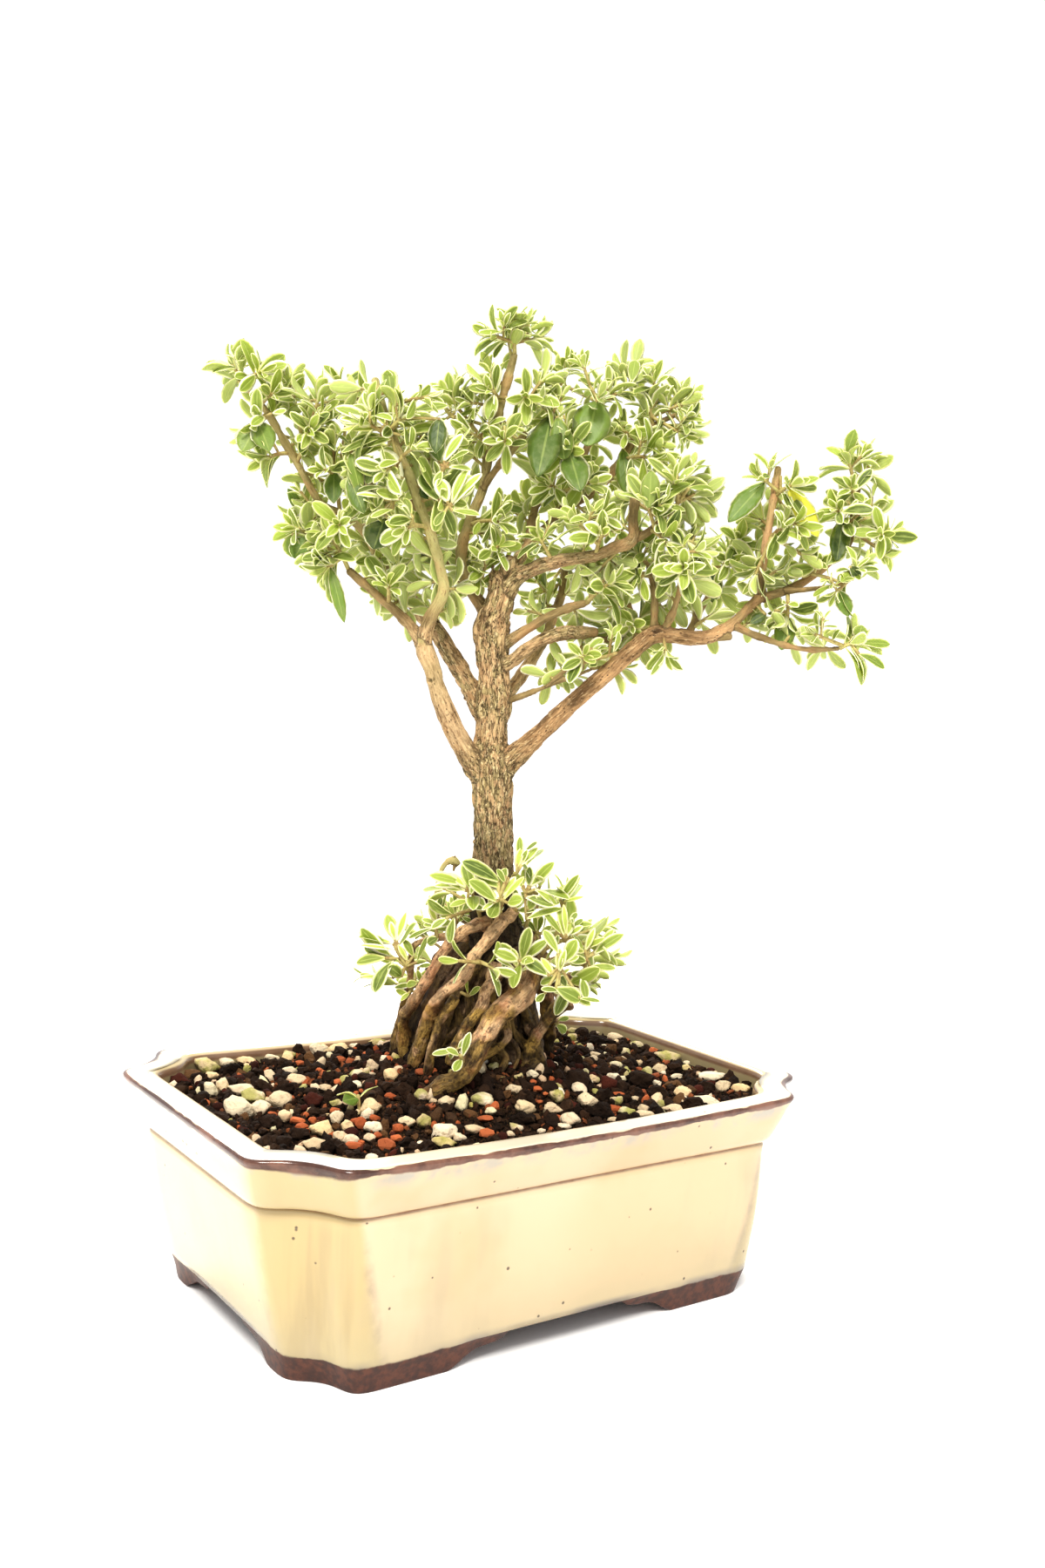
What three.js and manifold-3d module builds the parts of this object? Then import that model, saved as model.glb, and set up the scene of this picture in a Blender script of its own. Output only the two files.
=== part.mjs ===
// A mount fuji serissa bonsai in its glazed pot, in millimetres with +Z up.
// The pot's long side runs along X. Its foot stands on Z = 0, under the middle of the whole part.
import * as THREE from "three";
import Module from "manifold-3d";

const wasm = await Module();
wasm.setup();

// Driving dimensions of the pot.
const rimHalfLength = 102.5;
const rimHalfWidth = 69;
const potHeight = 67.3;
const rimSag = 1.4;
const lipWidth = 9.9;
const bandHeight = 16.4;
const grooveInset = 5.3;
const glazeLine = 8.5;
const footHalfLength = 84.8;
const footHalfWidth = 58.4;
const footFlare = 2.2;
const floorUnderside = 9;
const floorTop = 16;
const footThickness = 9;
const drainHoleRadius = 7;
const drainHoleAt = 42;
const cavityHalfLength = 83;
const cavityHalfWidth = 54.5;

// How much of the length and of the width each cut corner takes.
const rimCorner = [22.5, 22.4];
const bodyCorner = [23.2, 25];
const footCorner = [14.6, 19.4];
const cavityCorner = [20, 17.5];

// Half the gap between two feet, under a long side and under a short side.
const longSideGap = 20;
const shortSideGap = 9;

// Driving dimensions of the soil, the wood and the leaves.
const clearance = 0.35;
const soilEdge = 62;
const moundHeight = 9;
const moundReach = 42;
const granuleRelief = 1.3;
const kinGap = 0.05;
const sideRule = [[9, 8], [4, 6], [1.8, 5], [0, 4]];
const screenSize = 26;
const screenThickness = 1.2;

const twig = { sides: 4, startRadius: 1.1, forkRadius: 0.95, endRadius: 0.8, rise: 0.12, point: 1 };
const tuft = {
  pairSpacing: 2.2,
  openBelow: 74,
  openAbove: 38,
  openSpread: 9,
  turnSpread: 8,
  droop: 0.12,
  lengthBelow: 1.2,
  lengthAbove: 0.92,
  lengthSpread: [0.88, 1.1],
  widthSpread: [0.42, 0.52],
  arch: 0.35,
};
const blade = {
  thickness: 0.9,
  longOver: 14,
  shortStations: [[0.38, 0.95], [0.74, 0.84]],
  longStations: [[0.24, 0.8], [0.52, 1], [0.8, 0.66]],
  largeArch: 0.3,
};

// The photograph's view of the pot: where the eye stands and how far the picture is turned.
const view = {
  azimuth: -35.3,
  elevation: 3.5,
  roll: 3.0,
  distance: 463,
  besidePot: 11.9,
  aboveTable: 163.9,
};

// A repeatable draw between 0 and 1 for any whole number.
function chance(seed) {
  const wave = Math.sin(seed * 12.9898 + 4.1414) * 43758.5453;
  return wave - Math.floor(wave);
}

function between(low, high, seed) {
  return low + (high - low) * chance(seed);
}

const radians = THREE.MathUtils.degToRad;
const sideways = new THREE.Vector3(Math.cos(radians(view.azimuth)), Math.sin(radians(view.azimuth)), 0);
const towardEye = new THREE.Vector3(
  Math.sin(radians(view.azimuth)) * Math.cos(radians(view.elevation)),
  -Math.cos(radians(view.azimuth)) * Math.cos(radians(view.elevation)),
  Math.sin(radians(view.elevation)),
);
const upright = towardEye.clone().cross(sideways);
const pictureRight = sideways.clone().applyAxisAngle(towardEye, radians(view.roll));
const pictureUp = upright.clone().applyAxisAngle(towardEye, radians(view.roll));
const pictureMiddle = sideways.clone().multiplyScalar(view.besidePot).setZ(view.aboveTable);
const eye = pictureMiddle.clone().addScaledVector(towardEye, view.distance);

// A point of the tree, read off the photograph in millimetres right of and above the picture's middle
// at the pot's distance, then slid toward the eye along its own line of sight.
function seen(right, up, toward) {
  const flat = pictureMiddle.clone().addScaledVector(pictureRight, right).addScaledVector(pictureUp, up);
  return flat.sub(eye).multiplyScalar(1 - toward / view.distance).add(eye);
}

// Solids from vertices and triangles, and back to a mesh.
function solidFrom(points, triangles) {
  const vertProperties = new Float32Array(points.flatMap((p) => [p.x, p.y, p.z]));
  const triVerts = new Uint32Array(triangles);
  return new wasm.Manifold(new wasm.Mesh({ numProp: 3, vertProperties, triVerts }));
}

function solidFromGeometry(geometry) {
  const flat = geometry.index ? geometry.toNonIndexed() : geometry;
  const place = flat.getAttribute("position");
  const known = new Map();
  const points = [];
  const triangles = [];
  for (let i = 0; i < place.count; i += 1) {
    const point = new THREE.Vector3().fromBufferAttribute(place, i);
    const key = point.toArray().map((n) => Math.round(n * 1e4)).join(" ");
    if (!known.has(key)) {
      known.set(key, points.length);
      points.push(point);
    }
    triangles.push(known.get(key));
  }
  return solidFrom(points, triangles);
}

function joined(solids) {
  return wasm.Manifold.union(solids);
}

// The largest piece of a solid, without the scraps that a cut leaves beside it.
function mainBody(solid) {
  const bodies = solid.decompose();
  return bodies.reduce((best, body) => (body.volume() > best.volume() ? body : best));
}

function middleOf(ring) {
  return ring.reduce((sum, p) => sum.add(p), new THREE.Vector3()).divideScalar(ring.length);
}

const part = new THREE.Group();

function addNode(name, solid, colour, roughness) {
  const mesh = solid.getMesh();
  const places = new Float32Array(mesh.numVert * 3);
  for (let i = 0; i < mesh.numVert; i += 1) {
    const start = i * mesh.numProp;
    places.set(mesh.vertProperties.subarray(start, start + 3), i * 3);
  }
  const geometry = new THREE.BufferGeometry();
  geometry.setAttribute("position", new THREE.BufferAttribute(places, 3));
  geometry.setIndex(new THREE.BufferAttribute(mesh.triVerts, 1));
  geometry.computeVertexNormals();
  const material = new THREE.MeshStandardMaterial({ color: colour, roughness, metalness: 0 });
  const node = new THREE.Mesh(geometry, material);
  node.name = name;
  part.add(node);
}

// Stacked outlines with the same number of points, closed at each end by a fan to one point.
function loft(levels, lowEnd = middleOf(levels[0]), highEnd = middleOf(levels[levels.length - 1])) {
  const count = levels[0].length;
  const points = levels.flat();
  const triangles = [];
  for (let level = 0; level < levels.length - 1; level += 1) {
    for (let i = 0; i < count; i += 1) {
      const a = level * count + i;
      const b = level * count + ((i + 1) % count);
      triangles.push(a, b, b + count, a, b + count, a + count);
    }
  }
  const low = points.length;
  points.push(lowEnd, highEnd);
  const top = (levels.length - 1) * count;
  for (let i = 0; i < count; i += 1) {
    const next = (i + 1) % count;
    triangles.push(low, next, i, low + 1, top + i, top + next);
  }
  return solidFrom(points, triangles);
}

// The pot's plan: a rectangle whose corners are cut by a shallow scallop between two round lobes.
const scallop = [
  [0, 0],
  [0.1, 0.7],
  [0.24, -0.3],
  [0.5, -1.8],
  [0.76, -0.3],
  [0.9, 0.7],
  [1, 0],
];

function potPlan(halfLength, halfWidth, [cutLength, cutWidth], sideSteps, endSteps) {
  const quarter = scallop.map(([along, out]) => {
    const lean = Math.hypot(cutLength, cutWidth);
    return [
      halfLength - cutLength * along + (out * cutWidth) / lean,
      halfWidth - cutWidth * (1 - along) + (out * cutLength) / lean,
    ];
  });
  const mirrored = (list, x, y) => list.map((p) => [p[0] * x, p[1] * y]);
  const corners = [
    mirrored(quarter, 1, 1),
    mirrored(quarter, -1, 1).reverse(),
    mirrored(quarter, -1, -1),
    mirrored(quarter, 1, -1).reverse(),
  ];
  const plan = [];
  corners.forEach((corner, i) => {
    plan.push(...corner);
    const from = corner[corner.length - 1];
    const to = corners[(i + 1) % 4][0];
    const steps = i % 2 === 0 ? sideSteps : endSteps;
    for (let step = 1; step < steps; step += 1) {
      const share = step / steps;
      plan.push([from[0] + (to[0] - from[0]) * share, from[1] + (to[1] - from[1]) * share]);
    }
  });
  return plan;
}

function level(plan, heightAt) {
  return plan.map(([x, y]) => new THREE.Vector3(x, y, heightAt(x, y)));
}

// The rim dips a little in the middle of its long sides, as it left the kiln.
function sagged(height) {
  return (x) => height - rimSag * Math.max(0, 1 - (x / (rimHalfLength - 20)) ** 2);
}

function flatAt(height) {
  return () => height;
}

function box(width, depth, height, x, y, z) {
  return solidFromGeometry(new THREE.BoxGeometry(width, depth, height).translate(x, y, z + height / 2));
}

// The profile of one cut between two feet: half the gap, a step, a shelf and the foot's slope.
function footCut(halfGap, reach) {
  const shape = new THREE.Shape();
  const half = [
    [halfGap, floorUnderside],
    [halfGap + 4, 5.4],
    [halfGap + 14, 4.6],
    [halfGap + 22, 0],
    [halfGap + 22, -2],
  ];
  shape.moveTo(-half[0][0], half[0][1]);
  half.forEach(([x, y]) => shape.lineTo(x, y));
  [...half].reverse().slice(0, -1).forEach(([x, y]) => shape.lineTo(-x, y));
  shape.closePath();
  return new THREE.ExtrudeGeometry(shape, { depth: 2 * reach, bevelEnabled: false }).translate(0, 0, -reach);
}

function drainHole(x, radius, low, high) {
  const geometry = new THREE.CylinderGeometry(radius, radius, high - low, 20);
  return solidFromGeometry(geometry.rotateX(Math.PI / 2).translate(x, 0, (low + high) / 2));
}

function cavityPlan(height, inset) {
  const share = (height - floorTop) / (potHeight - floorTop);
  const halfLength = cavityHalfLength + (rimHalfLength - lipWidth - cavityHalfLength) * share;
  const halfWidth = cavityHalfWidth + (rimHalfWidth - lipWidth - cavityHalfWidth) * share;
  return potPlan(halfLength - inset, halfWidth - inset, cavityCorner, 6, 3);
}

function makePot() {
  const outer = (inset, height, heightAt, corner = rimCorner) =>
    level(potPlan(rimHalfLength - inset, rimHalfWidth - inset, corner, 4, 1), heightAt(height));
  const foot = (grow, height) =>
    level(potPlan(footHalfLength + grow, footHalfWidth + grow, footCorner, 4, 1), flatAt(height));
  const grooveHeight = potHeight - bandHeight;
  const body = loft([
    foot(0, 0),
    foot(footFlare, glazeLine),
    outer(grooveInset + 0.4, grooveHeight - 0.6, flatAt, bodyCorner),
    outer(grooveInset + 1, grooveHeight, flatAt, bodyCorner),
    outer(grooveInset, grooveHeight + 0.6, flatAt),
    outer(3, grooveHeight + 3.4, flatAt),
    outer(0.5, potHeight - 1.6, sagged),
    outer(0, potHeight - 0.6, sagged),
    outer(0.9, potHeight, sagged),
  ]);
  const cavity = loft([
    level(cavityPlan(floorTop, 0), flatAt(floorTop)),
    level(cavityPlan(potHeight - 3, 0), flatAt(potHeight - 3)),
    level(cavityPlan(potHeight + 4, -1.5), flatAt(potHeight + 4)),
  ]);
  const quarterTurn = Math.PI / 2;
  const underLongSides = solidFromGeometry(footCut(longSideGap, 80).rotateX(quarterTurn));
  const underShortSides = solidFromGeometry(
    footCut(shortSideGap, 110).rotateX(quarterTurn).rotateZ(quarterTurn),
  );
  const betweenFeet = box(
    2 * (footHalfLength - footThickness),
    2 * (footHalfWidth - footThickness),
    floorUnderside + 1,
    0,
    0,
    -1,
  );
  return body
    .subtract(cavity)
    .subtract(underLongSides)
    .subtract(underShortSides)
    .subtract(betweenFeet)
    .subtract(drainHole(-drainHoleAt, drainHoleRadius, 0, floorTop + 5))
    .subtract(drainHole(drainHoleAt, drainHoleRadius, 0, floorTop + 5));
}

// A plastic mesh square that lies over each drain hole: bars both ways with square openings between.
function makeScreen(x) {
  const bars = 3;
  const barWidth = 1.6;
  const pitch = (screenSize - barWidth) / (bars - 1);
  const low = floorTop + clearance;
  const solids = Array.from({ length: bars }, (_, i) => {
    const beside = (i - (bars - 1) / 2) * pitch;
    return [
      box(screenSize, barWidth, screenThickness, x, beside, low),
      box(barWidth, screenSize, screenThickness, x + beside, 0, low),
    ];
  });
  return joined(solids.flat());
}

// The soil's surface: level at the wall, heaped up under the tree, rough with granules.
function soilHeight(x, y) {
  return soilEdge + moundHeight * Math.exp(-(x * x + y * y) / (moundReach * moundReach));
}

function makeSoil(wood) {
  const rings = 6;
  const low = floorTop + clearance;
  const base = level(cavityPlan(low, clearance), flatAt(low));
  const levels = [base];
  for (let ring = 0; ring < rings; ring += 1) {
    const share = 1 - ring / rings;
    const plan = cavityPlan(soilEdge, clearance).map(([x, y]) => [x * share, y * share]);
    levels.push(
      plan.map(([x, y], i) => {
        const bump = ring === 0 ? 0 : granuleRelief * between(-1, 1.2, ring * 97 + i);
        return new THREE.Vector3(x, y, soilHeight(x, y) + bump);
      }),
    );
  }
  let soil = loft(levels);
  [-drainHoleAt, drainHoleAt].forEach((x) => {
    const size = screenSize + 2 * clearance;
    soil = soil.subtract(box(size, size, screenThickness + 2 * clearance + 1, x, 0, floorTop - 1));
  });
  return mainBody(soil.subtract(wood));
}

// The directions of a path at each of its points: along it, and two across it.
function pathFrames(centres, turn) {
  const tangents = centres.map((c, i) => {
    const before = centres[Math.max(0, i - 1)];
    const after = centres[Math.min(centres.length - 1, i + 1)];
    return after.clone().sub(before).normalize();
  });
  const first = Math.abs(tangents[0].z) < 0.9 ? new THREE.Vector3(0, 0, 1) : new THREE.Vector3(1, 0, 0);
  let across = first.cross(tangents[0]).normalize().applyAxisAngle(tangents[0], turn);
  return tangents.map((along) => {
    across = across.clone().addScaledVector(along, -across.dot(along)).normalize();
    return { along, across, other: along.clone().cross(across) };
  });
}

// A limb, root or twig: a tube through given points, each with its own radius.
function tube(path, sides, grow = 0, turn = 0) {
  const centres = path.map((p) => p.centre);
  const rings = pathFrames(centres, turn).map(({ across, other }, i) => {
    const radius = path[i].radius + grow;
    return Array.from({ length: sides }, (_, side) => {
      const angle = (2 * Math.PI * side) / sides;
      return centres[i]
        .clone()
        .addScaledVector(across, radius * Math.cos(angle))
        .addScaledVector(other, radius * Math.sin(angle));
    });
  });
  return loft(rings);
}

function limbPath(points) {
  return points.map(([right, up, toward, radius]) => ({
    centre: seen(right, up, toward),
    radius: radius * (1 - toward / view.distance),
  }));
}

// The wood: each limb's points give right, up, toward and the limb's radius there.
const limbs = {
  trunk: [
    [-8, -52, -12, 9.5], [-9.2, -44, -11, 7.6], [-9.5, -34, -10, 6.6], [-9.6, -22, -9, 6.3],
    [-9.8, -8, -9, 6.2], [-9.8, 1, -8, 6.6], [-10, 6, -8, 7.4], [-10.2, 12, -8, 5.6],
    [-10, 19, -7, 5.0], [-9.4, 26, -7, 5.8], [-9.5, 35, -6, 5.1], [-10, 45, -6, 5.3],
    [-10, 52, -6, 5.5], [-8, 59, -5, 4.6], [-7, 65, -5, 4.2], [-8.2, 69, -5, 2.6],
  ],
  stubKnob: [[-5, 64, -5, 2.5], [-4.5, 71, -4, 2.6], [-4, 74.5, -4, 2.0]],
  lowLeft: [
    [-11, 1, -7, 4.5], [-16, 7, -5, 4.0], [-20.5, 14, -1, 3.5], [-24, 21, 2, 3.3],
    [-27.5, 30, 5, 2.9], [-29.7, 38, 7, 2.7], [-32.3, 45, 8, 2.9], [-37, 52, 8, 2.3],
    [-42, 57, 7, 2.0], [-49, 63, 6, 1.7], [-57, 70, 5, 1.2],
  ],
  leftStem: [
    [-32.3, 45, 8, 2.4], [-31.5, 51, 10, 2.3], [-29, 57, 12, 2.1], [-26, 62.5, 13, 2.3],
    [-27, 71, 15, 1.8], [-29.8, 81, 17, 1.7], [-33.5, 91, 18, 1.7], [-37, 101, 19, 1.6],
    [-40.5, 109, 20, 1.5], [-44, 118, 19, 1.4], [-46.5, 126, 18, 1.3], [-48.5, 133, 17, 1.3],
  ],
  innerLeft: [
    [-11, 21, -10, 3.8], [-15, 28, -11, 3.4], [-19, 35, -12, 3.0], [-24, 43, -13, 2.8],
    [-28, 50, -13, 2.5], [-33, 56, -13, 2.5], [-37.5, 61.5, -12, 2.0],
  ],
  farLeft: [
    [-31, 54, -13, 2.0], [-40, 63, -15, 1.8], [-46, 72, -15, 1.7], [-50, 80, -14, 1.6],
    [-58, 88, -11, 1.5], [-66, 92, -8, 1.5], [-71, 100, -6, 1.5], [-75, 107, -5, 1.4],
    [-79, 114, -5, 1.3], [-83.5, 121.5, -5, 1.2], [-91, 131, -6, 1.0],
  ],
  leader: [
    [-9, 52, -8, 3.2], [-13, 58, -9, 2.6], [-17.5, 64.5, -10, 2.3], [-20, 71, -11, 2.3],
    [-19.6, 79, -11, 2.1], [-16.7, 88, -10, 2.0], [-13, 97, -10, 1.9], [-11.5, 106, -9, 1.7],
    [-9, 116, -8, 1.6], [-7, 125, -8, 1.5], [-4.3, 135, -8, 1.4], [-2.6, 141, -8, 1.2],
  ],
  leaderFork: [[-13.5, 96, -10, 1.3], [-8.5, 103.5, -6, 1.2], [-4, 109, -3, 1.1], [1, 115, 0, 0.9]],
  upperRight: [
    [-7, 61, -5, 3.4], [-2, 67.5, -1, 2.9], [5, 71.3, 3, 2.5], [14, 73.5, 7, 2.2],
    [24, 75, 10, 1.9], [30, 77.5, 12, 1.7], [36, 80, 13, 1.9], [36.3, 87, 13, 1.6],
    [37, 94, 13, 1.5],
  ],
  upperRightTwig: [[35, 79.5, 13, 1.4], [41, 82.5, 13, 1.3], [46, 87, 14, 1.0], [51, 92, 15, 0.9]],
  middle: [
    [-6, 66, -7, 2.4], [2, 78, -14, 1.8], [9, 85, -17, 1.7], [14.5, 92, -19, 1.5],
    [18, 102, -20, 1.4], [22, 113, -20, 1.2], [26, 124, -20, 1.0],
  ],
  middleRight: [
    [13, 90, -18, 1.3], [24, 96, -24, 1.2], [32, 106, -27, 1.2], [40, 116, -28, 1.0],
    [50, 121, -27, 0.9],
  ],
  middleBack: [[2, 78, -14, 1.5], [4, 90, -28, 1.3], [8, 102, -42, 1.2], [10, 112, -52, 0.9]],
  backLeft: [[-16, 62, -10, 1.8], [-23, 72, -21, 1.6], [-31, 84, -32, 1.4], [-38, 98, -41, 1.0]],
  rightOne: [
    [-9, 43, -6, 2.2], [-2, 48.5, -3, 1.8], [5, 53, 0, 1.5], [13, 57, 3, 1.4], [22, 59.8, 6, 1.0],
  ],
  rightTwo: [
    [-9, 37, -6, 2.6], [-2, 41.5, -2, 2.2], [4, 46, 0, 2.2], [11, 49, 1, 2.3], [18, 49.8, 2, 2.2],
    [24.5, 49.8, 2, 1.5],
  ],
  rightTwoTwig: [[17, 49, 1, 1.2], [27, 47.3, -3, 1.1], [36, 48.3, -8, 1.0]],
  rightThree: [
    [-8, 25, -9, 2.6], [-2, 33.5, -15, 2.0], [4, 42, -20, 1.7], [9, 52, -27, 1.4], [13, 63, -34, 1.2],
    [14, 76, -44, 0.9],
  ],
  rightFour: [[-9, 26, -4, 1.6], [1, 29.5, 0, 1.1], [9, 32, 3, 1.0], [17, 36, 5, 0.9], [20, 38.5, 6, 0.8]],
  mainRight: [
    [-9, 3, -8, 4.6], [-3, 9, -5, 3.9], [4, 15, -1, 3.1], [12, 22.5, 3, 2.9], [20, 29.8, 5, 2.8],
    [28, 36.7, 6, 2.8], [36, 43.8, 7, 2.8], [43.5, 49, 7, 2.9], [51, 48.6, 7, 2.5],
    [59, 48, 6, 2.4], [66, 50.5, 5, 2.2], [72, 55.5, 3, 1.6], [78, 61.3, 2, 1.9],
  ],
  mainRightStub: [[62, 48.5, 5, 1.8], [68.5, 48.3, 6, 1.3]],
  uprightOne: [[43, 49, 7, 1.5], [43.3, 60, 4, 1.1], [41.6, 72, 1, 0.9]],
  uprightTwo: [[46, 49.5, 7, 1.4], [50, 58, 11, 1.1], [52.8, 70, 14, 0.9]],
  uprightThree: [[54, 48.5, 6, 1.4], [59, 58, -6, 1.1], [65, 68, -14, 0.9]],
  backRight: [[38, 45.5, 6, 1.6], [36, 54, -10, 1.3], [33, 64, -26, 1.2], [30, 78, -42, 0.9]],
  cutStem: [[77.8, 61, 2, 1.6], [79, 72, 4, 1.4], [81.5, 88, 5, 1.3], [84, 104, 5, 1.2]],
  farRight: [
    [78, 61, 2, 1.6], [87, 63.6, 0, 1.5], [94, 67.5, -3, 1.4], [101, 73, -5, 1.3],
    [107, 79.5, -6, 1.4], [108.3, 88, -6, 1.0], [110, 97, -6, 0.9],
  ],
  farRightThin: [[86, 63.3, 1, 1.1], [95, 64, 6, 0.9], [102, 65, 9, 0.8], [108, 67, 10, 0.7]],
  lowRight: [
    [69, 52, 4, 1.5], [78, 48.2, 9, 1.1], [86, 45.6, 11, 1.0], [95, 44, 12, 0.9], [104, 44.5, 12, 0.8],
  ],
  deadTwig: [
    [-12, -46, -14, 1.6], [-22, -42, -18, 1.3], [-27.6, -36, -18, 1.2], [-27, -30, -18, 1.0],
    [-24.5, -26.3, -18, 0.9], [-21.3, -26, -18, 1.2],
  ],
};

// The exposed roots spread from the trunk's foot over a tangle of roots, down into the soil.
const roots = {
  tangle: [
    [-8, -44, -12, 7.5], [-7, -55, -13, 10], [-8, -66, -15, 12.5], [-10, -78, -17, 15],
    [-11, -92, -19, 17.5],
  ],
  outerLeft: [
    [-9, -46, -8, 3.0], [-14, -46.3, 0, 2.3], [-20, -48.5, 5, 2.0], [-25.5, -54, 7, 1.8],
    [-30, -62, 4, 1.8], [-34.5, -69.5, -3, 1.8], [-39, -77, -12, 1.9], [-39, -86, -18, 2.1],
    [-38.5, -98, -20, 2.2],
  ],
  innerLeft: [
    [-2.5, -41.5, -6, 2.2], [-7.5, -46, 2, 2.6], [-12, -52, 7, 2.7], [-16, -56.5, 9, 2.4],
    [-19, -63, 9, 2.4], [-25, -68, 8, 2.4], [-29.5, -73, 5, 2.8], [-32, -80, 1, 2.7],
    [-34.5, -88, -2, 2.8], [-37, -99, -3, 2.6],
  ],
  front: [
    [1.5, -58, -3, 3.4], [1.5, -66, 3, 4.2], [-3, -72, 8, 4.1], [-9, -77, 12, 3.8],
    [-13, -83, 15, 3.6], [-16.5, -90, 18, 3.9], [-21, -96, 20, 3.5], [-27.5, -99.8, 21, 2.9],
    [-34, -103.5, 22, 2.2],
  ],
  right: [
    [8, -62, -10, 2.8], [13, -71, -10, 2.4], [9, -76, -8, 2.0], [5.5, -81, -8, 2.0],
    [2.5, -87, -9, 2.2], [-1, -99, -9, 2.2],
  ],
  rightStub: [[7, -62, -12, 2.4], [14, -64, -12, 2.2], [19, -66, -12, 1.4]],
  brokenStub: [[11, -73, -10, 1.8], [16.5, -73, -8, 1.1]],
  middleFirst: [
    [-8, -60, -3, 3.0], [-11, -67, 3, 2.2], [-14, -74, 6, 2.0], [-18.5, -80, 7, 1.9],
    [-24, -92, 8, 1.8],
  ],
  middleSecond: [[-22, -70, 4, 1.8], [-27, -78, 5, 1.4], [-30, -88, 6, 1.5], [-32, -99, 6, 1.5]],
  farLeft: [
    [-18, -50, -8, 1.6], [-28, -50.5, -8, 1.3], [-35.5, -53, -9, 1.1], [-36.5, -62, -12, 1.1],
    [-40, -76, -20, 1.3], [-44, -94, -26, 1.5],
  ],
  backLeft: [
    [-14, -50, -22, 3.0], [-22, -60, -32, 2.8], [-28, -74, -40, 2.6], [-34, -92, -50, 2.6],
  ],
  backMiddle: [
    [-6, -48, -22, 3.2], [-6, -60, -36, 3.0], [-10, -74, -46, 2.8], [-12, -92, -56, 2.8],
  ],
  backRight: [
    [2, -48, -18, 3.0], [10, -58, -28, 2.8], [16, -72, -36, 2.6], [22, -90, -44, 2.6],
  ],
};

// Thicker wood is drawn with more sides.
function sidesFor(points) {
  const thickest = Math.max(...points.map((point) => point[3]));
  const rule = sideRule.find(([radius]) => thickest > radius);
  return rule[1];
}

function makeWood(grow) {
  const every = [...Object.values(limbs), ...Object.values(roots)];
  return joined(every.map((points) => tube(limbPath(points), sidesFor(points), grow)));
}

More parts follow.
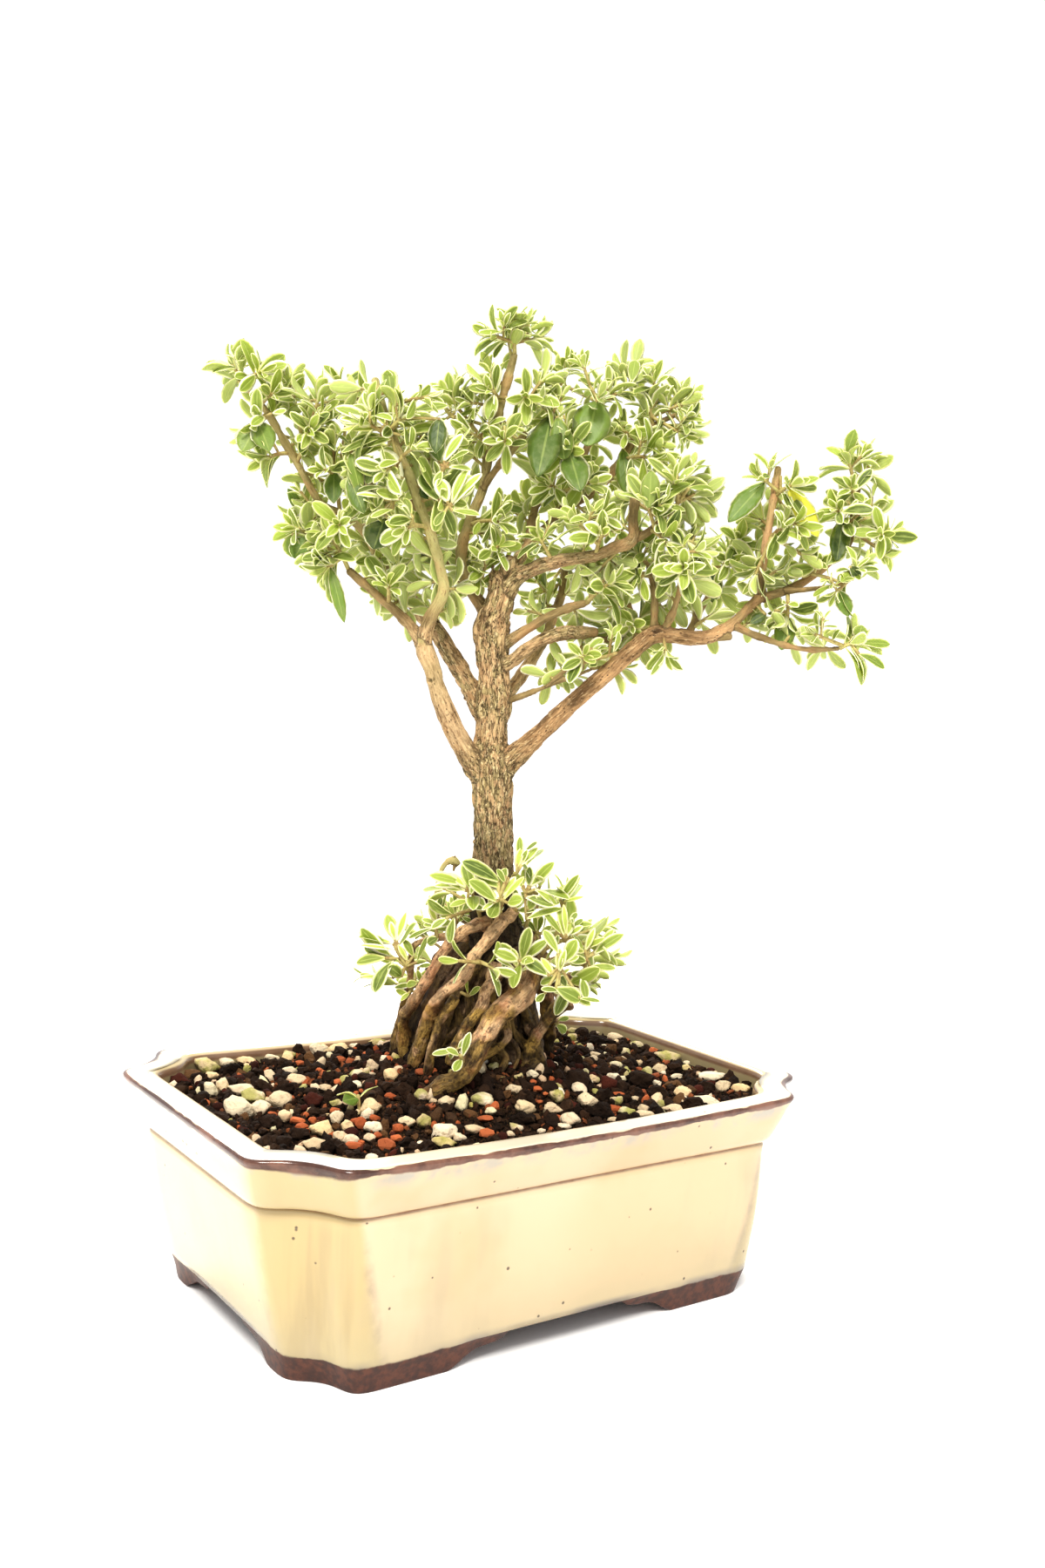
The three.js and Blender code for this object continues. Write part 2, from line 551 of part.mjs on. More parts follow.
// Leafy sprays of the crown. Each has a root on a limb, then tips with a count of leaves and their length.
// A large leaf grows from the tip that its first number names, and ends at the place given, with its width.
const crownSprays = [
  { root: [-90, 130, -6], tips: [[-95.5, 137.5, -8, 5, 11.5], [-86, 135, 0, 4, 11]] },
  {
    root: [-83.5, 121.5, -5],
    tips: [[-87, 118, 4, 2, 10]],
    large: [[0, -92, 109, 6, 9], [0, -83, 109, 10, 8]],
  },
  { root: [-76, 108.5, -5], tips: [[-84, 107, 0, 4, 11]] },
  {
    root: [-74, 105, -5],
    tips: [[-69, 117, 2, 4, 11], [-66.5, 128, 0, 5, 11.5], [-76, 132, -14, 4, 10]],
  },
  {
    root: [-66, 92, -8],
    tips: [[-73, 88, -14, 3, 10]],
    large: [[0, -77, 97, -10, 4]],
  },
  {
    root: [-60, 89.5, -10],
    tips: [[-62, 104, -2, 3, 12], [-57, 126, -18, 3, 10]],
    large: [[0, -62, 92, 2, 7]],
  },
  { root: [-41.5, 111.5, 20], tips: [[-51, 118, 27, 4, 13], [-40, 120, 26, 4, 13]] },
  {
    root: [-38, 103.5, 19],
    tips: [[-45, 103, 30, 3, 12], [-53, 96, 22, 3, 11]],
    large: [[1, -57, 103, 26, 7]],
  },
  { root: [-34, 92.5, 18], tips: [[-26, 94, 26, 4, 12], [-30, 104, 12, 3, 11]] },
  {
    root: [-31, 84, 17.3],
    tips: [[-38, 84, 28, 3, 10], [-46, 88, 20, 3, 10]],
    large: [[1, -49, 77, 20, 11]],
  },
  {
    root: [-57, 70, 5],
    tips: [[-63, 81, 8, 5, 11.5], [-64, 71, 8, 3, 11], [-71, 82, -4, 3, 11]],
    large: [[1, -58.5, 53, 10, 4.5], [2, -75, 74, 0, 8]],
  },
  { root: [-44, 59, 6.5], tips: [[-44, 65, 15, 4, 11]] },
  { root: [-2.6, 141, -8], tips: [[-3, 151, -7, 6, 9], [-9, 147, -4, 3, 10.5], [4, 146, -12, 3, 10]] },
  { root: [-7, 125, -8], tips: [[-10, 129, 0, 3, 9], [7, 126, 0, 5, 11]] },
  { root: [-10, 110, -8.5], tips: [[-17, 115, 0, 3, 10], [-24, 127, -4, 5, 12]] },
  { root: [-4, 109, -3], tips: [[-6, 113, 6, 4, 10]] },
  { root: [-17.6, 85, -10.3], tips: [[-8, 86, 0, 3, 10]] },
  { root: [-15, 61, -9.5], tips: [[-12, 72, -2, 3, 10]] },
  { root: [-38, 98, -41], tips: [[-42, 108, -40, 5, 11], [-28, 104, -45, 4, 11]] },
  { root: [-29.4, 81.5, -29.8], tips: [[-43, 84, -38, 4, 11], [-24, 92, -30, 3, 11]] },
  { root: [51, 92, 15], tips: [[50, 99, 20, 4, 12], [56, 93, 10, 4, 11]] },
  { root: [42, 83.3, 13], tips: [[47, 79, 22, 4, 10], [57, 79, 12, 4, 10], [41, 92, 24, 3, 13]] },
  { root: [24, 75, 10], tips: [[26, 82, 22, 3, 11], [18, 86, 18, 3, 10]] },
  { root: [10, 72.5, 5], tips: [[5, 81, 10, 4, 9]] },
  {
    root: [25, 121.5, -20],
    tips: [[28, 130, -18, 5, 11], [37, 132, -24, 4, 10], [11, 132, -24, 4, 10]],
  },
  {
    root: [18, 102, -20],
    tips: [[15, 110, 2, 2, 10], [9, 122, 0, 3, 10], [25, 127, 0, 2, 10]],
    large: [[1, 5, 101, 12, 11.5], [2, 21, 111, 5, 13], [0, 19, 96, 10, 10]],
  },
  {
    root: [43, 117.5, -27.8],
    tips: [[41, 125, -26, 4, 10], [53, 125, -26, 4, 10], [52, 115, -20, 3, 11]],
  },
  { root: [32, 106, -27], tips: [[42, 107, -16, 4, 11.5]] },
  { root: [14.8, 93, -19], tips: [[9, 98, -6, 4, 10], [22, 99, -4, 4, 11]] },
  {
    root: [9, 107, -48],
    tips: [[16, 118, -50, 5, 11], [3, 114, -48, 4, 11]],
  },
  { root: [13.2, 66, -36], tips: [[20, 70, -40, 4, 11], [6, 62, -30, 4, 10]] },
  { root: [21, 59.4, 6], tips: [[29, 66, 14, 5, 12]] },
  { root: [35, 48.2, -8], tips: [[39, 55, -8, 4, 11]] },
  { root: [19.5, 38, 6], tips: [[20, 42, 13, 4, 10], [31, 43, 15, 3, 9]] },
  { root: [41.8, 71, 1], tips: [[37, 76, 4, 4, 11]] },
  { root: [52.5, 69, 14], tips: [[53, 71, 22, 4, 11]] },
  { root: [65, 68, -14], tips: [[68, 77, -12, 5, 11]] },
  { root: [30, 78, -42], tips: [[39, 94, -49, 5, 11]] },
  {
    root: [82.5, 94, 5],
    tips: [[88, 98, 10, 4, 11], [79, 100, 8, 2, 10]],
    large: [[1, 67.5, 86, 12, 8], [0, 97, 81, 12, 8]],
  },
  {
    root: [80.2, 79, 4.4],
    tips: [[85, 84, 12, 4, 10], [92, 75, 5, 4, 10], [76, 68, 8, 3, 10]],
  },
  { root: [87, 63.6, 0], tips: [[87, 54, 5, 4, 10]], large: [[0, 85, 44, 7, 7]] },
  {
    root: [107.5, 81, -6],
    tips: [[105, 88, 0, 4, 10], [115, 88, -8, 3, 11], [117, 77, 0, 4, 11]],
    large: [[0, 103, 73, 4, 7]],
  },
  { root: [109.6, 95, -6], tips: [[107, 106, -4, 4, 10.5], [114, 103, -8, 3, 10.5]] },
  { root: [108, 67, 10], tips: [[109, 70, 12, 2, 9], [103, 63, 13, 2, 8]], large: [[1, 107, 55, 14, 6]] },
  { root: [104, 44.5, 12], tips: [[108, 46, 13, 3, 12], [96, 49, 16, 2, 7]] },
];

// Young shoots at the trunk's foot and among the exposed roots.
const baseShoots = [
  { root: [-13, -47, -8], tips: [[-17, -35, 4, 3, 11], [-26, -34, -2, 3, 10], [-25, -44, 8, 3, 8]] },
  { root: [-7, -46, -5], tips: [[-8, -37, 9, 3, 10], [-3, -30, 3, 3, 9]] },
  { root: [1, -47, -9], tips: [[6, -33, 0, 3, 11], [0, -24, -4, 3, 9]] },
  {
    root: [6, -56, -9],
    tips: [[16, -47, 0, 4, 9], [15, -37, -6, 3, 11], [24, -53, -4, 5, 12]],
  },
  { root: [1, -63, 1], tips: [[-1, -58, 14, 4, 11], [10, -58, 14, 4, 10]] },
  { root: [-16.5, -58, 9], tips: [[-9, -61, 16, 4, 9], [-21, -58, 16, 3, 8]] },
  {
    root: [-36.7, -64, -12.6],
    tips: [[-42, -51, -8, 3, 11], [-45, -57, -6, 3, 13]],
  },
  { root: [-19, -93, 19], tips: [[-20.5, -89, 26, 3, 7]] },
  { root: [14, -64, -12], tips: [[16, -67, -2, 4, 11]] },
];

// One weed seedling stands in the soil in front of the tree.
const seedling = { root: [-53, -114, 32], tips: [[-54, -102, 32, 2, 7]], large: [[0, -59, -104, 37, 5]] };

// A twig runs from one place to another with a slight rise. Its last stretch has a ring below and above
// each pair of leaves.
function twigPath(from, to, rise, pairs, forks, startRadius) {
  const length = from.distanceTo(to);
  const middle = from.clone().add(to).multiplyScalar(0.5);
  middle.z += rise * length;
  const curve = new THREE.QuadraticBezierCurve3(from, middle, to);
  const leafy = (pairs * tuft.pairSpacing) / length;
  const shares = forks ? [0, Math.max(0.3, 0.6 - leafy)] : [0];
  for (let ring = pairs; ring >= 0; ring -= 1) {
    shares.push(Math.max(0.4 + 0.1 * (pairs - ring), 1 - (ring * tuft.pairSpacing) / length));
  }
  return shares.map((share) => ({
    centre: curve.getPoint(share),
    radius: startRadius + (twig.endRadius - startRadius) * share,
  }));
}

// The first side of a twig's section, turned by chance about the twig.
function twigTurn(seed) {
  return radians(90 * chance(seed));
}

function tipSeed(index, tip) {
  return 1000 * (index + 1) + 100 * tip;
}

// The twigs of a spray: the first runs from the limb to the first tip, the others fork off it.
function twigPaths(spray) {
  const ends = spray.tips.map(([right, up, toward]) => seen(right, up, toward));
  const pairs = spray.tips.map((tip) => Math.ceil(tip[3] / 2));
  const main = twigPath(seen(...spray.root), ends[0], twig.rise, pairs[0], true, twig.startRadius);
  const fork = main[1].centre.clone().lerp(main[2].centre, 0.3);
  return ends.map((end, i) => (i === 0 ? main : twigPath(fork, end, 0, pairs[i], false, twig.forkRadius)));
}

function twigRings(path, turn) {
  return pathFrames(path.map((p) => p.centre), turn).map(({ across, other }, i) =>
    Array.from({ length: twig.sides }, (_, side) => {
      const angle = (2 * Math.PI * side) / twig.sides;
      return path[i].centre
        .clone()
        .addScaledVector(across, path[i].radius * Math.cos(angle))
        .addScaledVector(other, path[i].radius * Math.sin(angle));
    }),
  );
}

// A blade swells from its foot and narrows to the leaf's tip, and arches along its length.
// Its section is a wide flat triangle: two edges and the keel of the midrib below them.
function bladeRings(leaf) {
  const across = leaf.along.clone().cross(leaf.normal).normalize();
  const stations = leaf.length > blade.longOver ? blade.longStations : blade.shortStations;
  const half = blade.thickness / 2;
  return stations.map(([share, wide]) => {
    const lift = leaf.length * leaf.arch * share * (1 - share);
    const centre = leaf.base.clone().addScaledVector(leaf.along, leaf.length * share);
    centre.addScaledVector(leaf.normal, lift);
    const side = (leaf.width / 2) * wide;
    return [
      centre.clone().addScaledVector(across, side).addScaledVector(leaf.normal, half),
      centre.clone().addScaledVector(leaf.normal, -half),
      centre.clone().addScaledVector(across, -side).addScaledVector(leaf.normal, half),
    ];
  });
}

function bladeTip(leaf) {
  return leaf.base.clone().addScaledVector(leaf.along, leaf.length);
}

// Leaves stand in crossed pairs up the end of a twig, wide open below and closing toward its tip.
function tuftLeaves(path, count, length, seed) {
  const frames = pathFrames(path.map((p) => p.centre), twigTurn(seed));
  const pairs = Math.ceil(count / 2);
  const firstBand = path.length - 1 - pairs;
  return Array.from({ length: count }, (_, k) => {
    const pair = Math.floor(k / 2);
    const share = pairs > 1 ? pair / (pairs - 1) : 0;
    const band = firstBand + pair;
    const side = (pair + 2 * (k % 2)) % 4;
    const { along: axis, across, other } = frames[band];
    const turn = radians(45 + 90 * side + between(-tuft.turnSpread, tuft.turnSpread, seed + k));
    const steady = tuft.openBelow + (tuft.openAbove - tuft.openBelow) * share;
    const open = radians(steady + between(-tuft.openSpread, tuft.openSpread, seed + k + 0.5));
    const out = across.clone().multiplyScalar(Math.cos(turn)).addScaledVector(other, Math.sin(turn));
    const along = axis.clone().multiplyScalar(Math.cos(open)).addScaledVector(out, Math.sin(open));
    along.z -= tuft.droop * (1 - share);
    along.normalize();
    const normal = axis.clone().addScaledVector(along, -axis.dot(along)).normalize();
    const grown = tuft.lengthBelow + (tuft.lengthAbove - tuft.lengthBelow) * share;
    const size = length * grown * between(...tuft.lengthSpread, seed + k + 0.25);
    const foot = path[band].centre.clone().lerp(path[band + 1].centre, 0.5);
    return {
      base: foot.addScaledVector(out, 0.3),
      along,
      normal,
      length: size,
      width: size * between(...tuft.widthSpread, seed + k + 0.75),
      arch: tuft.arch,
      band,
      side,
    };
  });
}

// A large leaf reaches from the end of its twig to a given place, its face turned to the viewer and the sky.
function largeLeaf(path, [, right, up, toward, width], turn) {
  const band = path.length - 2;
  const base = path[band].centre.clone().lerp(path[band + 1].centre, 0.5);
  const reach = seen(right, up, toward).sub(base);
  const along = reach.clone().normalize();
  const face = towardEye.clone().add(new THREE.Vector3(0, 0, 0.5));
  const normal = face.addScaledVector(along, -face.dot(along)).normalize();
  const { across, other } = pathFrames(path.map((p) => p.centre), turn)[band];
  const bearing = Math.atan2(along.dot(other), along.dot(across));
  const side = (Math.floor((2 * bearing) / Math.PI) + 4) % 4;
  return { base, along, normal, length: reach.length(), width, arch: blade.largeArch, band, side };
}

// The triangle of the twig's skin that a leaf grows from, as places in the twig's list of points.
function leafFoot(leaf) {
  const low = leaf.band * twig.sides;
  const next = (leaf.side + 1) % twig.sides;
  return [low + leaf.side, low + next, low + twig.sides + next];
}

// The foot's corners in the order that twists the blade least.
function untwisted(foot, points, ring) {
  const shifts = [0, 1, 2].map((shift) => foot.map((_, i) => foot[(i + shift) % 3]));
  const twist = (order) => order.reduce((sum, at, i) => sum + points[at].distanceTo(ring[i]), 0);
  return shifts.reduce((best, order) => (twist(order) < twist(best) ? order : best));
}

// One closed skin for a twig and the leaves that grow from it.
function leafyTwig(path, turn, leaves) {
  const points = twigRings(path, turn).flat();
  const rings = path.length;
  const open = new Set();
  const triangles = [];
  leaves.forEach((leaf) => {
    const foot = leafFoot(leaf);
    open.add(foot.join(" "));
    const outline = bladeRings(leaf);
    let lower = untwisted(foot, points, outline[0]);
    outline.forEach((ring) => {
      const upper = ring.map((_, i) => points.length + i);
      points.push(...ring);
      lower.forEach((a, i) => {
        const j = (i + 1) % 3;
        triangles.push(a, lower[j], upper[j], a, upper[j], upper[i]);
      });
      lower = upper;
    });
    points.push(bladeTip(leaf));
    lower.forEach((a, i) => triangles.push(a, lower[(i + 1) % 3], points.length - 1));
  });
  for (let ring = 0; ring < rings - 1; ring += 1) {
    for (let side = 0; side < twig.sides; side += 1) {
      const a = ring * twig.sides + side;
      const b = ring * twig.sides + ((side + 1) % twig.sides);
      if (!open.has([a, b, b + twig.sides].join(" "))) {
        triangles.push(a, b, b + twig.sides);
      }
      triangles.push(a, b + twig.sides, a + twig.sides);
    }
  }
  const last = (rings - 1) * twig.sides;
  const end = path[rings - 1].centre.clone();
  const beyond = end.clone().sub(path[rings - 2].centre).setLength(twig.point);
  points.push(path[0].centre, end.add(beyond));
  for (let side = 0; side < twig.sides; side += 1) {
    const next = (side + 1) % twig.sides;
    triangles.push(points.length - 2, next, side, points.length - 1, last + side, last + next);
  }
  return solidFrom(points, triangles);
}

// One leaf as a solid of its own, to test how near it comes to others.
function looseBlade(leaf, path, turn) {
  const points = twigRings(path, turn).flat();
  const outline = bladeRings(leaf);
  const foot = untwisted(leafFoot(leaf), points, outline[0]).map((at) => points[at]);
  const start = foot.map((p, i) => p.clone().lerp(outline[0][i], 0.3));
  return loft([start, ...outline], undefined, bladeTip(leaf));
}

function boxesMeet(a, b, gap) {
  return [0, 1, 2].every((k) => a.min[k] - gap < b.max[k] && b.min[k] - gap < a.max[k]);
}

// A leaf that would come too near another node or leaf turns a little, or shortens, or is left out.
const bends = [[0, 1], [14, 1], [-14, 1], [28, 0.95], [-28, 0.95], [0, 0.8], [40, 0.85], [-40, 0.85]];

function clearLeaf(leaf, path, turn, axis, others, kin) {
  for (const [bend, shorter] of bends) {
    const angle = radians(bend);
    const tried = {
      ...leaf,
      along: leaf.along.clone().applyAxisAngle(axis, angle),
      normal: leaf.normal.clone().applyAxisAngle(axis, angle),
      length: leaf.length * shorter,
      width: leaf.width * Math.sqrt(shorter),
    };
    const solid = looseBlade(tried, path, turn);
    const around = solid.boundingBox();
    const reach = clearance + 0.05;
    const apart = (list, gap) =>
      list
        .filter((other) => boxesMeet(around, other.box, gap))
        .every((other) => solid.minGap(other.solid, reach) >= gap);
    if (apart(others, clearance - 0.03) && apart(kin, kinGap)) {
      return { leaf: tried, solid };
    }
  }
  return null;
}

const named = (list, name) =>
  list.map((spray, i) => ({ ...spray, name: `${name}_${String(i + 1).padStart(2, "0")}` }));
const sprays = [
  ...named(crownSprays, "crown_spray"),
  ...named(baseShoots, "base_shoot"),
  { ...seedling, name: "seedling" },
];

const wood = mainBody(makeWood(0));
const aroundWood = makeWood(clearance);
const pot = makePot();
const stemHole = joined(twigPaths(seedling).map((path) => tube(path, 6, clearance)));
const soil = mainBody(makeSoil(aroundWood).subtract(stemHole));

const obstacle = (owner, solid) => ({ owner, solid, box: solid.boundingBox() });
const obstacles = [obstacle("wood", wood), obstacle("pot", pot), obstacle("soil", soil)];
sprays.forEach((spray, index) => {
  const bare = twigPaths(spray).map((path, i) => leafyTwig(path, twigTurn(tipSeed(index, i)), []));
  obstacles.push(obstacle(spray.name, mainBody(joined(bare).subtract(aroundWood))));
});

const leafGreens = ["#8fa860", "#a3b56e", "#7f9c55", "#9cb267"];
sprays.forEach((spray, index) => {
  const others = obstacles.filter((other) => other.owner !== spray.name);
  const kin = [];
  const shoots = twigPaths(spray).map((path, i) => {
    const seed = tipSeed(index, i);
    const turn = twigTurn(seed);
    const axis = path[path.length - 1].centre.clone().sub(path[path.length - 2].centre).normalize();
    const large = (spray.large || []).filter((entry) => entry[0] === i);
    const wanted = [
      ...large.map((entry) => largeLeaf(path, entry, turn)),
      ...tuftLeaves(path, spray.tips[i][3], spray.tips[i][4], seed),
    ];
    const taken = new Set();
    const grown = [];
    wanted.forEach((leaf) => {
      const place = `${leaf.band} ${leaf.side}`;
      const found = taken.has(place) ? null : clearLeaf(leaf, path, turn, axis, others, kin);
      if (found) {
        taken.add(place);
        grown.push(found.leaf);
        kin.push(obstacle(spray.name, found.solid));
      }
    });
    return leafyTwig(path, turn, grown);
  });
  obstacles.push(...kin);
  const body = mainBody(joined(shoots).subtract(aroundWood));
  addNode(spray.name, body, leafGreens[index % leafGreens.length], 0.55);
});

addNode("pot", pot, "#efe6c4", 0.25);
addNode("drain_screen_left", makeScreen(-drainHoleAt), "#2f3330", 0.7);
addNode("drain_screen_right", makeScreen(drainHoleAt), "#2f3330", 0.7);
addNode("soil", soil, "#3a2c24", 0.95);
addNode("wood", wood, "#a98662", 0.85);

// The part's origin lies under the middle of its own bounding box.
const whole = new THREE.Box3().setFromObject(part);
const middle = whole.getCenter(new THREE.Vector3());
const placed = new THREE.Group();
placed.position.set(-middle.x, -middle.y, -whole.min.z);
placed.add(...part.children);
part.add(placed);

export default part;
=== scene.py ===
import math

import bmesh
import bpy
import numpy as np
from mathutils import Matrix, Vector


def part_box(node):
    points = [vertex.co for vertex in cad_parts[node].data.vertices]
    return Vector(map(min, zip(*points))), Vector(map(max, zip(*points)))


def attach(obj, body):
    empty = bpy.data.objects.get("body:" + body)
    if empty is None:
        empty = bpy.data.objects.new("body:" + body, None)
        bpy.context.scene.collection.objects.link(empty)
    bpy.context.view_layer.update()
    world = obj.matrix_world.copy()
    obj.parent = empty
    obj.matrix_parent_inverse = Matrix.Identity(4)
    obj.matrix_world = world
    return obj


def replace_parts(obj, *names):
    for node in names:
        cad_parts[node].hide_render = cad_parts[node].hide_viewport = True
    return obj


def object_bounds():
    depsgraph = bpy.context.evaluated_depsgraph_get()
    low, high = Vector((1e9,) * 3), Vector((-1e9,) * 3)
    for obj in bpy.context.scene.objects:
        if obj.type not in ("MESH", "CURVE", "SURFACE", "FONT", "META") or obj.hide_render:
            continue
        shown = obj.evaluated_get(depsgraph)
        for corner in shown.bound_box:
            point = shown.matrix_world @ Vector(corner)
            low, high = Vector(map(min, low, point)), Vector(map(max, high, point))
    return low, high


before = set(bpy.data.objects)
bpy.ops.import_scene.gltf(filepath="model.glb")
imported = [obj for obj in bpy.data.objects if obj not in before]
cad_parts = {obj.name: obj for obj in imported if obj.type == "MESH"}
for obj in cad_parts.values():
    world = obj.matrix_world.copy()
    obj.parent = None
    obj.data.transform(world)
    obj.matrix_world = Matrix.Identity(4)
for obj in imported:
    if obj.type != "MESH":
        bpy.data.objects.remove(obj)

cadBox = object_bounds()
mm = 0.001   # every length below is in millimetres from the pot's middle on the table

# the photograph's view of the pot; pixelsPerMm holds at the pot's distance
view = {"azimuth": -35.3, "elevation": 3.5, "roll": 3.0, "distance": 463.0, "besidePot": 11.9,
        "aboveTable": 163.9, "lens": 32.4, "sensor": 36.0, "width": 1200, "height": 1800,
        "pixelsPerMm": 3.5}


def unit(v):
    return v / np.linalg.norm(v, axis=-1, keepdims=True)


def turnAbout(v, axis, angle):
    # v turned about the unit axis: v cos + (axis x v) sin + axis (axis . v)(1 - cos)
    c, s = np.cos(angle), np.sin(angle)
    return v * c + np.cross(axis, v) * s + axis * np.sum(axis * v, axis=-1, keepdims=True) * (1 - c)


azimuth, elevation, roll = (math.radians(view[key]) for key in ("azimuth", "elevation", "roll"))
sideways = np.array([math.cos(azimuth), math.sin(azimuth), 0.0])
towardEye = np.array([math.sin(azimuth) * math.cos(elevation), -math.cos(azimuth) * math.cos(elevation),
                      math.sin(elevation)])
pictureRight = turnAbout(sideways, towardEye, roll)
pictureUp = turnAbout(np.cross(towardEye, sideways), towardEye, roll)
pictureMiddle = sideways * view["besidePot"] + np.array([0, 0, view["aboveTable"]])
eye = pictureMiddle + towardEye * view["distance"]
potLow, potHigh = (np.array(corner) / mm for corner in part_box("pot"))
potMiddle = np.array([(potLow[0] + potHigh[0]) / 2, (potLow[1] + potHigh[1]) / 2, 0.0])
roomLow, roomHigh = (np.array(corner) / mm - potMiddle for corner in cadBox)


def seen(points):
    # rows of right, up, toward read off the photograph, slid toward the eye along their lines of sight
    p = np.asarray(points, float)
    flat = pictureMiddle + p[..., :1] * pictureRight + p[..., 1:2] * pictureUp
    return (flat - eye) * (1 - p[..., 2:3] / view["distance"]) + eye


def asSeen(points):
    # the other way round: right, up, toward of points in space
    away = np.asarray(points, float) - eye
    depth = -(away @ towardEye)
    scale = view["distance"] / depth
    right, up = (away @ pictureRight) * scale, (away @ pictureUp) * scale
    return np.stack([right, up, view["distance"] - depth], -1)


def fromPicture(x, y):
    # right and up of a place in the photograph's 1200 x 1800 pixels
    return (np.asarray(x, float) - view["width"] / 2) / view["pixelsPerMm"], \
        (view["height"] / 2 - np.asarray(y, float)) / view["pixelsPerMm"]


def addCamera():
    camera = bpy.data.objects.new("photoView", bpy.data.cameras.new("photoView"))
    camera.data.sensor_fit = "VERTICAL"
    camera.data.sensor_height = view["sensor"]
    camera.data.lens = view["lens"]
    camera.data.clip_start = 0.01
    place = np.eye(4)
    place[:3, 0], place[:3, 1], place[:3, 2] = pictureRight, pictureUp, towardEye
    place[:3, 3] = (eye + potMiddle) * mm
    bpy.context.scene.collection.objects.link(camera)
    camera.matrix_world = Matrix(place.tolist())
    bpy.context.scene.camera = camera


addCamera()
print("camera placed")


# shader maths

class Wire:
    # one output socket; + - * / with numbers or other wires add the Math nodes
    def __init__(self, paint, socket):
        self.paint, self.socket = paint, socket

    def maths(self, operation, *values):
        return self.paint.node("ShaderNodeMath", {"operation": operation}, dict(enumerate(values)))

    def __add__(self, other):
        return self.maths("ADD", self, other)

    def __radd__(self, other):
        return self.maths("ADD", other, self)

    def __sub__(self, other):
        return self.maths("SUBTRACT", self, other)

    def __rsub__(self, other):
        return self.maths("SUBTRACT", other, self)

    def __mul__(self, other):
        return self.maths("MULTIPLY", self, other)

    def __rmul__(self, other):
        return self.maths("MULTIPLY", other, self)

    def __truediv__(self, other):
        return self.maths("DIVIDE", self, other)

    def size(self):
        return self.maths("ABSOLUTE", self)

    def near(self, value, width):
        # 1 at the value, falling to 0 a width away
        return 1 - ((self - value).size() / width).step(0.0, 1.0)

    def step(self, low, high):
        # 0 below low, 1 above high, smooth between
        return self.paint.node("ShaderNodeMapRange", {"interpolation_type": "SMOOTHSTEP"},
                               {0: self, 1: low, 2: high, 3: 0.0, 4: 1.0})


class Paint:
    # one procedural material
    def __init__(self, name):
        self.material = bpy.data.materials.new(name)
        self.material.use_nodes = True
        self.tree = self.material.node_tree
        self.tree.nodes.clear()

    def node(self, kind, settings=None, sockets=None, out=0):
        made = self.tree.nodes.new(kind)
        for key, value in (settings or {}).items():
            setattr(made, key, value)
        for key, value in (sockets or {}).items():
            if isinstance(value, Wire):
                self.tree.links.new(value.socket, made.inputs[key])
            else:
                made.inputs[key].default_value = value
        return Wire(self, made.outputs[out] if made.outputs else None)

    def place(self):
        return self.node("ShaderNodeTexCoord", out="Object")

    def stretched(self, vector, scale, shift=(0.0, 0.0, 0.0)):
        return self.node("ShaderNodeVectorMath", {"operation": "MULTIPLY_ADD"},
                         {0: vector, 1: scale, 2: shift})

    def noise(self, scale, detail, rough=0.55, at=None):
        return self.node("ShaderNodeTexNoise", sockets={
            "Vector": at or self.place(), "Scale": scale, "Detail": detail, "Roughness": rough})

    def cells(self, scale, out="Distance", at=None):
        return self.node("ShaderNodeTexVoronoi", None, {"Vector": at or self.place(), "Scale": scale}, out)

    def attribute(self, name, out="Fac"):
        return self.node("ShaderNodeAttribute", {"attribute_name": name}, out=out)

    def parts(self, vector):
        split = self.node("ShaderNodeSeparateXYZ", sockets={0: vector}).socket.node
        return [Wire(self, split.outputs[i]) for i in range(3)]

    def blend(self, amount, first, second):
        # each colour is a wire, a display triple or the linear values that tint gives
        first, second = (tint(*c) if isinstance(c, tuple) and len(c) == 3 else c for c in (first, second))
        return self.node("ShaderNodeMix", {"data_type": "RGBA"}, {0: amount, 6: first, 7: second}, 2)

    def coats(self, base, layers):
        # an amount and a colour for each layer, laid over the base one after another
        for amount, colour in layers:
            base = self.blend(amount, base, colour)
        return base

    def finish(self, sockets, bump=None, bumpDepth=0.0003, bumpStrength=0.6):
        if bump is not None:
            sockets["Normal"] = self.node("ShaderNodeBump", sockets={
                "Strength": bumpStrength, "Distance": bumpDepth, "Height": bump})
        skin = self.node("ShaderNodeBsdfPrincipled", sockets=sockets)
        self.node("ShaderNodeOutputMaterial", sockets={"Surface": skin})
        return self.material


def tint(red, green, blue, share=1.0):
    # a colour in 0-255 display values as linear light, dimmed to a share of itself
    linear = (((v / 255 + 0.055) / 1.055) ** 2.4 if v > 10 else v / 3295 for v in (red, green, blue))
    return (*(v * share for v in linear), 1.0)


# meshes from arrays

def addPiece(name, points, faces, paint, uv=None, values=None, smooth=True):
    # points in millimetres from the pot's middle; faces is a list of index arrays
    mesh = bpy.data.meshes.new(name)
    inside = np.clip(np.asarray(points), roomLow, roomHigh)
    mesh.from_pydata((inside + potMiddle) * mm, [], [f for block in faces for f in block.tolist()])
    for key, value in (values or {}).items():
        addValues(mesh, key, np.asarray(value, np.float32))
    if uv is not None:
        layer = mesh.uv_layers.new(name="UVMap")
        corner = np.zeros(len(mesh.loops), np.int32)
        mesh.loops.foreach_get("vertex_index", corner)
        layer.data.foreach_set("uv", np.asarray(uv, np.float32)[corner].ravel())
    mesh.materials.append(paint)
    if smooth:
        mesh.shade_smooth()
    piece = bpy.data.objects.new(name, mesh)
    bpy.context.scene.collection.objects.link(piece)
    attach(piece, "root")
    print(name, len(mesh.polygons), "faces")
    return piece


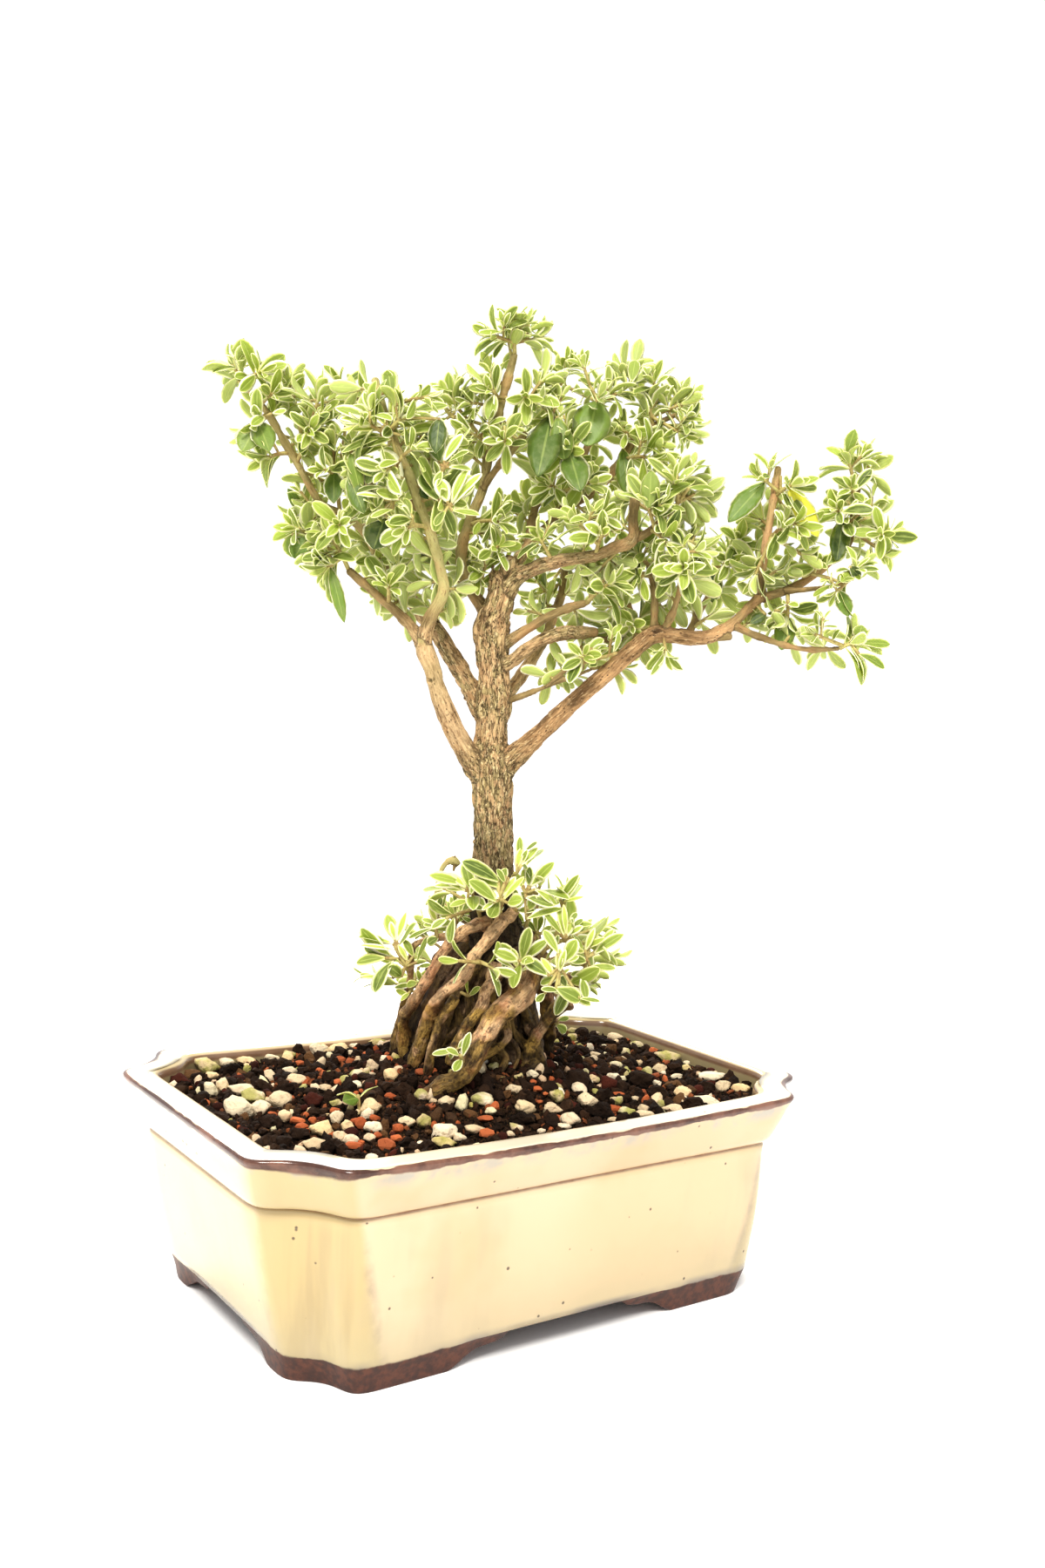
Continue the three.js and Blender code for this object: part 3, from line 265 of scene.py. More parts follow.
def addValues(mesh, name, value):
    # one number or one vector for each point
    if value.ndim == 2:
        mesh.attributes.new(name, "FLOAT_VECTOR", "POINT").data.foreach_set("vector", value.ravel())
    else:
        mesh.attributes.new(name, "FLOAT", "POINT").data.foreach_set("value", value)


def gridFaces(rows, columns):
    # quads between neighbouring rings of points
    i = np.arange(rows - 1)[:, None] * columns
    j = np.arange(columns)[None, :]
    k = (j + 1) % columns
    return np.stack([i + j, i + k, i + columns + k, i + columns + j], -1).reshape(-1, 4)


def fanFaces(ring, centre, first=True):
    # triangles from a closed ring of points to one point before its first row or after its last
    following = np.roll(ring, -1)
    around = (following, ring) if first else (ring, following)
    return np.stack([np.full(len(ring), centre), *around], -1)


def closedFaces(rows, columns):
    # rings of points with a fan over each end, to the two points that come after the rings
    last = rows * columns
    return [gridFaces(rows, columns), fanFaces(np.arange(columns), last),
            fanFaces(np.arange(last - columns, last), last + 1, False)]


def repeated(faces, copies, size):
    # the faces of one shape for every copy of its points
    return (faces[None] + np.arange(copies)[:, None, None] * size).reshape(-1, faces.shape[1])


def chance(seed):
    # a repeatable draw from 0 to 1 for each seed
    wave = np.sin(np.asarray(seed, float) * 12.9898 + 4.1414) * 43758.5453
    return wave - np.floor(wave)


def between(low, high, seed):
    return low + (high - low) * chance(seed)


def lattice(i, j, k):
    # a repeatable draw for each corner of a cubic lattice
    h = (i * 73856093) ^ (j * 19349663) ^ (k * 83492791)
    h = (h ^ (h >> 13)) * 1274126177
    return ((h ^ (h >> 16)) & 0xFFFF) / 65535.0


def wander(p):
    # smooth noise from 0 to 1: the eight corner draws of each point's cell, blended
    p = np.asarray(p, float)
    cell = np.floor(p).astype(np.int64)
    f = p - cell
    f = f * f * (3 - 2 * f)
    total = 0.0
    for corner in np.ndindex(2, 2, 2):
        weight = np.prod(np.where(np.array(corner), f, 1 - f), axis=-1)
        total = total + weight * lattice(*(cell[..., a] + corner[a] for a in range(3)))
    return total


def rough(p, octaves):
    # noise of several sizes, each half as strong and twice as fine as the last
    shares = [0.5 ** n for n in range(octaves)]
    return sum(s * wander(np.asarray(p) * 2 ** n + 17 * n) for n, s in enumerate(shares)) / sum(shares)


def travelled(points):
    return np.concatenate([[0], np.cumsum(np.linalg.norm(np.diff(points[:, :3], axis=0), axis=1))])


def smoothPath(points, step):
    # a Hermite curve through rows of x, y, z, radius, sampled about every step
    p = np.asarray(points, float)
    t = travelled(p)
    slope = np.gradient(p, t, axis=0)
    s = np.linspace(0, t[-1], max(3, int(t[-1] / step)) + 1)
    k = np.clip(np.searchsorted(t, s, side="right") - 1, 0, len(t) - 2)
    h = (t[k + 1] - t[k])[:, None]
    q = (s - t[k])[:, None] / h
    return ((2 * q**3 - 3 * q**2 + 1) * p[k] + (q**3 - 2 * q**2 + q) * h * slope[k]
            + (3 * q**2 - 2 * q**3) * p[k + 1] + (q**3 - q**2) * h * slope[k + 1])


def carryFrames(centres, turn=0.0):
    # directions along a path and two across it, carried from point to point without twisting
    along = unit(np.gradient(centres, axis=0))
    first = np.array([0, 0, 1.0]) if abs(along[0, 2]) < 0.9 else np.array([1.0, 0, 0])
    side = turnAbout(unit(np.cross(first, along[0])), along[0], turn)
    across = []
    for direction in along:
        side = unit(side - direction * np.dot(side, direction))
        across.append(side)
    across = np.array(across)
    return along, across, np.cross(along, across)


tube = {"lumpsPerMm": 0.35, "startCap": 0.3, "endCap": 0.4}


def tubeSkin(path, sides, lumps=0.0, seed=0):
    # rings about the path, closed by a point at each end; lumps swell and pinch the radius
    centres, radius = path[:, :3], path[:, 3]
    along, across, other = carryFrames(centres)
    angle = np.arange(sides) * 2 * math.pi / sides
    ring = across[:, None] * np.cos(angle)[None, :, None] + other[:, None] * np.sin(angle)[None, :, None]
    far = np.repeat(radius[:, None], sides, 1)
    if lumps:
        cloud = rough((centres[:, None] + ring * far[..., None]) * tube["lumpsPerMm"] + seed, 2)
        far = far * (1 + lumps * (cloud - 0.5) * 2)
    points = (centres[:, None] + ring * far[..., None]).reshape(-1, 3)
    ends = np.array([centres[0] - along[0] * radius[0] * tube["startCap"],
                     centres[-1] + along[-1] * radius[-1] * tube["endCap"]])
    return np.concatenate([points, ends]), closedFaces(len(path), sides)


def together(skins):
    # several skins as one: points stacked and face numbers moved on
    points, faces, start = [], [], 0
    for skinPoints, skinFaces in skins:
        points.append(skinPoints)
        faces.extend(block + start for block in skinFaces)
        start += len(skinPoints)
    return np.concatenate(points), faces


# the glazed pot

pot = {"halfLength": 102.5, "halfWidth": 69.0, "height": 67.3, "sag": 1.4, "lip": 9.9, "lipDepth": 4,
       "band": 16.4, "groove": 5.3, "glazeLine": 8.5, "footHalfLength": 84.8, "footHalfWidth": 58.4,
       "footFlare": 2.2, "underside": 9.0, "floorTop": 16.0, "footThickness": 9.0, "holeRadius": 7.0,
       "holeAt": 42.0, "cavityHalfLength": 83.0, "cavityHalfWidth": 54.5, "rimCorner": (22.5, 22.4),
       "bodyCorner": (23.2, 25.0), "footCorner": (14.6, 19.4), "cavityCorner": (20.0, 17.5),
       "longGap": 20.0, "shortGap": 9.0, "cornerSteps": 30, "longSteps": 60, "shortSteps": 34,
       "waveDepth": 0.6, "wavesPerMm": 0.035}
# the rim's profile: how far in from the outer wall and how far below the top; then the groove's: how far in
# and how far above its middle
lipProfile = [(0.55, 0.12), (0.2, 0.4), (0.03, 0.8), (0.0, 1.3), (0.25, 1.9), (0.55, 2.6), (0.6, 3.4)]
grooveProfile = [(0.0, 0.9), (0.55, 0.35), (1.1, 0.0), (0.75, -0.4), (0.4, -0.9)]
# where the inner wall curls over into the lip: how far below the top, and how far out
curlProfile = [(2.2, 0.1), (1.0, 0.35), (0.35, 0.9), (0.05, 1.7)]
# a cut corner's outline: share of the way along the cut, and how far it stands out
scallop = np.array([(0, 0), (0.12, 0.9), (0.3, -1.3), (0.5, -2.1), (0.7, -1.3), (0.88, 0.9), (1, 0)])
scallopLength = 20


def softened(plan, spread):
    # a closed outline averaged along its length by a bell curve, which rounds its corners
    closed = np.vstack([plan, plan[:1]])
    travel = np.concatenate([[0], np.cumsum(np.linalg.norm(np.diff(closed, axis=0), axis=1))])
    count = 2048
    even = np.linspace(0, travel[-1], count, endpoint=False)
    bell = np.exp(-2 * (math.pi * np.fft.fftfreq(count, travel[-1] / count) * spread) ** 2)
    lines = [np.fft.ifft(np.fft.fft(np.interp(even, travel, closed[:, a])) * bell).real for a in (0, 1)]
    return np.column_stack([np.interp(travel[:-1], np.append(even, travel[-1]), np.append(line, line[0]))
                            for line in lines])


def potPlan(halfLength, halfWidth, corner, spread):
    # a rectangle whose cut corners carry the scallop
    cutLength, cutWidth = corner
    share = np.linspace(0, 1, pot["cornerSteps"])
    flat = np.zeros((len(scallop), 2))
    curve = smoothPath(np.column_stack([scallop[:, 0] * scallopLength, scallop[:, 1], flat]), 0.05)
    out = np.interp(share, curve[:, 0] / scallopLength, curve[:, 1])
    lean = math.hypot(cutLength, cutWidth)
    x = halfLength - cutLength * share + out * cutWidth / lean
    y = halfWidth - cutWidth * (1 - share) + out * cutLength / lean
    quarters = [(x, y), (-x[::-1], y[::-1]), (-x, -y), (x[::-1], -y[::-1])]
    plan = []
    for n, (qx, qy) in enumerate(quarters):
        steps = pot["longSteps"] if n % 2 == 0 else pot["shortSteps"]
        nextX, nextY = quarters[(n + 1) % 4]
        side = np.linspace(0, 1, steps + 1)[1:-1]
        plan.append(np.column_stack([qx, qy]))
        plan.append(np.column_stack([qx[-1] + (nextX[0] - qx[-1]) * side,
                                     qy[-1] + (nextY[0] - qy[-1]) * side]))
    return softened(np.concatenate(plan), spread)


def innerWall(z):
    # half the length and half the width of the pot's inside at a height
    share = min(1, (z - pot["floorTop"]) / (pot["height"] - pot["lipDepth"] - pot["floorTop"]))
    return [pot[low] + (pot[high] - pot["lip"] - pot[low]) * share
            for low, high in (("cavityHalfLength", "halfLength"), ("cavityHalfWidth", "halfWidth"))]


def footGap(across, half):
    # height of the cut between two feet: the gap, a step, a shelf, then the foot's slope
    return np.interp(np.abs(across), [half - 0.6, half + 0.8, half + 4, half + 14, half + 22],
                     [pot["underside"], 8.2, 5.4, 4.6, 0])


def potRows():
    # the profile from the inner floor over the lip and down to the underside; each row is an outline, its
    # height, its distance along the profile from the rim's outer edge, how far it sags, and 1 or 2 for the
    # outside or inside of the foot
    p = pot
    rimX, rimY, top = p["halfLength"], p["halfWidth"], p["height"]
    grooveZ = top - p["band"]
    lipBottom, grooveBottom = lipProfile[-1][1], grooveProfile[-1][1]
    rows = []

    def row(halfLength, halfWidth, corner, z, travel, sag=0.0, foot=0.0, spread=2.2):
        rows.append((potPlan(halfLength, halfWidth, corner, spread), z, travel, sag, foot))

    for share in (0.35, 0.8):
        row(p["cavityHalfLength"] * share, p["cavityHalfWidth"] * share,
            tuple(c * share for c in p["cavityCorner"]), p["floorTop"], -80)
    inner = [(z, 0.0) for z in np.linspace(p["floorTop"], top - p["lipDepth"], 9)]
    for z, more in inner + [(top - below, more) for below, more in curlProfile]:
        length, width = innerWall(z)
        row(length + more, width + more, p["cavityCorner"], z, -p["lip"] - (top - z),
            np.clip((z - 55) / 10, 0, 1), 0, 3.4)
    for inset in (6.5, 4.5, 2.6, 1.3):
        row(rimX - inset, rimY - inset, p["rimCorner"], top, -inset, 1, 0, 2.2 + inset * 0.15)
    for inset, drop in lipProfile:
        row(rimX - inset, rimY - inset, p["rimCorner"], top - drop, drop, 1)
    for share in np.linspace(0.12, 1, 9):   # the band leans in toward the groove
        z = top - lipBottom + (grooveZ + 1.6 - top + lipBottom) * share
        inset = 0.8 + (p["groove"] - 0.6 - 0.8) * share**1.15
        row(rimX - inset, rimY - inset, p["rimCorner"], z, top - z, 1 - share, 0, 2.4)
    for inset, above in grooveProfile:
        corner = p["rimCorner"] if above > 0 else p["bodyCorner"]
        row(rimX - p["groove"] - inset, rimY - p["groove"] - inset, corner, grooveZ + above,
            top - grooveZ - above, 0, 0, 2.8)
    low = (p["footHalfLength"] + p["footFlare"], p["footHalfWidth"] + p["footFlare"])
    high = (rimX - p["groove"] - 0.4, rimY - p["groove"] - 0.4)
    for share in np.linspace(0.05, 1, 18):   # the body, a little fuller halfway down
        full = 0.7 * math.sin(math.pi * share)
        z = grooveZ + grooveBottom + (p["glazeLine"] - grooveZ - grooveBottom) * share
        corner = tuple(a + (b - a) * share for a, b in zip(p["bodyCorner"], p["footCorner"]))
        row(high[0] + (low[0] - high[0]) * share + full, high[1] + (low[1] - high[1]) * share + full,
            corner, z, top - z, 0, 0, 3.4)
    for share in (0.12, 0.35, 0.6, 0.85, 0.96, 1.0):   # the bare foot, down to its cut edge
        grow = p["footFlare"] * (1 - share) - 0.15
        z = p["glazeLine"] * (1 - share)
        row(p["footHalfLength"] + grow, p["footHalfWidth"] + grow, p["footCorner"], z, top - z, 0, 1, 3.0)
    inside = (p["footHalfLength"] - p["footThickness"], p["footHalfWidth"] - p["footThickness"])
    for grow, share in ((0.6, 0.0), (0.0, 0.06), (0.0, 1.0)):
        row(inside[0] + grow, inside[1] + grow, (8.0, 11.0), p["underside"] * share, top + 12, 0, 2)
    row(inside[0] * 0.6, inside[1] * 0.6, (5.0, 7.0), p["underside"], top + 40)
    return rows


def makePot():
    p = pot
    rows = potRows()
    plans = np.array([r[0] for r in rows])
    z, travel, sag, foot = (np.array([r[n] for r in rows])[:, None] for n in (1, 2, 3, 4))
    x, y = plans[..., 0], plans[..., 1]
    z = z - p["sag"] * sag * np.maximum(0, 1 - (x / (p["halfLength"] - 20)) ** 2)
    # the lower edge of the feet follows the cuts, whose place is read on the outer wall
    outerX, outerY = plans[-8, :, 0], plans[-8, :, 1]
    gap = np.where(np.abs(outerY) > p["footHalfWidth"] - 0.6, footGap(outerX, p["longGap"]), 0)
    gap = np.where(np.abs(outerX) > p["footHalfLength"] - 0.6, footGap(outerY, p["shortGap"]), gap)
    edge = np.minimum(gap, p["underside"] - 0.25)[None, :]
    lift = p["glazeLine"] + 0.6
    z = np.where(foot == 1, np.maximum(z, edge + (lift - edge) * (z / lift)), z)
    z = np.where(foot == 2, np.maximum(z, edge), z)
    points = np.stack([x, y, z], -1)
    # the hand of the maker: the walls wave inward a little
    walls = (travel > 3) & (travel < p["height"] - 3)
    wave = -p["waveDepth"] * rough(points * p["wavesPerMm"], 2) * walls
    points = points + wave[..., None] * np.stack([x / p["halfLength"], y / p["halfWidth"], 0 * x], -1)
    centres = np.array([[0, 0, p["floorTop"]], [0, 0, p["underside"]]])
    flat = np.concatenate([points.reshape(-1, 3), centres])
    along = np.concatenate([np.broadcast_to(travel, x.shape).ravel(), [-90, 120]])
    # 1 on the cut corners, with a finer mark for the hollow in the middle of each cut
    fromEnd = (np.abs(x).max(1, keepdims=True) - np.abs(x)) / p["rimCorner"][0]
    fromSide = (np.abs(y).max(1, keepdims=True) - np.abs(y)) / p["rimCorner"][1]
    off = np.abs(fromEnd - fromSide)
    corner = np.clip((1.12 - off) / 0.25, 0, 1) * (0.6 + 0.4 * np.exp(-off**2 / 0.15))
    values = {"travel": along, "corner": np.concatenate([corner.ravel(), [0, 0]])}
    return addPiece("glazedPot", flat, closedFaces(*x.shape), glazePaint(), values=values)


def glazePaint():
    paint = Paint("creamGlaze")
    travel, corner = paint.attribute("travel"), paint.attribute("corner")
    place = paint.place()
    coarse, fine, drift = paint.noise(28, 3), paint.noise(160, 4), paint.noise(9, 2)
    # the short sides are paler: painted light, chosen by which way the surface faces
    outward = paint.parts(paint.node("ShaderNodeNewGeometry", out="Normal"))
    cutCorner = corner.step(0.2, 0.7)
    edges = corner.near(0.35, 0.3) * travel.step(16.0, 30.0) * (coarse * 0.7 + fine * 0.5).step(0.45, 0.75)
    underRim = travel.near(3.6, 4.6) * (fine * 0.6 + coarse * 0.5).step(0.5, 0.7)
    nearFoot = (travel + coarse * 16 + fine * 8).step(46, 72)
    footLine = travel.near(59.2, 3.2) * coarse.step(0.4, 0.6)
    lip = travel.near(-4.6, 6.2).step(0.0, 0.35)
    inside = 1 - travel.step(-12.6, -10.4)
    # grey streaks that run down the hollow of each cut corner, painted shade in the hollow, and softer ones
    # over the whole wall
    down = paint.noise(1.0, 3, at=paint.stretched(place, (120, 120, 7)))
    streak = down.step(0.44, 0.66) * corner * travel.step(15.0, 24.0)
    soft = paint.noise(1.0, 3, at=paint.stretched(place, (60, 60, 14), (3.0, 5.0, 1.0)))
    # specks and pinholes
    draw = paint.parts(paint.cells(230, "Color"))[0]
    speck = (1 - (paint.cells(230) + (fine - 0.5) * 0.2).step(0.05, 0.14)) * draw.step(0.76, 0.8)
    drops = paint.stretched(place, (75, 75, 48), (2.0, 1.0, 4.0))
    dashDraw = paint.parts(paint.cells(1.0, "Color", drops))[0]
    dash = 1 - (paint.cells(1.0, at=drops) + (fine - 0.5) * 0.12).step(0.05, 0.13)
    dash = dash * dashDraw.step(0.9, 0.93)
    cream = paint.coats((208, 187, 155), [
        (drift.step(0.35, 0.7), (202, 177, 140)),
        (coarse.step(0.52, 0.78) * 0.5, (186, 164, 122)),
        # painted shade: the cut corners, and more so their lower part, are darker to temper the lamps'
        # light on them
        (cutCorner * 0.8, (186, 168, 122)),
        (cutCorner * travel.step(15.0, 19.0) * 0.85, (184, 162, 114)),
        # painted shade: grey down the soft edges beside each cut corner
        (edges * 0.6, (116, 106, 94)),
        # painted light on the short sides
        (outward[0].size().step(0.75, 1.0) * 0.5, (206, 188, 136)),
        # painted shade: bluish grey just under the rim's overhang and greenish grey toward the foot
        (underRim * 0.6, (158, 160, 160)),
        (nearFoot * 0.6, (178, 166, 132)),
        (footLine * 0.8, (112, 108, 108)),
        # painted light: the lip's top is paler, as the lamps light it from above
        (lip * 0.85, (222, 212, 190)),
        # painted shade on the inner wall
        (inside * 0.95, (146, 131, 98)),
        (streak * 0.3, (126, 108, 86)),
        (soft.step(0.48, 0.72) * 0.45 * travel.step(12.0, 30.0), (176, 160, 132)),
        (speck * 0.85, (70, 56, 44)),
        (dash * 0.85, (84, 76, 66))])
    # the rim's edge and the groove, where the glaze breaks to brown
    wide = 1.15 + (fine - 0.5) * 1.6 + (paint.noise(70, 2) - 0.5) * 3.4 + corner * 1.2
    edge = 1 - ((travel - 1.0).size() / wide).step(0.7, 1.15)
    brown = paint.blend((fine * 0.6 + coarse * 0.6).step(0.5, 0.75), (66, 34, 22), (124, 84, 66))
    # a brown line runs round the inside, just under the lip
    innerEdge = (1 - travel.step(-11.0, -10.5)) * (travel + (coarse - 0.5) * 1.6).step(-13.4, -12.5)
    groove = 1 - ((travel - 16.2).size() + fine * 0.5).step(0.35, 1.0)
    # the bare clay of the foot below a ragged glaze line
    foot = (travel + fine * 2.2 + coarse * 1.6).step(60.4, 61.4)
    clay = paint.blend(paint.noise(420, 3).step(0.35, 0.7), (56, 25, 12), (90, 46, 26))
    colour = paint.coats(cream, [(edge, brown),
                                 (innerEdge * 0.85, paint.blend(fine, (84, 52, 38), (134, 100, 78))),
                                 (groove * 0.85, (126, 78, 46)),
                                 (foot, clay)])
    roughness = 0.15 + foot * 0.55 + coarse * 0.08 + inside * 0.15
    bump = fine * 0.3 - edge * 0.3 - speck * 0.8 + foot * paint.noise(900, 2) * 0.7
    return paint.finish({"Base Color": colour, "Roughness": roughness, "Coat Weight": 0.3,
                         "Coat Roughness": 0.06, "Specular IOR Level": 0.5}, bump, 0.0004, 0.35)


def drillHoles(piece):
    # two drain holes through the pot's floor
    for x in (-pot["holeAt"], pot["holeAt"]):
        bpy.ops.mesh.primitive_cylinder_add(vertices=48, radius=pot["holeRadius"] * mm, depth=14 * mm,
                                            location=(potMiddle + (x, 0, 12.5)) * mm)
        drill = bpy.context.object
        cut = piece.modifiers.new("drain", "BOOLEAN")
        cut.operation, cut.solver, cut.object = "DIFFERENCE", "EXACT", drill
        bpy.context.view_layer.objects.active = piece
        bpy.ops.object.modifier_apply(modifier=cut.name)
        bpy.data.objects.remove(drill)


glazedPot = makePot()
drillHoles(glazedPot)
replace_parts(glazedPot, "pot")


def screenPaint():
    paint = Paint("screenPlastic")
    grain = paint.noise(700, 3)
    colour = paint.blend(grain.step(0.4, 0.7), (30, 34, 32), (58, 62, 58))
    return paint.finish({"Base Color": colour, "Roughness": 0.55 + grain * 0.2}, grain, 0.0002, 0.3)


screenFinish = screenPaint()
for name in ("drain_screen_left", "drain_screen_right"):
    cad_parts[name].data.materials.clear()
    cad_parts[name].data.materials.append(screenFinish)
print("pot done")

# soil and stones

soil = {"edge": 62.0, "mound": 9.0, "reach": 42.0, "rings": 26, "cell": 3.8, "crumbCell": 2.0,
        "rimLength": 90.3, "rimWidth": 59.0, "heave": 4.2, "heavesPerMm": 0.4, "bedBelow": 0.9,
        "baseAbove": 1.8}
# stones that stand out in the photograph: picture pixels x, y, width, height
seenStones = {
    "pumice": [(249, 1214, 17, 13), (282, 1217, 20, 12), (298, 1207, 18, 8), (330, 1215, 17, 16),
        (243, 1235, 15, 10), (333, 1229, 18, 9), (339, 1240, 24, 12), (256, 1247, 14, 21),
        (241, 1252, 15, 18), (276, 1251, 26, 12), (275, 1272, 30, 24), (297, 1273, 24, 16),
        (322, 1263, 30, 15), (362, 1249, 12, 9), (374, 1249, 14, 9), (407, 1246, 17, 9),
        (386, 1284, 13, 17), (376, 1281, 7, 5), (369, 1296, 26, 15), (398, 1293, 13, 12),
        (390, 1305, 14, 12), (404, 1308, 16, 10), (360, 1314, 22, 13), (427, 1271, 22, 18),
        (428, 1294, 18, 12), (424, 1306, 12, 9), (467, 1288, 17, 11), (510, 1300, 26, 18),
        (427, 1224, 15, 16), (403, 1209, 12, 8), (411, 1217, 8, 8), (450, 1234, 18, 14), (505, 1218, 10, 8),
        (497, 1264, 8, 6), (512, 1264, 18, 10), (380, 1200, 28, 11), (395, 1197, 14, 7),
        (334, 1192, 20, 16), (350, 1196, 18, 12), (530, 1268, 16, 18), (589, 1250, 16, 10),
        (603, 1271, 22, 13), (634, 1273, 20, 12), (656, 1285, 22, 17), (646, 1293, 16, 7),
        (564, 1276, 12, 8), (543, 1296, 20, 10), (527, 1306, 14, 10), (586, 1302, 9, 6),
        (612, 1234, 13, 10), (675, 1264, 20, 17), (683, 1213, 22, 12), (653, 1203, 12, 8),
        (685, 1184, 10, 5), (706, 1191, 22, 12), (715, 1217, 12, 8), (703, 1237, 14, 11),
        (777, 1236, 16, 7), (815, 1236, 34, 12), (829, 1248, 18, 16), (850, 1250, 20, 13),
        (813, 1264, 28, 11), (784, 1254, 20, 15), (775, 1273, 22, 9), (755, 1244, 10, 9),
        (739, 1272, 14, 8), (740, 1279, 24, 7), (729, 1261, 8, 6), (798, 1219, 9, 5), (326, 1282, 14, 13),
        (551, 1229, 10, 12), (757, 1227, 18, 13), (703, 1285, 12, 5), (313, 1296, 6, 12)],
    "mossy": [(228, 1222, 28, 20), (290, 1259, 34, 15), (510, 1311, 28, 10), (404, 1187, 22, 13),
        (316, 1204, 16, 11), (385, 1267, 13, 9), (487, 1287, 14, 16), (553, 1262, 26, 13),
        (640, 1258, 16, 14), (685, 1254, 10, 9), (680, 1239, 16, 9), (672, 1231, 9, 8), (665, 1217, 18, 11),
        (666, 1202, 14, 9), (658, 1190, 16, 9), (645, 1171, 16, 9), (735, 1199, 20, 9), (719, 1208, 12, 12),
        (731, 1233, 10, 8), (743, 1230, 14, 13), (762, 1213, 10, 8), (786, 1210, 34, 15),
        (719, 1276, 20, 9), (709, 1264, 14, 12), (788, 1226, 14, 8), (629, 1195, 14, 12), (581, 1217, 6, 6),
        (567, 1224, 11, 9)],
    "pellet": [(450, 1185, 15, 13), (476, 1180, 13, 13), (556, 1218, 13, 12), (585, 1222, 8, 7)],
    "clay": [(341, 1211, 11, 8), (344, 1221, 10, 8), (366, 1229, 8, 6), (388, 1243, 9, 9),
        (390, 1217, 13, 9), (401, 1219, 9, 10), (424, 1211, 16, 9), (446, 1217, 10, 9), (432, 1205, 8, 9),
        (407, 1204, 6, 5), (483, 1230, 14, 8), (496, 1229, 12, 6), (490, 1242, 5, 5), (448, 1259, 17, 8),
        (313, 1280, 10, 9), (341, 1286, 17, 8), (351, 1280, 7, 6), (346, 1293, 14, 7), (353, 1298, 8, 6),
        (384, 1275, 12, 6), (408, 1287, 10, 8), (415, 1290, 12, 14), (430, 1284, 12, 9), (405, 1315, 18, 7),
        (433, 1303, 10, 7), (444, 1314, 20, 14), (456, 1307, 14, 7), (457, 1296, 12, 11), (415, 1312, 7, 6),
        (382, 1304, 9, 7), (568, 1270, 11, 11), (557, 1284, 15, 7), (558, 1300, 16, 10), (612, 1243, 8, 7),
        (617, 1250, 10, 7), (603, 1253, 10, 7), (633, 1240, 7, 9), (626, 1256, 6, 5), (706, 1273, 16, 9),
        (711, 1256, 14, 5), (753, 1206, 14, 8), (736, 1193, 9, 8), (664, 1172, 10, 6), (724, 1189, 8, 6),
        (620, 1265, 6, 5)],
    "lava": [(204, 1240, 24, 15), (228, 1244, 9, 7), (360, 1263, 18, 18), (350, 1272, 10, 9),
        (369, 1286, 10, 8), (699, 1244, 22, 20)],
    "bark": [(310, 1192, 13, 20), (425, 1183, 18, 7), (473, 1243, 13, 14), (665, 1241, 30, 24),
        (735, 1241, 34, 21), (690, 1275, 24, 17), (812, 1248, 20, 13), (757, 1256, 22, 16),
        (860, 1244, 12, 10), (300, 1247, 18, 13), (330, 1250, 16, 14), (310, 1290, 22, 20),
        (345, 1303, 20, 14), (265, 1228, 22, 16), (420, 1237, 22, 10), (690, 1196, 30, 14),
        (760, 1190, 12, 8), (640, 1218, 14, 12), (600, 1285, 22, 14), (560, 1245, 16, 14)],
}


def soilHeight(x, y):
    return soil["edge"] + soil["mound"] * np.exp(-(x * x + y * y) / soil["reach"] ** 2)


def soilHeave(place):
    # how far the loose soil rises and falls about that height
    return (rough(place * soil["heavesPerMm"], 3) - 0.45) * soil["heave"]


def makeSoilBed():
    # rings of the pot's inner outline shrinking to the middle, heaved by noise, over a flat base
    def outline(z, inset):
        length, width = innerWall(z)
        return potPlan(length - inset, width - inset, pot["cavityCorner"], 3.4)

    edge, base = outline(soil["edge"], 0.35), outline(pot["floorTop"] + 0.35, 0.5)
    count = len(edge)
    low = np.column_stack([base, np.full(count, pot["floorTop"] + soil["baseAbove"])])
    share = np.linspace(1, 0.02, soil["rings"])[:, None]
    x, y = edge[:, 0] * share, edge[:, 1] * share
    heave = soilHeave(np.stack([x, y, 0 * x], -1)) * np.clip((1 - share) * 14, 0, 1)
    top = np.stack([x, y, soilHeight(x, y) - soil["bedBelow"] + heave], -1).reshape(-1, 3)
    middle = [[0, 0, pot["floorTop"] + soil["baseAbove"]], [0, 0, soilHeight(0, 0) - soil["bedBelow"]]]
    faces = closedFaces(soil["rings"] + 1, count)
    bed = addPiece("soilBed", np.concatenate([low, top, middle]), faces, earthPaint())
    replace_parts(bed, "soil")


def earthPaint():
    paint = Paint("darkEarth")
    grain, lump, fibre = paint.noise(1500, 4), paint.noise(260, 3), paint.noise(600, 2)
    colour = paint.coats((11, 6, 4), [(lump.step(0.4, 0.7), (34, 22, 13)),
                                      (grain.step(0.6, 0.7) * 0.5, (78, 52, 30)),
                                      (fibre.near(0.5, 0.03) * 0.5, (110, 82, 50))])
    return paint.finish({"Base Color": colour, "Roughness": 0.95, "Specular IOR Level": 0.08},
                        grain + lump, 0.0009, 1.0)


def roundTemplate(level):
    # a unit ball of triangles: an icosahedron, split again at each level
    work = bmesh.new()
    bmesh.ops.create_icosphere(work, subdivisions=level, radius=1.0)
    points = np.array([v.co[:] for v in work.verts])
    faces = np.array([[v.index for v in f.verts] for f in work.faces])
    work.free()
    return points, faces


# how each kind of stone is pressed from a ball: the ball's level, its flat sides, how sharp they are and
# how lumpy it is
stoneKinds = {"pumice": (3, 9, 16, 0.24), "mossy": (3, 10, 12, 0.28), "pellet": (3, 16, 4, 0.05),
              "clay": (2, 8, 24, 0.06), "lava": (3, 12, 10, 0.35), "bark": (3, 8, 12, 0.42)}
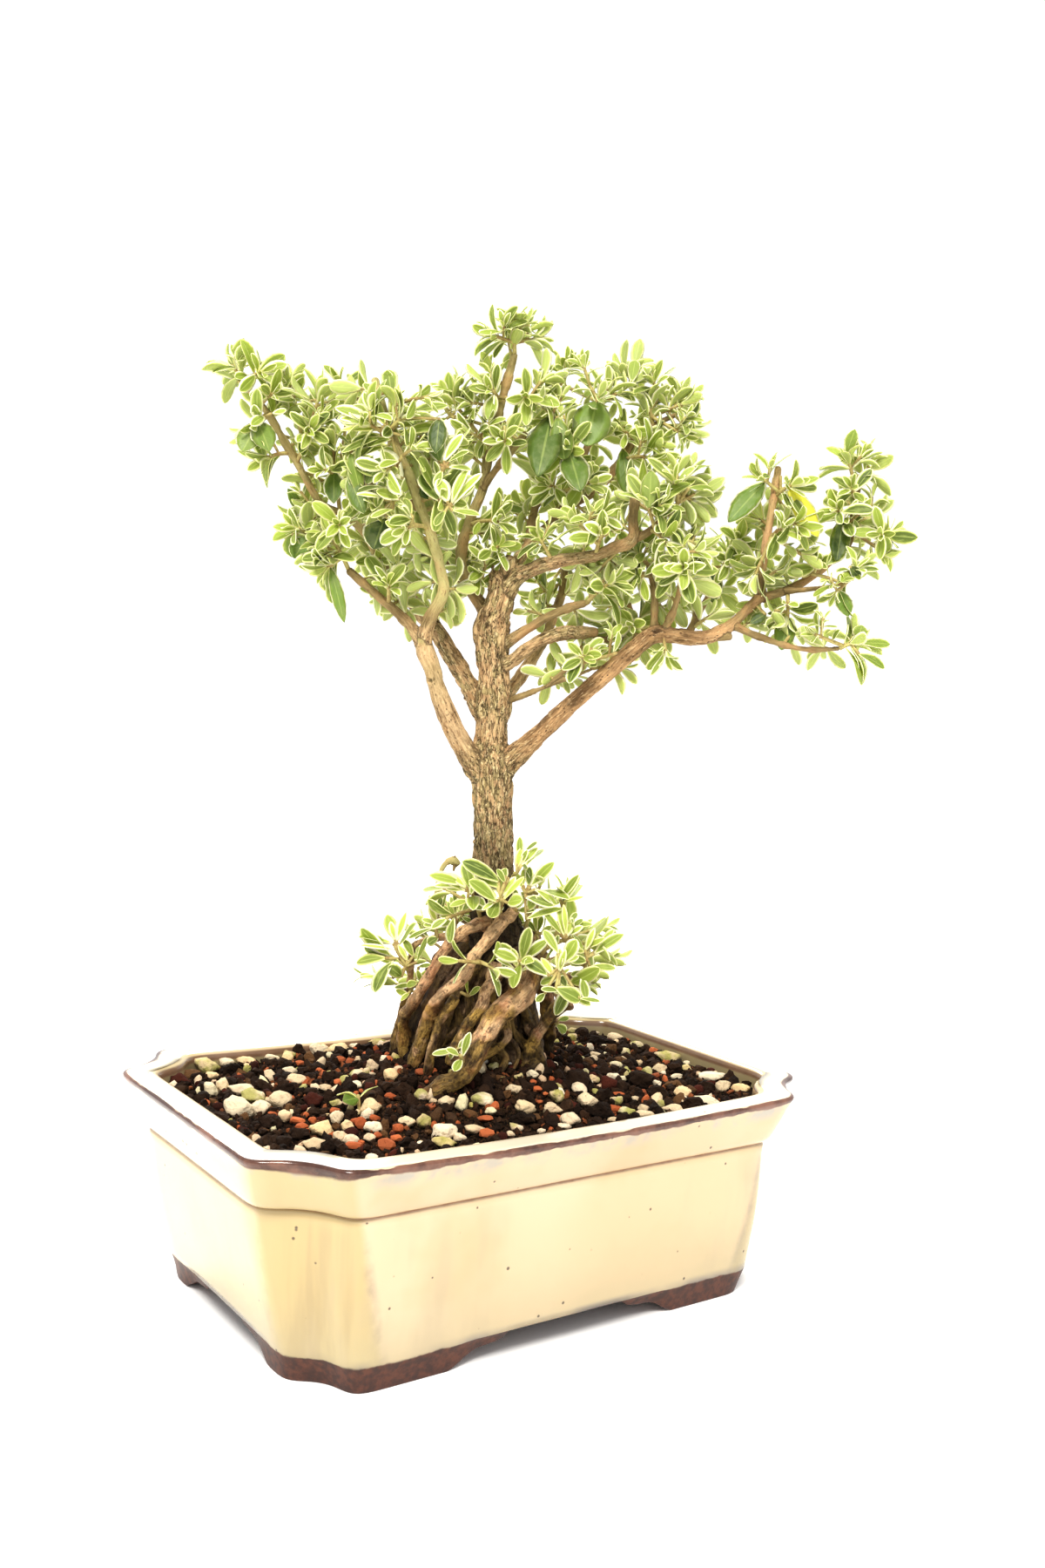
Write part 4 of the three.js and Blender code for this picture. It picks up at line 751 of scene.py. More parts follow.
# the pieces that the stones are joined into: their kinds, the range of draws that scatters more of them and
# their radius; then for the paint its name, the dark, light and odd colours, the draw from which a stone is
# odd, the grains to a metre, the roughness, the bump's depth in metres, and whether moss grows on them
stoneFamilies = {
    "pumiceStones": {"kinds": ("pumice", "mossy", "pellet"), "draws": (0.0, 0.12), "radius": (1.1, 2.7),
                     "slot": "pumice", "smooth": True,
                     "paint": ("pumice", (190, 158, 118), (248, 236, 210), (184, 142, 102), 0.8, 900, 0.88,
                               0.0011, True)},
    "clayStones": {"kinds": ("clay",), "draws": (0.12, 0.24), "radius": (0.7, 1.8), "slot": "baked_clay",
                   "smooth": False,
                   "paint": ("bakedClay", (138, 66, 36), (204, 118, 72), (112, 60, 40), 0.7, 1400, 0.8,
                             0.0003)},
    "lavaStones": {"kinds": ("lava",), "draws": (0.24, 0.31), "radius": (1.2, 2.6), "slot": "baked_clay",
                   "smooth": True,
                   "paint": ("redLava", (44, 20, 14), (88, 42, 30), (34, 20, 16), 0.7, 1300, 0.92, 0.0009)},
    "barkChunks": {"kinds": ("bark",), "draws": (0.31, 1.0), "radius": (1.0, 2.9), "slot": "soil",
                   "smooth": False,
                   "paint": ("soilBark", (12, 7, 4), (56, 38, 25), (110, 78, 48), 0.82, 1100, 0.88,
                             0.0011)},
}
# size gives each stone read off the photograph its half width, sunk how far its middle lies above the soil
stoneFit = {"size": 0.98, "tallest": 1.5, "sunk": 0.45, "turn": 0.3, "scatterSunk": 0.25}


def stoneShapes(n, level, sides, power, lumps):
    # a ball pressed flat on several sides: reach = (sum over sides of max(0, direction . side / offset) to
    # the power) to the power -1 / power; a high power gives sharp edges, and noise adds lumps
    ball, faces = roundTemplate(level)
    k = np.arange(sides)
    height = 1 - (2 * k + 1) / sides
    angle = k * math.pi * (3 - math.sqrt(5))
    wide = np.sqrt(1 - height**2)
    even = np.stack([wide * np.cos(angle), wide * np.sin(angle), height], -1)
    draws = np.stack([chance(n[:, None] * 1.7 + k * 3.3 + a) - 0.5 for a in (0.1, 0.4, 0.7)], -1)
    side = unit(even + draws * 1.1)
    offset = 0.74 + 0.26 * chance(n[:, None] * 2.3 + k * 5.1)
    press = np.maximum(1e-6, np.einsum("vc,nkc->nvk", ball, side) / offset[:, None])
    reach = (press**power).sum(-1) ** (-1 / power)
    swell = 1 + lumps * (rough(ball[None] * 2.4 + n[:, None, None] * 3.1, 3) - 0.5) * 2
    return ball[None] * np.minimum(reach, 1.25)[..., None] * swell[..., None], faces


def tumbled(shape, n):
    # each stone turned at random by a unit quaternion
    q = unit(np.stack([chance(n + k / 10) - 0.5 for k in (3, 4, 5, 6)], -1))
    w, axis = q[:, :1, None], q[:, None, 1:]
    return shape + 2 * np.cross(axis, np.cross(axis, shape) + w * shape)


def keepInside(place, radius):
    # centres moved in from the pot's inner wall and from its cut corners
    length, width = soil["rimLength"], soil["rimWidth"]
    x = np.clip(place[:, 0], radius - length, length - radius)
    y = np.clip(place[:, 1], radius - width, width - radius)
    cutX, cutY = pot["cavityCorner"]
    normal = unit(np.array([cutY, cutX], float))
    beyond = (np.abs(x) - length) * normal[0] + (np.abs(y) - width + cutY) * normal[1] + radius + 0.6
    beyond = np.maximum(0, beyond)
    return np.column_stack([x - np.sign(x) * normal[0] * beyond, y - np.sign(y) * normal[1] * beyond])


def onSoil(x, y, above):
    # where the line of sight through a pixel meets the soil: z of the line = height of the soil, found by
    # repetition
    right, up = fromPicture(x, y)
    reach = pictureMiddle + right[:, None] * pictureRight + up[:, None] * pictureUp - eye
    share = np.ones(len(right))
    for _ in range(60):
        place = eye + reach * share[:, None]
        share = (soilHeight(place[:, 0], place[:, 1]) + above - eye[2]) / reach[:, 2]
    return place


def placedStones(kind, seed):
    # the stones of one kind from the list, lying broadside to the viewer
    x, y, width, height = np.array(seenStones[kind], float).T
    n = seed + np.arange(len(x))
    shape, faces = stoneShapes(n, *stoneKinds[kind])
    wide = width / view["pixelsPerMm"] / 2 * stoneFit["size"]
    tall = np.minimum(height / view["pixelsPerMm"] / 2 * stoneFit["size"], wide * stoneFit["tallest"])
    deep = (wide + tall) / 2 * between(0.8, 1.05, n + 0.2)
    shape = shape * np.stack([wide, deep, tall], -1)[:, None]
    turn = azimuth + between(-stoneFit["turn"], stoneFit["turn"], n + 0.6)
    c, s = np.cos(turn)[:, None], np.sin(turn)[:, None]
    x0, y0, z0 = (shape[..., axis] for axis in range(3))
    shape = np.stack([x0 * c - y0 * s, x0 * s + y0 * c, z0], -1)
    above = tall * stoneFit["sunk"]
    place = onSoil(x, y, above)
    place[:, :2] = keepInside(place, np.minimum(wide, deep) * 0.9)
    place[:, 2] = soilHeight(place[:, 0], place[:, 1]) + above
    return shape + place[:, None], faces, n, place, np.maximum(wide, deep)


def scatterPlaces(cell, seed):
    # one jittered place in each square cell inside the pot's inner outline
    gx, gy = (g.ravel() for g in np.meshgrid(np.arange(-90, 90, cell), np.arange(-58, 58, cell)))
    n = np.arange(len(gx)) + seed
    place = np.column_stack([gx + cell * (chance(n + 0.1) - 0.5) * 1.2,
                             gy + cell * (chance(n + 0.2) - 0.5) * 1.2])
    moved = keepInside(place, np.full(len(n), 1.6))
    inside = np.abs(moved - place).max(1) < cell * 0.6
    return moved[inside], n[inside]


def clearOf(place, radius, taken, takenRadius, share):
    apart = np.linalg.norm(place[:, None, :2] - taken[None, :, :2], axis=-1)
    return (apart > (radius[:, None] + takenRadius[None]) * share).all(1)


def stonePaint(name, dark, light, odd, oddFrom, grain, roughness, depth, moss=False):
    paint = Paint(name)
    tone = paint.attribute("tone")
    pores, patch = paint.noise(grain, 4), paint.noise(grain / 5, 3)
    layers = [(tone * 0.6 + patch * 0.5, light),
              (tone.step(oddFrom, oddFrom + 0.1) * 0.7 + patch.step(0.62, 0.8) * 0.25, odd)]
    if moss:
        green = paint.attribute("moss") * (patch * 0.8 + paint.noise(90, 2) * 0.5).step(0.45, 0.75)
        layers += [(tone.near(0.3, 0.09) * 0.55, (238, 202, 142)),
                   (tone.near(0.6, 0.06) * 0.5, (206, 202, 150)),
                   (green * 0.8, (150, 148, 60)),
                   (paint.attribute("cool") * 0.8, (186, 188, 186))]
    # painted shade with clinging soil, low on each stone
    lowShadeAndSoil = paint.attribute("low") * (pores * 0.8 + patch * 0.6).step(0.45, 0.8)
    layers += [(pores.step(0.6, 0.74) * 0.5, tint(*dark, 0.4)), (lowShadeAndSoil * 0.8, tint(*dark, 0.3))]
    return paint.finish({"Base Color": paint.coats(dark, layers), "Roughness": roughness,
                         "Specular IOR Level": 0.12}, pores, depth, 0.8)


def stoneSkin(shape, faces, middle, tone, mossy, cool):
    # many stones as one skin, with a number for each of its points; low is 1 on the lowest part of each
    # stone, which is painted darker as shade and clinging soil
    copies, size = shape.shape[:2]
    height = shape[..., 2] - middle[:, None, 2]
    low = np.clip((-0.05 - height / height.max(1, keepdims=True)) / 0.45, 0, 1).ravel()
    values = {key: np.repeat(np.broadcast_to(value, copies), size)
              for key, value in (("tone", tone), ("moss", mossy), ("cool", cool))}
    return (shape.reshape(-1, 3), [repeated(faces, copies, size)]), {"low": low, **values}


def makeStones():
    placed = {kind: placedStones(kind, 300 * k) for k, kind in enumerate(stoneKinds)}
    taken = np.concatenate([p[3] for p in placed.values()])
    takenRadius = np.concatenate([p[4] for p in placed.values()])
    place, n = scatterPlaces(soil["cell"], 5000)
    kind = chance(n + 0.33)
    for name, family in stoneFamilies.items():
        kinds, (fromDraw, toDraw), (small, large) = (family[key] for key in ("kinds", "draws", "radius"))
        groups = []
        for each in kinds:
            shape, faces, draws, middle, _ = placed[each]
            groups.append(stoneSkin(shape, faces, middle, chance(draws + 0.9) * 0.78,
                                    1.0 if each == "mossy" else 0.12, float(each == "pellet")))
        chosen = (kind >= fromDraw) & (kind < toDraw)
        draws = n[chosen]
        radius = small + (large - small) * chance(draws + 0.5) ** 1.6
        free = clearOf(place[chosen], radius, taken, takenRadius, 0.8)
        draws, radius, spot = draws[free], radius[free], place[chosen][free]
        shape, faces = stoneShapes(draws, 2, *stoneKinds[kinds[0]][1:])
        stretch = np.stack([between(0.9, 1.3, draws + 0.7), between(0.75, 1.0, draws + 0.8),
                            between(0.6, 0.85, draws + 0.4)], -1)
        shape = tumbled(shape * stretch[:, None], draws) * radius[:, None, None]
        height = soilHeight(spot[:, 0], spot[:, 1]) + radius * stoneFit["scatterSunk"] - 0.3
        middle = np.column_stack([spot, height])
        groups.append(stoneSkin(shape + middle[:, None], faces, middle, chance(draws + 0.9),
                                (chance(draws + 0.15) > 0.7) * 1.0, 0.0))
        points, faces = together([skin for skin, _ in groups])
        used = ("tone", "low", "moss", "cool") if "mossy" in kinds else ("tone", "low")
        values = {key: np.concatenate([each[key] for _, each in groups]) for key in used}
        addPiece(name, points, faces, stonePaint(*family["paint"]), values=values,
                 smooth=family["smooth"])
    crumbs(taken, takenRadius)


def crumbs(taken, takenRadius):
    # the crumbly soil between the stones
    place, n = scatterPlaces(soil["crumbCell"], 20000)
    radius = 0.45 + 1.0 * chance(n + 0.5) ** 2
    free = clearOf(place, radius, taken, takenRadius, 0.75)
    place, n, radius = place[free], n[free], radius[free]
    shape, faces = stoneShapes(n, 1, 7, 12, 0.6)
    shape = tumbled(shape * np.array([1.35, 0.9, 0.7]), n) * radius[:, None, None]
    heave = np.clip(soilHeave(np.column_stack([place, 0 * radius])), -0.5, 3)
    middle = np.column_stack([place, soilHeight(place[:, 0], place[:, 1]) - 0.7 + heave])
    copies, size = shape.shape[:2]
    paint = stonePaint("crumbs", (14, 8, 5), (66, 44, 28), (150, 86, 50), 0.84, 1500, 0.9, 0.0005)
    addPiece("soilCrumbs", (shape + middle[:, None]).reshape(-1, 3), [repeated(faces, copies, size)], paint,
             values={"tone": np.repeat(chance(n + 0.9), size)}, smooth=False)


makeSoilBed()
makeStones()
print("soil done")


# limbs and roots

# each limb's points give right, up, toward and radius
limbs = {
    "trunk": [(-8, -52, -12, 9.5), (-9.2, -44, -11, 7.6), (-9.5, -34, -10, 6.6), (-9.6, -22, -9, 6.3),
        (-9.8, -8, -9, 6.2), (-9.8, 1, -8, 6.6), (-10, 6, -8, 7.4), (-10.2, 12, -8, 5.6),
        (-10, 19, -7, 5.0), (-9.4, 26, -7, 5.8), (-9.5, 35, -6, 5.1), (-10, 45, -6, 5.3),
        (-10, 52, -6, 5.5), (-8, 59, -5, 4.6), (-7, 65, -5, 4.2), (-8.2, 69, -5, 2.6)],
    "stubKnob": [(-5, 64, -5, 2.5), (-4.5, 71, -4, 2.6), (-4, 74.5, -4, 2.0)],
    "lowLeft": [(-11, 1, -7, 4.5), (-16, 7, -5, 4.0), (-20.5, 14, -1, 3.5), (-24, 21, 2, 3.3),
        (-27.5, 30, 5, 2.9), (-29.7, 38, 7, 2.7), (-32.3, 45, 8, 2.7), (-32.6, 47, 9, 2.1)],
    "lowLeftTip": [(-31.8, 44, 8, 2.3), (-37, 52, 8, 1.9), (-42, 57, 7, 1.6), (-49, 63, 6, 1.4),
        (-57, 70, 5, 1.1)],
    "leftStem": [(-32.3, 45, 8, 2.4), (-31.5, 51, 10, 2.3), (-29, 57, 12, 2.1), (-26, 62.5, 13, 2.0),
        (-27, 71, 15, 1.7), (-29.8, 81, 17, 1.55), (-33.5, 91, 18, 1.5), (-37, 101, 19, 1.45),
        (-40.5, 109, 20, 1.4), (-44, 118, 19, 1.4), (-46.5, 126, 18, 1.3), (-48.5, 133, 17, 1.3)],
    "innerLeft": [(-11, 21, -10, 3.8), (-15, 28, -11, 3.4), (-19, 35, -12, 3.0), (-24, 43, -13, 2.8),
        (-28, 50, -13, 2.5), (-33, 56, -13, 2.5), (-37.5, 61.5, -12, 2.0)],
    "farLeft": [(-31, 54, -13, 1.8), (-40, 63, -15, 1.6), (-46, 72, -15, 1.5), (-50, 80, -14, 1.4),
        (-58, 88, -11, 1.3), (-66, 92, -8, 1.3), (-71, 100, -6, 1.3), (-75, 107, -5, 1.25),
        (-79, 114, -5, 1.2), (-83.5, 121.5, -5, 1.1), (-91, 131, -6, 1.0)],
    "leader": [(-9, 52, -8, 3.0), (-13, 58, -9, 2.3), (-17.5, 64.5, -10, 2.0), (-20, 71, -11, 1.9),
        (-19.6, 79, -11, 1.75), (-16.7, 88, -10, 1.65), (-13, 97, -10, 1.6), (-11.5, 106, -9, 1.5),
        (-9, 116, -8, 1.45), (-7, 125, -8, 1.4), (-4.3, 135, -8, 1.4), (-2.6, 141, -8, 1.2)],
    "leaderFork": [(-13.5, 96, -10, 1.3), (-8.5, 103.5, -6, 1.2), (-4, 109, -3, 1.1), (1, 115, 0, 0.9)],
    "upperRight": [(-7, 61, -5, 3.4), (-2, 67.5, -1, 2.9), (5, 71.3, 3, 2.5), (14, 73.5, 7, 2.2),
        (24, 75, 10, 1.9), (30, 77.5, 12, 1.7), (36, 80, 13, 1.9), (36.3, 87, 13, 1.6), (37, 94, 13, 1.5)],
    "upperRightTwig": [(35, 79.5, 13, 1.4), (41, 82.5, 13, 1.3), (46, 87, 14, 1.0), (51, 92, 15, 0.9)],
    "middle": [(-6, 66, -7, 2.4), (2, 78, -14, 1.8), (9, 85, -17, 1.7), (14.5, 92, -19, 1.5),
        (18, 102, -20, 1.4), (22, 113, -20, 1.2), (26, 124, -20, 1.0)],
    "middleRight": [(13, 90, -18, 1.3), (24, 96, -24, 1.2), (32, 106, -27, 1.2), (40, 116, -28, 1.0),
        (50, 121, -27, 0.9)],
    "middleBack": [(2, 78, -14, 1.5), (4, 90, -28, 1.3), (8, 102, -42, 1.2), (10, 112, -52, 0.9)],
    "backLeft": [(-16, 62, -10, 1.8), (-23, 72, -21, 1.6), (-31, 84, -32, 1.4), (-38, 98, -41, 1.0)],
    "rightOne": [(-9, 43, -6, 2.2), (-2, 48.5, -3, 1.8), (5, 53, 0, 1.5), (13, 57, 3, 1.4),
        (22, 59.8, 6, 1.0)],
    "rightTwo": [(-9, 37, -6, 2.6), (-2, 41.5, -2, 2.2), (4, 46, 0, 2.2), (11, 49, 1, 2.3),
        (18, 49.8, 2, 2.2), (24.5, 49.8, 2, 1.5)],
    "rightTwoTwig": [(17, 49, 1, 1.2), (27, 47.3, -3, 1.1), (36, 48.3, -8, 1.0)],
    "rightThree": [(-8, 25, -9, 2.6), (-2, 33.5, -15, 2.0), (4, 42, -20, 1.7), (9, 52, -27, 1.4),
        (13, 63, -34, 1.2), (14, 76, -44, 0.9)],
    "rightFour": [(-8, 26, -7, 1.5), (0, 29, -3, 0.95), (9, 32.4, 2, 0.8), (16, 35, 4, 0.75),
        (23, 37.8, 5, 0.6)],
    "rightFourFork": [(8, 32, 2, 0.7), (13, 36.5, 4, 0.65), (19, 40.6, 6, 0.55)],
    "mainRight": [(-9, 3, -8, 4.6), (-3, 9, -5, 3.9), (4, 15, -1, 3.1), (12, 22.5, 3, 2.9),
        (20, 29.8, 5, 2.8), (28, 36.7, 6, 2.8), (36, 43.8, 7, 2.8), (43.5, 49, 7, 2.9), (51, 48.6, 7, 2.5),
        (59, 48, 6, 2.4), (66, 50.5, 5, 2.2), (72, 55.5, 3, 1.6), (78, 61.3, 2, 1.9)],
    "mainRightStub": [(62, 48.5, 5, 1.8), (68.5, 48.3, 6, 1.3)],
    "uprightOne": [(43, 49, 7, 1.5), (43.3, 60, 4, 1.1), (41.6, 72, 1, 0.9)],
    "uprightTwo": [(46, 49.5, 7, 1.4), (50, 58, 11, 1.1), (52.8, 70, 14, 0.9)],
    "uprightThree": [(54, 48.5, 6, 1.4), (59, 58, -6, 1.1), (65, 68, -14, 0.9)],
    "backRight": [(38, 45.5, 6, 1.6), (36, 54, -10, 1.3), (33, 64, -26, 1.2), (30, 78, -42, 0.9)],
    "cutStem": [(77.8, 61, 2, 1.6), (79, 72, 4, 1.4), (81.5, 88, 5, 1.3), (84, 104, 5, 1.2)],
    "farRight": [(78, 61, 2, 1.6), (87, 63.6, 0, 1.5), (94, 67.5, -3, 1.4), (101, 73, -5, 1.3),
        (107, 79.5, -6, 1.4), (108.3, 88, -6, 1.0), (110, 97, -6, 0.9)],
    "farRightThin": [(86, 63.3, 1, 1.1), (95, 64, 6, 0.9), (102, 65, 9, 0.8), (108, 67, 10, 0.7)],
    "lowRight": [(69, 52, 4, 1.5), (78, 48.2, 9, 1.1), (86, 45.6, 11, 1.0), (95, 44, 12, 0.9),
        (104, 44.5, 12, 0.8)],
    "deadTwig": [(-12, -46, -14, 1.6), (-22, -43, -18, 1.3), (-27, -38.6, -18, 1.3),
        (-27.6, -35.2, -18, 1.35), (-27.4, -31.5, -18, 0.8), (-26.2, -27.4, -18, 0.95),
        (-24.2, -25.3, -18, 1.0), (-22.2, -25.2, -18, 1.25), (-20.7, -26.4, -18, 0.9)],
    "deadSpur": [(-22.2, -25.2, -18, 0.8), (-22.1, -23.4, -18, 0.4)],
    "deadDrop": [(-21.8, -25.8, -18, 0.8), (-22.8, -28.6, -18, 0.5)],
    "knobLeft": [(-27.6, -36, -18, 0.9), (-29.6, -37.4, -18, 0.45)],
    "knobRight": [(-27.4, -36, -18, 0.9), (-25.6, -37.8, -18, 0.45)],
}
roots = {
    "outerLeft": [(-9, -46, -8, 3.0), (-14, -46.3, 0, 2.3), (-20, -48.5, 5, 1.8), (-25.5, -54, 7, 1.6),
        (-30, -62, 4, 1.8), (-34.5, -69.5, -3, 1.8), (-39, -77, -12, 1.9), (-39, -86, -18, 2.1),
        (-38.5, -98, -20, 2.2)],
    "innerLeft": [(-2.5, -41.5, -6, 1.9), (-7.5, -46, 2, 2.1), (-12, -52, 7, 2.1), (-16, -56.5, 9, 1.8),
        (-19, -63, 9, 1.8), (-25, -68, 8, 1.9), (-29.5, -73, 5, 2.2), (-32, -80, 1, 2.1),
        (-34.5, -88, -2, 2.2), (-37, -99, -3, 2.1)],
    "front": [(1.5, -58, -3, 3.4), (1.5, -66, 3, 4.2), (-3, -72, 8, 4.1), (-9, -77, 12, 3.8),
        (-13, -83, 15, 3.6), (-16.5, -90, 18, 3.9), (-21, -96, 20, 3.5), (-27.5, -99.8, 21, 2.9),
        (-34, -103.5, 22, 2.2)],
    "right": [(8, -62, -10, 2.8), (13, -71, -10, 2.4), (9, -76, -8, 2.0), (5.5, -81, -8, 2.0),
        (2.5, -87, -9, 2.2), (-1, -99, -9, 2.2)],
    "rightStub": [(7, -62, -12, 2.4), (14, -64, -12, 2.2), (19, -66, -12, 1.4)],
    "brokenStub": [(11, -73, -10, 1.8), (16.5, -73, -8, 1.1)],
    "middleFirst": [(-8, -60, -3, 3.0), (-11, -67, 3, 2.2), (-14, -74, 6, 2.0), (-18.5, -80, 7, 1.9),
        (-24, -92, 8, 1.8)],
    "middleSecond": [(-22, -70, 4, 1.8), (-27, -78, 5, 1.4), (-30, -88, 6, 1.5), (-32, -99, 6, 1.5)],
    "farLeft": [(-18, -50, -8, 1.6), (-28, -50.5, -8, 1.3), (-35.5, -53, -9, 1.1), (-36.5, -62, -12, 1.1),
        (-40, -76, -20, 1.3), (-44, -94, -26, 1.5)],
    "backLeft": [(-14, -50, -22, 3.0), (-22, -60, -32, 2.8), (-28, -74, -40, 2.6), (-34, -92, -50, 2.6)],
    "backMiddle": [(-6, -48, -22, 3.2), (-6, -60, -36, 3.0), (-10, -74, -46, 2.8), (-12, -92, -56, 2.8)],
    "backRight": [(2, -48, -18, 3.0), (6, -58, -28, 2.8), (8, -72, -38, 2.6), (8, -90, -49, 2.6)],
    "behindLeft": [(-12, -50, -16, 2.2), (-20, -58, -22, 2.0), (-27, -70, -27, 2.0), (-31, -95, -31, 2.0)],
    "sideLeft": [(-17, -50, -20, 1.9), (-25, -61, -27, 1.9), (-31, -77, -30, 2.0), (-35, -97, -31, 2.0)],
    "sideBack": [(-15, -51, -22, 2.0), (-22, -63, -29, 2.0), (-26, -79, -32, 2.1), (-28, -97, -34, 2.1)],
    "backBetween": [(-6, -49, -18, 2.2), (-9, -65, -26, 2.1), (-15, -80, -30, 2.1), (-19, -97, -33, 2.1)],
    "betweenLeft": [(-14, -54, -10, 1.8), (-22, -62, -10, 1.6), (-29, -75, -12, 1.6), (-35, -97, -14, 1.7)],
    "betweenInner": [(-14, -58, -6, 1.8), (-21, -68, -4, 1.6), (-26, -80, -3, 1.6), (-31, -99, -3, 1.7)],
}
# the two cores are painted nearly black, as painted shade deep between the roots
leftCore = [(-16, -50, -18, 3), (-23, -60, -20, 6.5), (-28, -76, -22, 8.5), (-31, -96, -22, 9)]
tangleCore = [(-8, -44, -12, 5.5), (-7, -55, -13, 7), (-8, -66, -15, 9), (-10, -78, -17, 11),
              (-11, -92, -19, 13)]
# dark pits and swellings on the trunk's near side: right, up, toward, size; the pits' darkness is painted
# shade
knots = [
    (-9.5, -14, -2.5, 1.6), (-12, -6, -3, 1.0), (-6.5, 8, -3, 1.2), (-25, 18, 5, 1.2), (-8, 24, -2, 1.3),
    (-12, 33, -1, 1.1), (-7.5, 42, -1, 1.2), (-30, 34, 8, 1.0), (-11.5, 52, -1, 1.2), (44, 50, 10, 1.2),
]
wood = {"voxel": 0.6, "rootVoxel": 0.63, "step": 1.1, "sides": 14, "rootSides": 12, "lumps": 0.12,
        "rootLumps": 0.16, "tangleRoots": 40, "limbSpacing": 300, "block": 4000}
# how much smoother, paler and redder than the trunk's each kind of limb bark is
barkKinds = {"trunk": (0, 0, 0), "red": (0, 0, 1), "pinkish": (0.4, 0.7, 1), "smooth": (0.88, 1, 0),
             "green": (0.88, 1, 1), "brownish": (0.88, 0.4, 1)}
limbKinds = {"mainRight": "red", "lowLeftTip": "red", "mainRightStub": "red", "lowLeft": "pinkish",
             "leftStem": "green", "cutStem": "smooth", "leader": "brownish", "farLeft": "brownish",
             "leaderFork": "brownish", "deadTwig": "green", "deadSpur": "green", "deadDrop": "green",
             "knobLeft": "green", "knobRight": "green"}
# the dark core, the pale roots in front, the duller ones between or behind, and the palest one; the core
# and the duller ones are darkened as painted shade
rootMarks = {"plain": 0.0, "core": 1.0, "front": 2.0, "dull": 3.0, "palest": 4.0}
rootKinds = {"outerLeft": "palest", "innerLeft": "front", "front": "front", "farLeft": "front",
             "behindLeft": "dull", "betweenLeft": "dull", "betweenInner": "dull"}
# two short spikes of broken wood on top of the cut trunk
spikes = [[(-9.8, 63, -5, 1.3), (-10.0, 68, -4.5, 0.9), (-9.6, 72, -4.5, 0.35)],
          [(-6.6, 64, -4, 1.2), (-6.4, 68.5, -4, 0.8), (-6.0, 71.5, -4, 0.3)]]


def limbPath(points, step):
    p = np.asarray(points, float)
    return smoothPath(np.column_stack([seen(p[:, :3]), p[:, 3] * (1 - p[:, 2] / view["distance"])]), step)


def fused(name, skins, voxel, paint):
    # overlapping closed skins become one skin of small quads
    points, faces = together(skins)
    piece = addPiece(name, points, faces, paint)
    remesh = piece.modifiers.new("fuse", "REMESH")
    remesh.mode, remesh.voxel_size, remesh.adaptivity = "VOXEL", voxel * mm, 0.0
    relax = piece.modifiers.new("relax", "SMOOTH")
    relax.factor, relax.iterations = 0.5, 2
    bpy.context.view_layer.objects.active = piece
    for modifier in (remesh, relax):
        bpy.ops.object.modifier_apply(modifier=modifier.name)
    return piece


def nearestPath(points, paths):
    # for each point: the closest sample of any path, and where the point lies about that path, in blocks
    # that keep the table of distances small
    centre = np.concatenate([p[:, :3] for p in paths])
    frames = [carryFrames(p[:, :3]) for p in paths]
    along, across, other = (np.concatenate([f[k] for f in frames]) for k in range(3))
    radius = np.concatenate([p[:, 3] for p in paths])
    travel = np.concatenate([travelled(p) + wood["limbSpacing"] * k for k, p in enumerate(paths)])
    best = np.empty(len(points), np.int64)
    for start in range(0, len(points), wood["block"]):
        part = slice(start, start + wood["block"])
        block = points[part]
        squares = (block**2).sum(1)[:, None] + (centre**2).sum(1) - 2 * block @ centre.T
        apart = np.sqrt(np.maximum(0, squares))
        best[part] = (apart - radius).argmin(1)
    away = points - centre[best]
    local = np.stack([(away * across[best]).sum(1), (away * other[best]).sum(1),
                      travel[best] + (away * along[best]).sum(1)], -1)
    return local, radius[best], best


def barkRelief(piece, paths, marks, finish):
    # the skin is pushed along its normals by ridges, flakes and pits measured along each limb
    mesh = piece.data
    co = np.empty(len(mesh.vertices) * 3, np.float32)
    mesh.vertices.foreach_get("co", co)
    normal = np.empty_like(co)
    mesh.vertices.foreach_get("normal", normal)
    points = co.reshape(-1, 3) / mm - potMiddle
    local, radius, best = nearestPath(points, paths)
    mark = np.repeat(np.array(marks, float), [len(p) for p in paths], axis=0)[best]
    height, values = finish(points, local, radius, mark)
    moved = np.clip(points + normal.reshape(-1, 3) * height[:, None], roomLow, roomHigh)
    mesh.vertices.foreach_set("co", ((moved + potMiddle) * mm).astype(np.float32).ravel())
    for key, value in {**values, "limb": local}.items():
        addValues(mesh, key, np.asarray(value, np.float32))
    mesh.update()
    mesh.shade_smooth()
    print(piece.name, len(mesh.polygons), "faces")


def ridged(p):
    # noise with sharp crests, 1 along each crest
    return 1 - np.abs(2 * rough(p, 2) - 1) * 2


def eased(value, start, width):
    # 0 at the start, evenly up to 1 a width further on, or further down where the width is negative
    return np.clip((value - start) / width, 0, 1)


